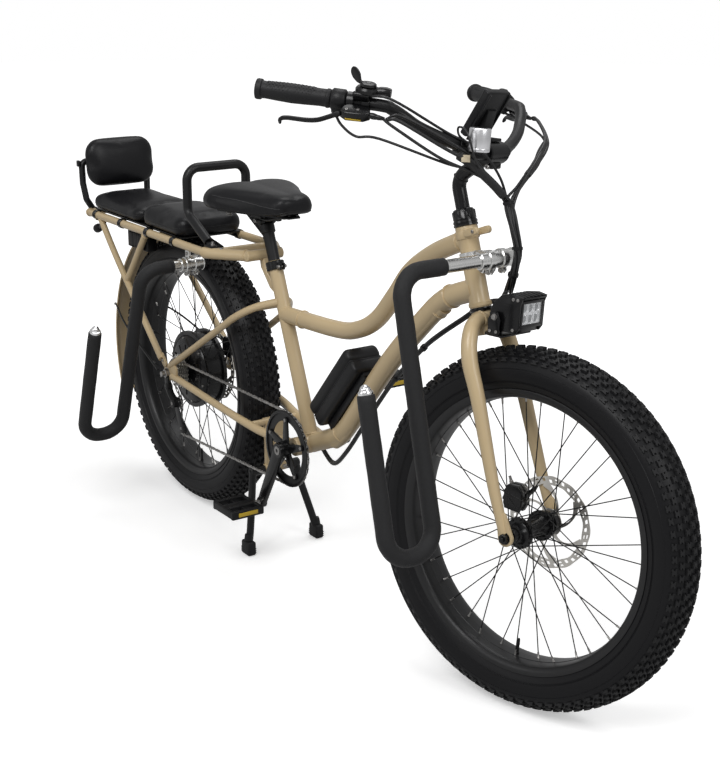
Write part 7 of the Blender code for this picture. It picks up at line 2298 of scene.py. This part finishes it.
    def cassette(self) -> None:
        """Stacks seven sprockets on the freewheel body, the one under the chain flush with it."""
        parts = []
        for i, (r, teeth) in enumerate(self.cogs):
            y = self.cog_first_y + self.cog_step*i - (0.0004 if i < 2 else 0.0)
            parts.append(moved(sprocket("cog", r, teeth, 0.013, 0.0016, STEEL), (-WHEELBASE, y, TYRE_R)))
        parts.append(ring("core", (-WHEELBASE, -0.0768, TYRE_R), (-WHEELBASE, -0.0546, TYRE_R), 0.017, 0.0105))
        self.add(join("cassette_cogs", parts), STEEL, "cassette", body="cassette")

    def derailleur(self) -> None:
        """Makes the hanger, the body with its spring housing, the cage plate and the toothed pulleys."""
        y = CHAIN_Y
        cage = prism("cage", stadium(GUIDE_PULLEY, TENSION_PULLEY, 0.0125, 0.0125), 0.0014, side_plane(y - 0.0078),
            0.0004)
        body = tube("body", smooth([(GUIDE_PULLEY[0] - 0.002, y - 0.009, GUIDE_PULLEY[1] + 0.004),
            (GUIDE_PULLEY[0] - 0.006, y - 0.018, GUIDE_PULLEY[1] + 0.022),
            (-WHEELBASE + 0.004, -0.0925, TYRE_R - 0.034)], 5), 0.0088, 16)
        knuckles = [lathe("knuckle", (GUIDE_PULLEY[0], y - 0.008, GUIDE_PULLEY[1]), (0, -1, 0),
            [(0, 0), (0, 0.012), (0.01, 0.0115), (0.012, 0.009), (0.012, 0)], 26),
            lathe("knuckle", (-WHEELBASE + 0.004, -0.085, TYRE_R - 0.034), (0, -1, 0),
            [(0, 0), (0, 0.0105), (0.013, 0.01), (0.0145, 0.008), (0.0145, 0)], 26)]
        hanger = prism("hanger", stadium((-WHEELBASE + 0.003, TYRE_R - 0.016), (-WHEELBASE + 0.004, TYRE_R - 0.036),
            0.0095, 0.0085), 0.005, side_plane(-0.0948), 0.001)
        self.add(join("derailleur_body", [cage, body, *knuckles, hanger]), SATIN, "derailleur", angle=40)
        pulleys = [moved(sprocket("pulley", self.pulley_r, self.pulley_teeth, 0.0028, 0.002, PLASTIC), (x, y, z))
            for x, z in (GUIDE_PULLEY, TENSION_PULLEY)]
        self.add(join("derailleur_pulleys", pulleys), PLASTIC)
        screws = [bolt("screw", (x, y - out, z), (0, -1, 0), radius, high)
            for (x, z), out, radius, high in ((TENSION_PULLEY, 0.0086, 0.0034, 0.0018),
            (GUIDE_PULLEY, 0.0198, 0.004, 0.0012))]
        self.add(join("derailleur_screws", screws), CHAIN_STEEL)

    def pedal(self, name: str, side: int, at: Vector) -> None:
        """Makes a platform pedal: frame with two windows, core, grip pins and reflectors.

        Args:
            name: The pedal's side.
            side: 1 for the left, -1 for the right.
            at: The crank's end.
        """
        y, body = self.pedal_y*side, f"{name}_pedal"
        parts = [block("core", (0.025, 0.08, 0.019), (at.x, y, at.z), edge=0.004, segments=3)]
        parts += [block("bar", (0.0095, 0.083, 0.02), (at.x + 0.041*k, y, at.z), edge=0.0028, segments=3)
            for k in SIDES]
        parts += [block("end", (0.09, 0.009, 0.018), (at.x, y + 0.0368*k, at.z), edge=0.0028, segments=3)
            for k in SIDES]
        parts += [block("web", (0.02, 0.005, 0.012), (at.x + 0.026*k, y, at.z), edge=0.001) for k in SIDES]
        parts += [rod("pin", (at.x + 0.041*k, y + 0.0125*j, at.z + 0.0095*m),
            (at.x + 0.041*k, y + 0.0125*j, at.z + 0.0108*m), 0.0016, edge=0.0003, steps=10) for k in SIDES
            for j in (-2, -1, 0, 1, 2) for m in SIDES]
        self.add(join(f"{name}_pedal_platform", parts), PLASTIC, f"{name}_pedal", body=body)
        axle = [rod("axle", at + vec(0, 0.0845*side, 0), at + vec(0, 0.125*side, 0), 0.0044),
            rod("shoulder", at + vec(0, 0.0964*side, 0), at + vec(0, 0.113*side, 0), 0.0074, edge=0.001)]
        self.add(join(f"{name}_pedal_axle", axle), CHAIN_STEEL, body=body)
        self.add(join(f"{name}_pedal_reflectors",
            [block("lens", (0.0012, 0.05, 0.0095), (at.x + 0.0456*k, y, at.z), edge=0.0004) for k in SIDES]), YELLOW,
            body=body)


@dataclass
class Stand(Assembly):
    """The two-legged centre stand."""

    pivot_r: float = 0.0049
    collar_r: float = 0.011
    leg_r: float = 0.0088
    sleeve_y: float = 0.0665
    coil_r: float = 0.0042

    def build(self) -> None:
        """Makes and dresses the legs, feet, pivot and spring."""
        parts, feet = [rod("pivot", STAND_PIVOT - vec(0, self.sleeve_y, 0), STAND_PIVOT + vec(0, self.sleeve_y, 0),
            self.pivot_r)], []
        for side in SIDES:
            parts.append(rod("collar", STAND_PIVOT + vec(0, 0.0295*side, 0),
                STAND_PIVOT + vec(0, self.sleeve_y*side, 0), self.collar_r, edge=0.0014, steps=28))
            foot = vec(STAND_FOOT.x, STAND_FOOT.y*side, 0)
            leg = smooth([STAND_PIVOT + vec(0, 0.06*side, 0), STAND_PIVOT + vec(0.006, 0.066*side, -0.04),
                (foot.x - 0.006, foot.y - 0.009*side, 0.06), (foot.x, foot.y, 0.02)], 7)
            parts.append(tube("leg", leg, self.leg_r, 22))
            parts.append(lathe("socket", (foot.x, foot.y, 0.034), (-0.1, -0.12*side, 1),
                [(0, 0), (0, 0.0104), (0.012, 0.01), (0.016, 0.009), (0.016, 0)], 24))
            feet.append(block("foot", (0.0355, 0.0215, 0.034), (foot.x, foot.y, 0.0172), edge=0.0042, segments=3))
            feet += [block("groove", (0.036, 0.022, 0.0022), (foot.x, foot.y, 0.006 + 0.005*i), edge=0.0006)
                for i in range(3)]
        self.add(join("stand_legs", parts), SATIN, "centre_stand", angle=40)
        self.add(join("stand_feet", feet), GRIP)
        coil = [STAND_PIVOT + vec(0.0165 + self.coil_r*math.cos(t), 0.014 + 0.0006*t, self.coil_r*math.sin(t) + 0.003)
            for t in (i*0.45 for i in range(42))]
        self.add(tube("stand_spring", coil, 0.0009, 8), CHAIN_STEEL)


# Side rack

@dataclass(frozen=True)
class ArmSize:
    """One rack arm: its pivot, its depth, its swing from straight down, and where its parts begin."""

    prefix: str
    pivot: Vector
    drop: float
    swing: float
    inside: float
    foam: float
    upright: float
    near: float
    far: float


FRONT_ARM = ArmSize("front_arm", vec(-0.13, 0.0, 0.838), 0.5, 14.2, 0.03, -0.112, 0.302, -0.033, 0.047)
REAR_ARM = ArmSize("rear_arm", vec(-1.154, 0.0, 0.65), 0.467, -19.3, -0.056, -0.132, 0.311, -0.112, -0.052)


class SideArm(Assembly):
    """A bent rack arm with its foam sleeve and domed end, and the receiver that holds it."""

    def __init__(self, size: ArmSize) -> None:
        """Stands the arm at its resting swing."""
        super().__init__(size.prefix, turned_about(size.pivot, Matrix.Rotation(-math.radians(size.swing), 3, "Y")))
        self.size = size

    def build(self) -> None:
        """Makes and dresses the tube, the foam and the dome."""
        s, p = self.size, self.size.pivot
        low = p.z - s.drop
        bends = [vec(p.x, -0.212, p.z), vec(p.x, -0.212, low), vec(p.x, -0.315, low),
            vec(p.x, -0.315, low + s.upright - 0.001)]
        metal = [tube("tube", [vec(p.x, s.inside, p.z), vec(p.x, s.foam - 0.01, p.z)], 0.0126, 36),
            ring("end", vec(p.x, s.inside - 0.002, p.z), vec(p.x, s.inside + 0.0002, p.z), 0.0122, 0.0095)]
        top = vec(p.x, -0.315, low + s.upright)
        dome = [(-0.003, 0), (-0.003, 0.0132), (0.0004, 0.0137), (0.003, 0.0136), (0.0055, 0.0126), (0.0062, 0.0104),
            (0.0072, 0.0101), (0.0085, 0.0102), (0.011, 0.0092), (0.014, 0.007), (0.0165, 0.0038), (0.0175, 0)]
        self.add(join(f"{s.prefix}_tube", metal), POLISHED, s.prefix, angle=40)
        self.add(lathe(f"{s.prefix}_dome", top, (0, 0, 1), dome, 40), CHROME, angle=50)
        line = rounded([vec(p.x, s.foam, p.z), *bends], 0.048, 14)
        even = [line[0]]
        for a, b in zip(line, line[1:]):
            count = max(1, int((b - a).length/0.012))
            even += [a.lerp(b, i/count) for i in range(1, count + 1)]
        radii = [0.0163 + 0.00016*math.sin(i*0.9) + 0.00012*math.sin(i*2.3) for i in range(len(even))]
        sleeve = tube("foam", even, radii, 32, ends=0.22)
        cuff = ring("cuff", vec(p.x, s.foam + 0.0004, p.z), vec(p.x, s.foam - 0.004, p.z), 0.0161, 0.0127, 0.0012, 40)
        self.add(join(f"{s.prefix}_foam_sleeve", [sleeve, cuff]), FOAM, f"{s.prefix}_foam", angle=60)

    def receiver(self) -> None:
        """Makes the sleeve across the bicycle, its two strap clamps with ears and bolts, and its mount."""
        s, p = self.size, self.size.pivot
        holder = Assembly("frame", FIXED)
        name = s.prefix.replace("arm", "receiver")
        parts = [ring("sleeve", p + vec(0, s.near, 0), p + vec(0, s.far, 0), 0.0163, 0.013, 0.001, 48),
            ring("end", p + vec(0, s.far - 0.003, 0), p + vec(0, s.far, 0), 0.0176, 0.013, 0.001, 48)]
        screws = []
        for share in (0.3, 0.68):
            y = s.near + (s.far - s.near)*share
            parts.append(ring("strap", p + vec(0, y - 0.0062, 0), p + vec(0, y + 0.0062, 0), 0.0187, 0.016, 0.0008,
                48))
            for side in SIDES:
                ear = [(p.x + 0.004 + u, p.z - 0.016 + v)
                    for u, v in ((-0.0065, 0.003), (0.0065, 0.003), (0.006, -0.006), (0.003, -0.0112),
                    (-0.003, -0.0112), (-0.006, -0.006))]
                parts.append(prism("ear", ear, 0.0028, side_plane(y + 0.0036*side), 0.0008))
                screws.append(nut("nut", (p.x + 0.004, y + 0.0052*side, p.z - 0.0212), (0, side, 0), 0.0042, 0.003))
            screws.append(rod("pin", (p.x + 0.004, y - 0.008, p.z - 0.0212), (p.x + 0.004, y + 0.008, p.z - 0.0212),
                0.0022))
        if s is FRONT_ARM:
            fork = [(p.x - 0.036, p.z + 0.01), (p.x - 0.01, p.z + 0.012), (p.x - 0.006, p.z - 0.01),
                (p.x - 0.012, p.z - 0.027), (p.x - 0.019, p.z - 0.028), (p.x - 0.024, p.z - 0.016),
                (p.x - 0.036, p.z - 0.012)]
            parts += [prism("cheek", fork, 0.0042, side_plane(0.004 + 0.0125*k), 0.0008) for k in SIDES]
            parts.append(block("seat", (0.02, 0.024, 0.024), (p.x - 0.02, 0.004, p.z), edge=0.002))
            screws += [nut("nut", (p.x - 0.019, 0.004 + 0.0148*k, p.z - 0.0215), (0, k, 0), 0.004, 0.003)
                for k in SIDES]
            parts.append(lathe("collar", on_axis(HEAD_LOW + 0.083), STEER_AXIS,
                [(0, 0.02), (0.001, 0.0224), (0.021, 0.0224), (0.022, 0.02)], 48))
            screws += [nut("nut", on_axis(HEAD_LOW + 0.094 + 0.01) + vec(0.0225, -0.006, 0.004), (0.8, -0.6, 0.2),
                0.004, 0.0036)]
        else:
            parts += [block("hanger", (0.019, 0.0056, 0.044), p + vec(0, -0.078 + 0.0115*k, 0.018), edge=0.0014)
                for k in SIDES]
            parts.append(block("bridge", (0.019, 0.028, 0.008), p + vec(0, -0.078, 0.019), edge=0.0014))
            screws += [nut("nut", p + vec(0, -0.078 + 0.0142*k, 0.026), (0, k, 0), 0.0042, 0.003) for k in SIDES]
        holder.add(join(f"{name}_clamps", parts), POLISHED, name, angle=38)
        holder.add(join(f"{name}_bolts", screws), CHAIN_STEEL)


# Cables

@dataclass
class Cables(Assembly):
    """The housings and wires from both hands, wrapped together and led back along the frame."""

    housing_r: float = 0.0033
    hose_r: float = 0.0028
    wire_r: float = 0.0025
    run_r: float = 0.0027
    twist_r: float = 0.006
    bend_from: float = 0.03
    bend_to: float = 0.21

    def build(self) -> None:
        """Sweeps the strands, the wraps, the ties and the run along the frame."""
        strands: list[Object] = []
        front = ((-0.122, 0.004, 0.942), (-0.104, 0.006, 0.895), (-0.092, 0.008, 0.85), (-0.1, 0.01, 0.808),
            (-0.118, 0.026, 0.775))
        routes = {"right": [on_grip(-1, 0.24, 0.034), on_grip(-1, 0.262, 0.034), (-0.176, -0.14, 1.04),
            (-0.148, -0.085, 1.012), (-0.134, -0.036, 0.978)],
            "left": [on_grip(1, 0.24, 0.034), on_grip(1, 0.262, 0.038), (-0.15, 0.15, 1.045), (-0.128, 0.09, 1.01),
            (-0.122, 0.035, 0.972)]}
        loops = {"right": ((0.0, 0.0, 0.0), (0.004, 0.006, 0.012), (-0.004, 0.004, -0.018)),
            "left": ((0.0, 0.0, 0.0), (0.003, -0.004, 0.008))}
        for side, route in routes.items():
            for n, sway in enumerate(loops[side]):
                turn = math.tau*(n/3 + (0.16 if side == "left" else 0.0))
                off = vec(0.0036*math.cos(turn), 0.0036*math.sin(turn), 0)
                free = [Vector(q) + off + Vector(sway)*math.sin(math.pi*min(1.0, i/4)) for i, q in enumerate(route)]
                down = [Vector(q) + vec(self.twist_r*math.cos(turn + i*0.7), self.twist_r*math.sin(turn + i*0.7), 0)
                    for i, q in enumerate(front)]
                strands.append(tube("strand", smooth(free + down, 7), self.hose_r if n else self.housing_r, 12,
                    ends=0.4))
        extra = [[on_grip(-1, 0.206, 0.004, 0.022), on_grip(-1, 0.25, 0.012, 0.026), (-0.19, -0.11, 1.064),
            (-0.15, -0.06, 1.036), (-0.13, -0.022, 0.992), (-0.122, 0.001, 0.945), (-0.104, 0.003, 0.895),
            (-0.094, 0.006, 0.85)], [on_grip(-1, 0.15, 0.03, -0.008), on_grip(-1, 0.163, 0.042, -0.02),
            on_grip(-1, 0.19, 0.05, -0.034), on_grip(-1, 0.232, 0.05, -0.032), (-0.178, -0.118, 1.01),
            (-0.146, -0.06, 0.996), (-0.122, 0.0, 0.95), (-0.102, 0.004, 0.896), (-0.092, 0.012, 0.85)],
            [on_grip(1, 0.16, 0.016, -0.014), on_grip(1, 0.2, 0.04, -0.01), (-0.165, 0.165, 1.05),
            (-0.126, 0.092, 1.02), (-0.118, 0.034, 0.972), (-0.112, 0.008, 0.93), (-0.098, 0.01, 0.88)]]
        strands += [tube("strand", smooth(path, 7), self.wire_r, 12, ends=0.4) for path in extra]
        self.bent("cable_strands", strands, CABLE, "cable_loom")
        wraps = [tube("wrap", smooth([Vector(q) for q in path], 8), radii, 18, ends=0.3)
            for path, radii in (([(-0.16, -0.108, 1.026), (-0.148, -0.085, 1.012), (-0.134, -0.036, 0.978),
            (-0.126, -0.008, 0.955)], 0.0082),
            ([(-0.15, 0.15, 1.045), (-0.14, 0.12, 1.03), (-0.128, 0.09, 1.01), (-0.123, 0.058, 0.99)], 0.007))]
        self.bent("cable_wraps", wraps, BRAID)
        ties = [lathe("tie", at, way, [(-0.003, 0.008), (-0.0026, 0.0102), (0.0026, 0.0102), (0.003, 0.008)], 20)
            for at, way in (((-0.122, 0.004, 0.942), (0.3, 0.1, -1)), ((-0.0945, 0.0075, 0.862), (0.1, 0, -1)),
            ((-0.1, 0.01, 0.812), (-0.3, 0.3, -1)))]
        self.bent("cable_ties", ties, PLASTIC)
        tag = block("cable_tag", (0.0165, 0.0012, 0.013), (-0.1472, -0.1032, 1.0218),
            Matrix.Rotation(0.95, 3, "Z") @ Matrix.Rotation(-0.3, 3, "X"), 0.0003)
        self.bent("cable_tag", [tag], TAG)
        self.fixed_run()

    def bent(self, name: str, items: Sequence[Object], finish: Finish, *replaces: str) -> None:
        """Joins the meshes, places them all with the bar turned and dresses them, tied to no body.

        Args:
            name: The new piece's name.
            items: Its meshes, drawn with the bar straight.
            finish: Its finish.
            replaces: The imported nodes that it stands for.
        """
        item = join(name, items)
        self.dress(item, finish, 40.0)
        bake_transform(item)
        if replaces:
            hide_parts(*replaces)
        log.info("%s across the steering, %d faces", item.name, len(item.data.polygons))

    def fixed_run(self) -> None:
        """Sweeps the housings that follow the down tube and the left chain stay, with their clips."""
        frame = Assembly("frame", FIXED)
        trunk = [(-0.118, 0.026, 0.775), (-0.15, 0.041, 0.752), (-0.192, 0.04, 0.738), (-0.232, 0.022, 0.703),
            (-0.28, 0.004, 0.664), (-0.333, 0, 0.622), (-0.426, 0, 0.535), (-0.52, 0, 0.425), (-0.608, 0.002, 0.32),
            (-0.7, 0.026, 0.26), (-0.79, 0.048, 0.272), (-0.88, 0.064, 0.282), (-0.98, 0.084, 0.296),
            (-1.12, 0.098, 0.312), (-1.235, 0.104, 0.331), (-1.262, 0.106, 0.336)]
        lines = [tube("line", smooth([Vector(q) + vec(0, dy, dz) for q in trunk], 6), self.run_r, 12, ends=0.4)
            for dy, dz in ((0.0031, 0.0018), (-0.0031, 0.0018), (0.0, -0.0034))]
        frame.add(join("cable_run", lines), CABLE)
        clips = []
        for i in (5, 6, 7, 11, 13):
            a, b = Vector(trunk[i]), Vector(trunk[i + 1])
            clips.append(lathe("clip", a, b - a, [(-0.0045, 0.0052), (-0.004, 0.0072), (0.004, 0.0072),
                (0.0045, 0.0052)], 18))
        frame.add(join("cable_clips", clips), PLASTIC)


# Studio

@dataclass(frozen=True)
class Studio:
    """Camera, lamps, floor and white surroundings of the photograph."""

    lens: float = 68.38
    stand: tuple[float, float, float] = (2.612, -1.669, 1.413)
    turns: tuple[float, float, float] = (55.5, 72.7, 0.3)
    sensor: float = 36.0
    picture: tuple[int, int] = (720, 772)
    middle: tuple[float, float] = (359.3, 387.7)
    mirrored: float = 0.27
    floor_radius: float = 14.0
    floor_drop: float = 0.0012
    glow: tuple[float, float, float, float] = (0.9, 2.6, 0.42, 0.85)
    floor_tones: tuple[float, float] = (0.36, 0.94)
    world_levels: tuple[float, float] = (0.25, 1.0)

    def build(self) -> None:
        """Sets the camera, the lights, the floor and the world."""
        self.camera()
        for name, at, size, power in (("key", (1.6, -2.6, 4.0), 2.2, 104.0), ("fill", (4.4, 0.7, 3.2), 2.0, 56.0),
                ("back", (-0.8, 1.2, 4.6), 2.4, 52.0), ("side", (-0.6, -4.4, 2.2), 2.0, 18.0)):
            self.lamp(name, at, size, power)
        self.floor()
        self.world()

    def camera(self) -> None:
        """Stands the camera where the photograph was taken from."""
        data = bpy.data.cameras.new("view")
        data.lens, data.sensor_width, data.sensor_fit = self.lens, self.sensor, "AUTO"
        wide, high = self.picture
        data.shift_x, data.shift_y = (wide/2 - self.middle[0])/high, (self.middle[1] - high/2)/high
        camera = bpy.data.objects.new("view", data)
        camera.location = self.stand
        heading_turn, tilt, roll = (Matrix.Rotation(math.radians(a), 3, axis) for a, axis in zip(self.turns, "ZXZ"))
        camera.rotation_euler = (heading_turn @ tilt @ roll).to_euler()
        bpy.context.scene.collection.objects.link(camera)
        bpy.context.scene.camera = camera

    def lamp(self, name: str, at: Point, size: float, power: float) -> None:
        """Hangs one soft square lamp that faces the bicycle.

        Args:
            name: The new object's name.
            at: Its place.
            size: Its side.
            power: Its power in watts.
        """
        data = bpy.data.lights.new(name, "AREA")
        data.shape, data.size, data.energy = "SQUARE", size, power
        lamp = bpy.data.objects.new(name, data)
        lamp.location = at
        lamp.rotation_euler = (vec(0.1, 0, 0.5) - Vector(at)).to_track_quat("-Z", "Y").to_euler()
        bpy.context.scene.collection.objects.link(lamp)

    def looked_at(self, tree: NodeTree) -> NodeSocket:
        """Adds nodes that give 1 to the camera's rays and a share to those seen in metal or through glass.

        Args:
            tree: The material's or the world's nodes.

        Returns:
            The socket with that value.
        """
        path = node(tree, "LightPath")
        socket = path.outputs["Is Camera Ray"]
        for name in ("Is Glossy Ray", "Is Transmission Ray"):
            either = node(tree, "Math", {0: path.outputs[name], 1: self.mirrored, 2: socket},
                operation="MULTIPLY_ADD", use_clamp=True)
            socket = either.outputs[0]
        return socket

    def floor(self) -> None:
        """Lays a wide pale floor, which glows more towards its far parts and keeps the shadow near."""
        bm = bmesh.new()
        bmesh.ops.create_circle(bm, cap_ends=True, segments=64, radius=self.floor_radius,
            matrix=Matrix.Translation((0, 0, -self.floor_drop)))
        item = wrap("floor", bm, False)
        pale = bpy.data.materials.new("floor_paint")
        pale.use_nodes = True
        tree = pale.node_tree
        looked_at = self.looked_at(tree)
        seen = node(tree, "MapRange", {"To Min": self.floor_tones[0], "To Max": self.floor_tones[1],
            "Value": looked_at})
        place = node(tree, "TexCoord")
        reach = node(tree, "VectorMath", {0: place.outputs["Object"]}, operation="LENGTH")
        near, far, dim, bright = self.glow
        fade = node(tree, "MapRange", {"From Min": near, "From Max": far, "To Min": dim, "To Max": bright,
            "Value": reach.outputs["Value"]})
        lift = node(tree, "Math", {0: looked_at, 1: fade.outputs[0]}, operation="MULTIPLY")
        fill(tree, tree.nodes["Principled BSDF"],
            {"Roughness": 0.9, "Specular IOR Level": 0.1, "Base Color": seen.outputs[0],
            "Emission Color": (1, 1, 1, 1), "Emission Strength": lift.outputs[0]})
        item.data.materials.append(pale)

    def world(self) -> None:
        """Shows white behind everything and gives a lower, even light."""
        world = bpy.data.worlds.new("surroundings")
        bpy.context.scene.world = world
        world.use_nodes = True
        tree = world.node_tree
        low, high = self.world_levels
        level = node(tree, "MapRange", {"To Min": low, "To Max": high, "Value": self.looked_at(tree)})
        fill(tree, tree.nodes["Background"], {"Color": (1, 1, 1, 1), "Strength": level.outputs[0]})
        bpy.context.scene.view_settings.view_transform = "Standard"


def main() -> None:
    """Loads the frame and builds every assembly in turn."""
    logging.basicConfig(level=logging.INFO, format="%(message)s")
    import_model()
    Studio().build()
    rear = WheelSize(flange_r=0.0945, flange_y=0.022, lean=math.radians(20), rotor_y=0.0505, motor_r=0.098)
    Wheel("front", STEERED @ Matrix.Translation(FRONT_AXLE), WheelSize()).build()
    Wheel("rear", FIXED @ Matrix.Translation(REAR_AXLE), rear).build()
    for kind in (Fork, Bar, Cockpit):
        kind("steering", STEERED).build()
    for kind in (Frame, Rear, Seats, Drive):
        kind("frame", FIXED).build()
    Stand("stand", FIXED).build()
    for size in (FRONT_ARM, REAR_ARM):
        arm = SideArm(size)
        arm.build()
        arm.receiver()
    Cables("frame", STEERED).build()


if __name__ == "__main__":
    main()
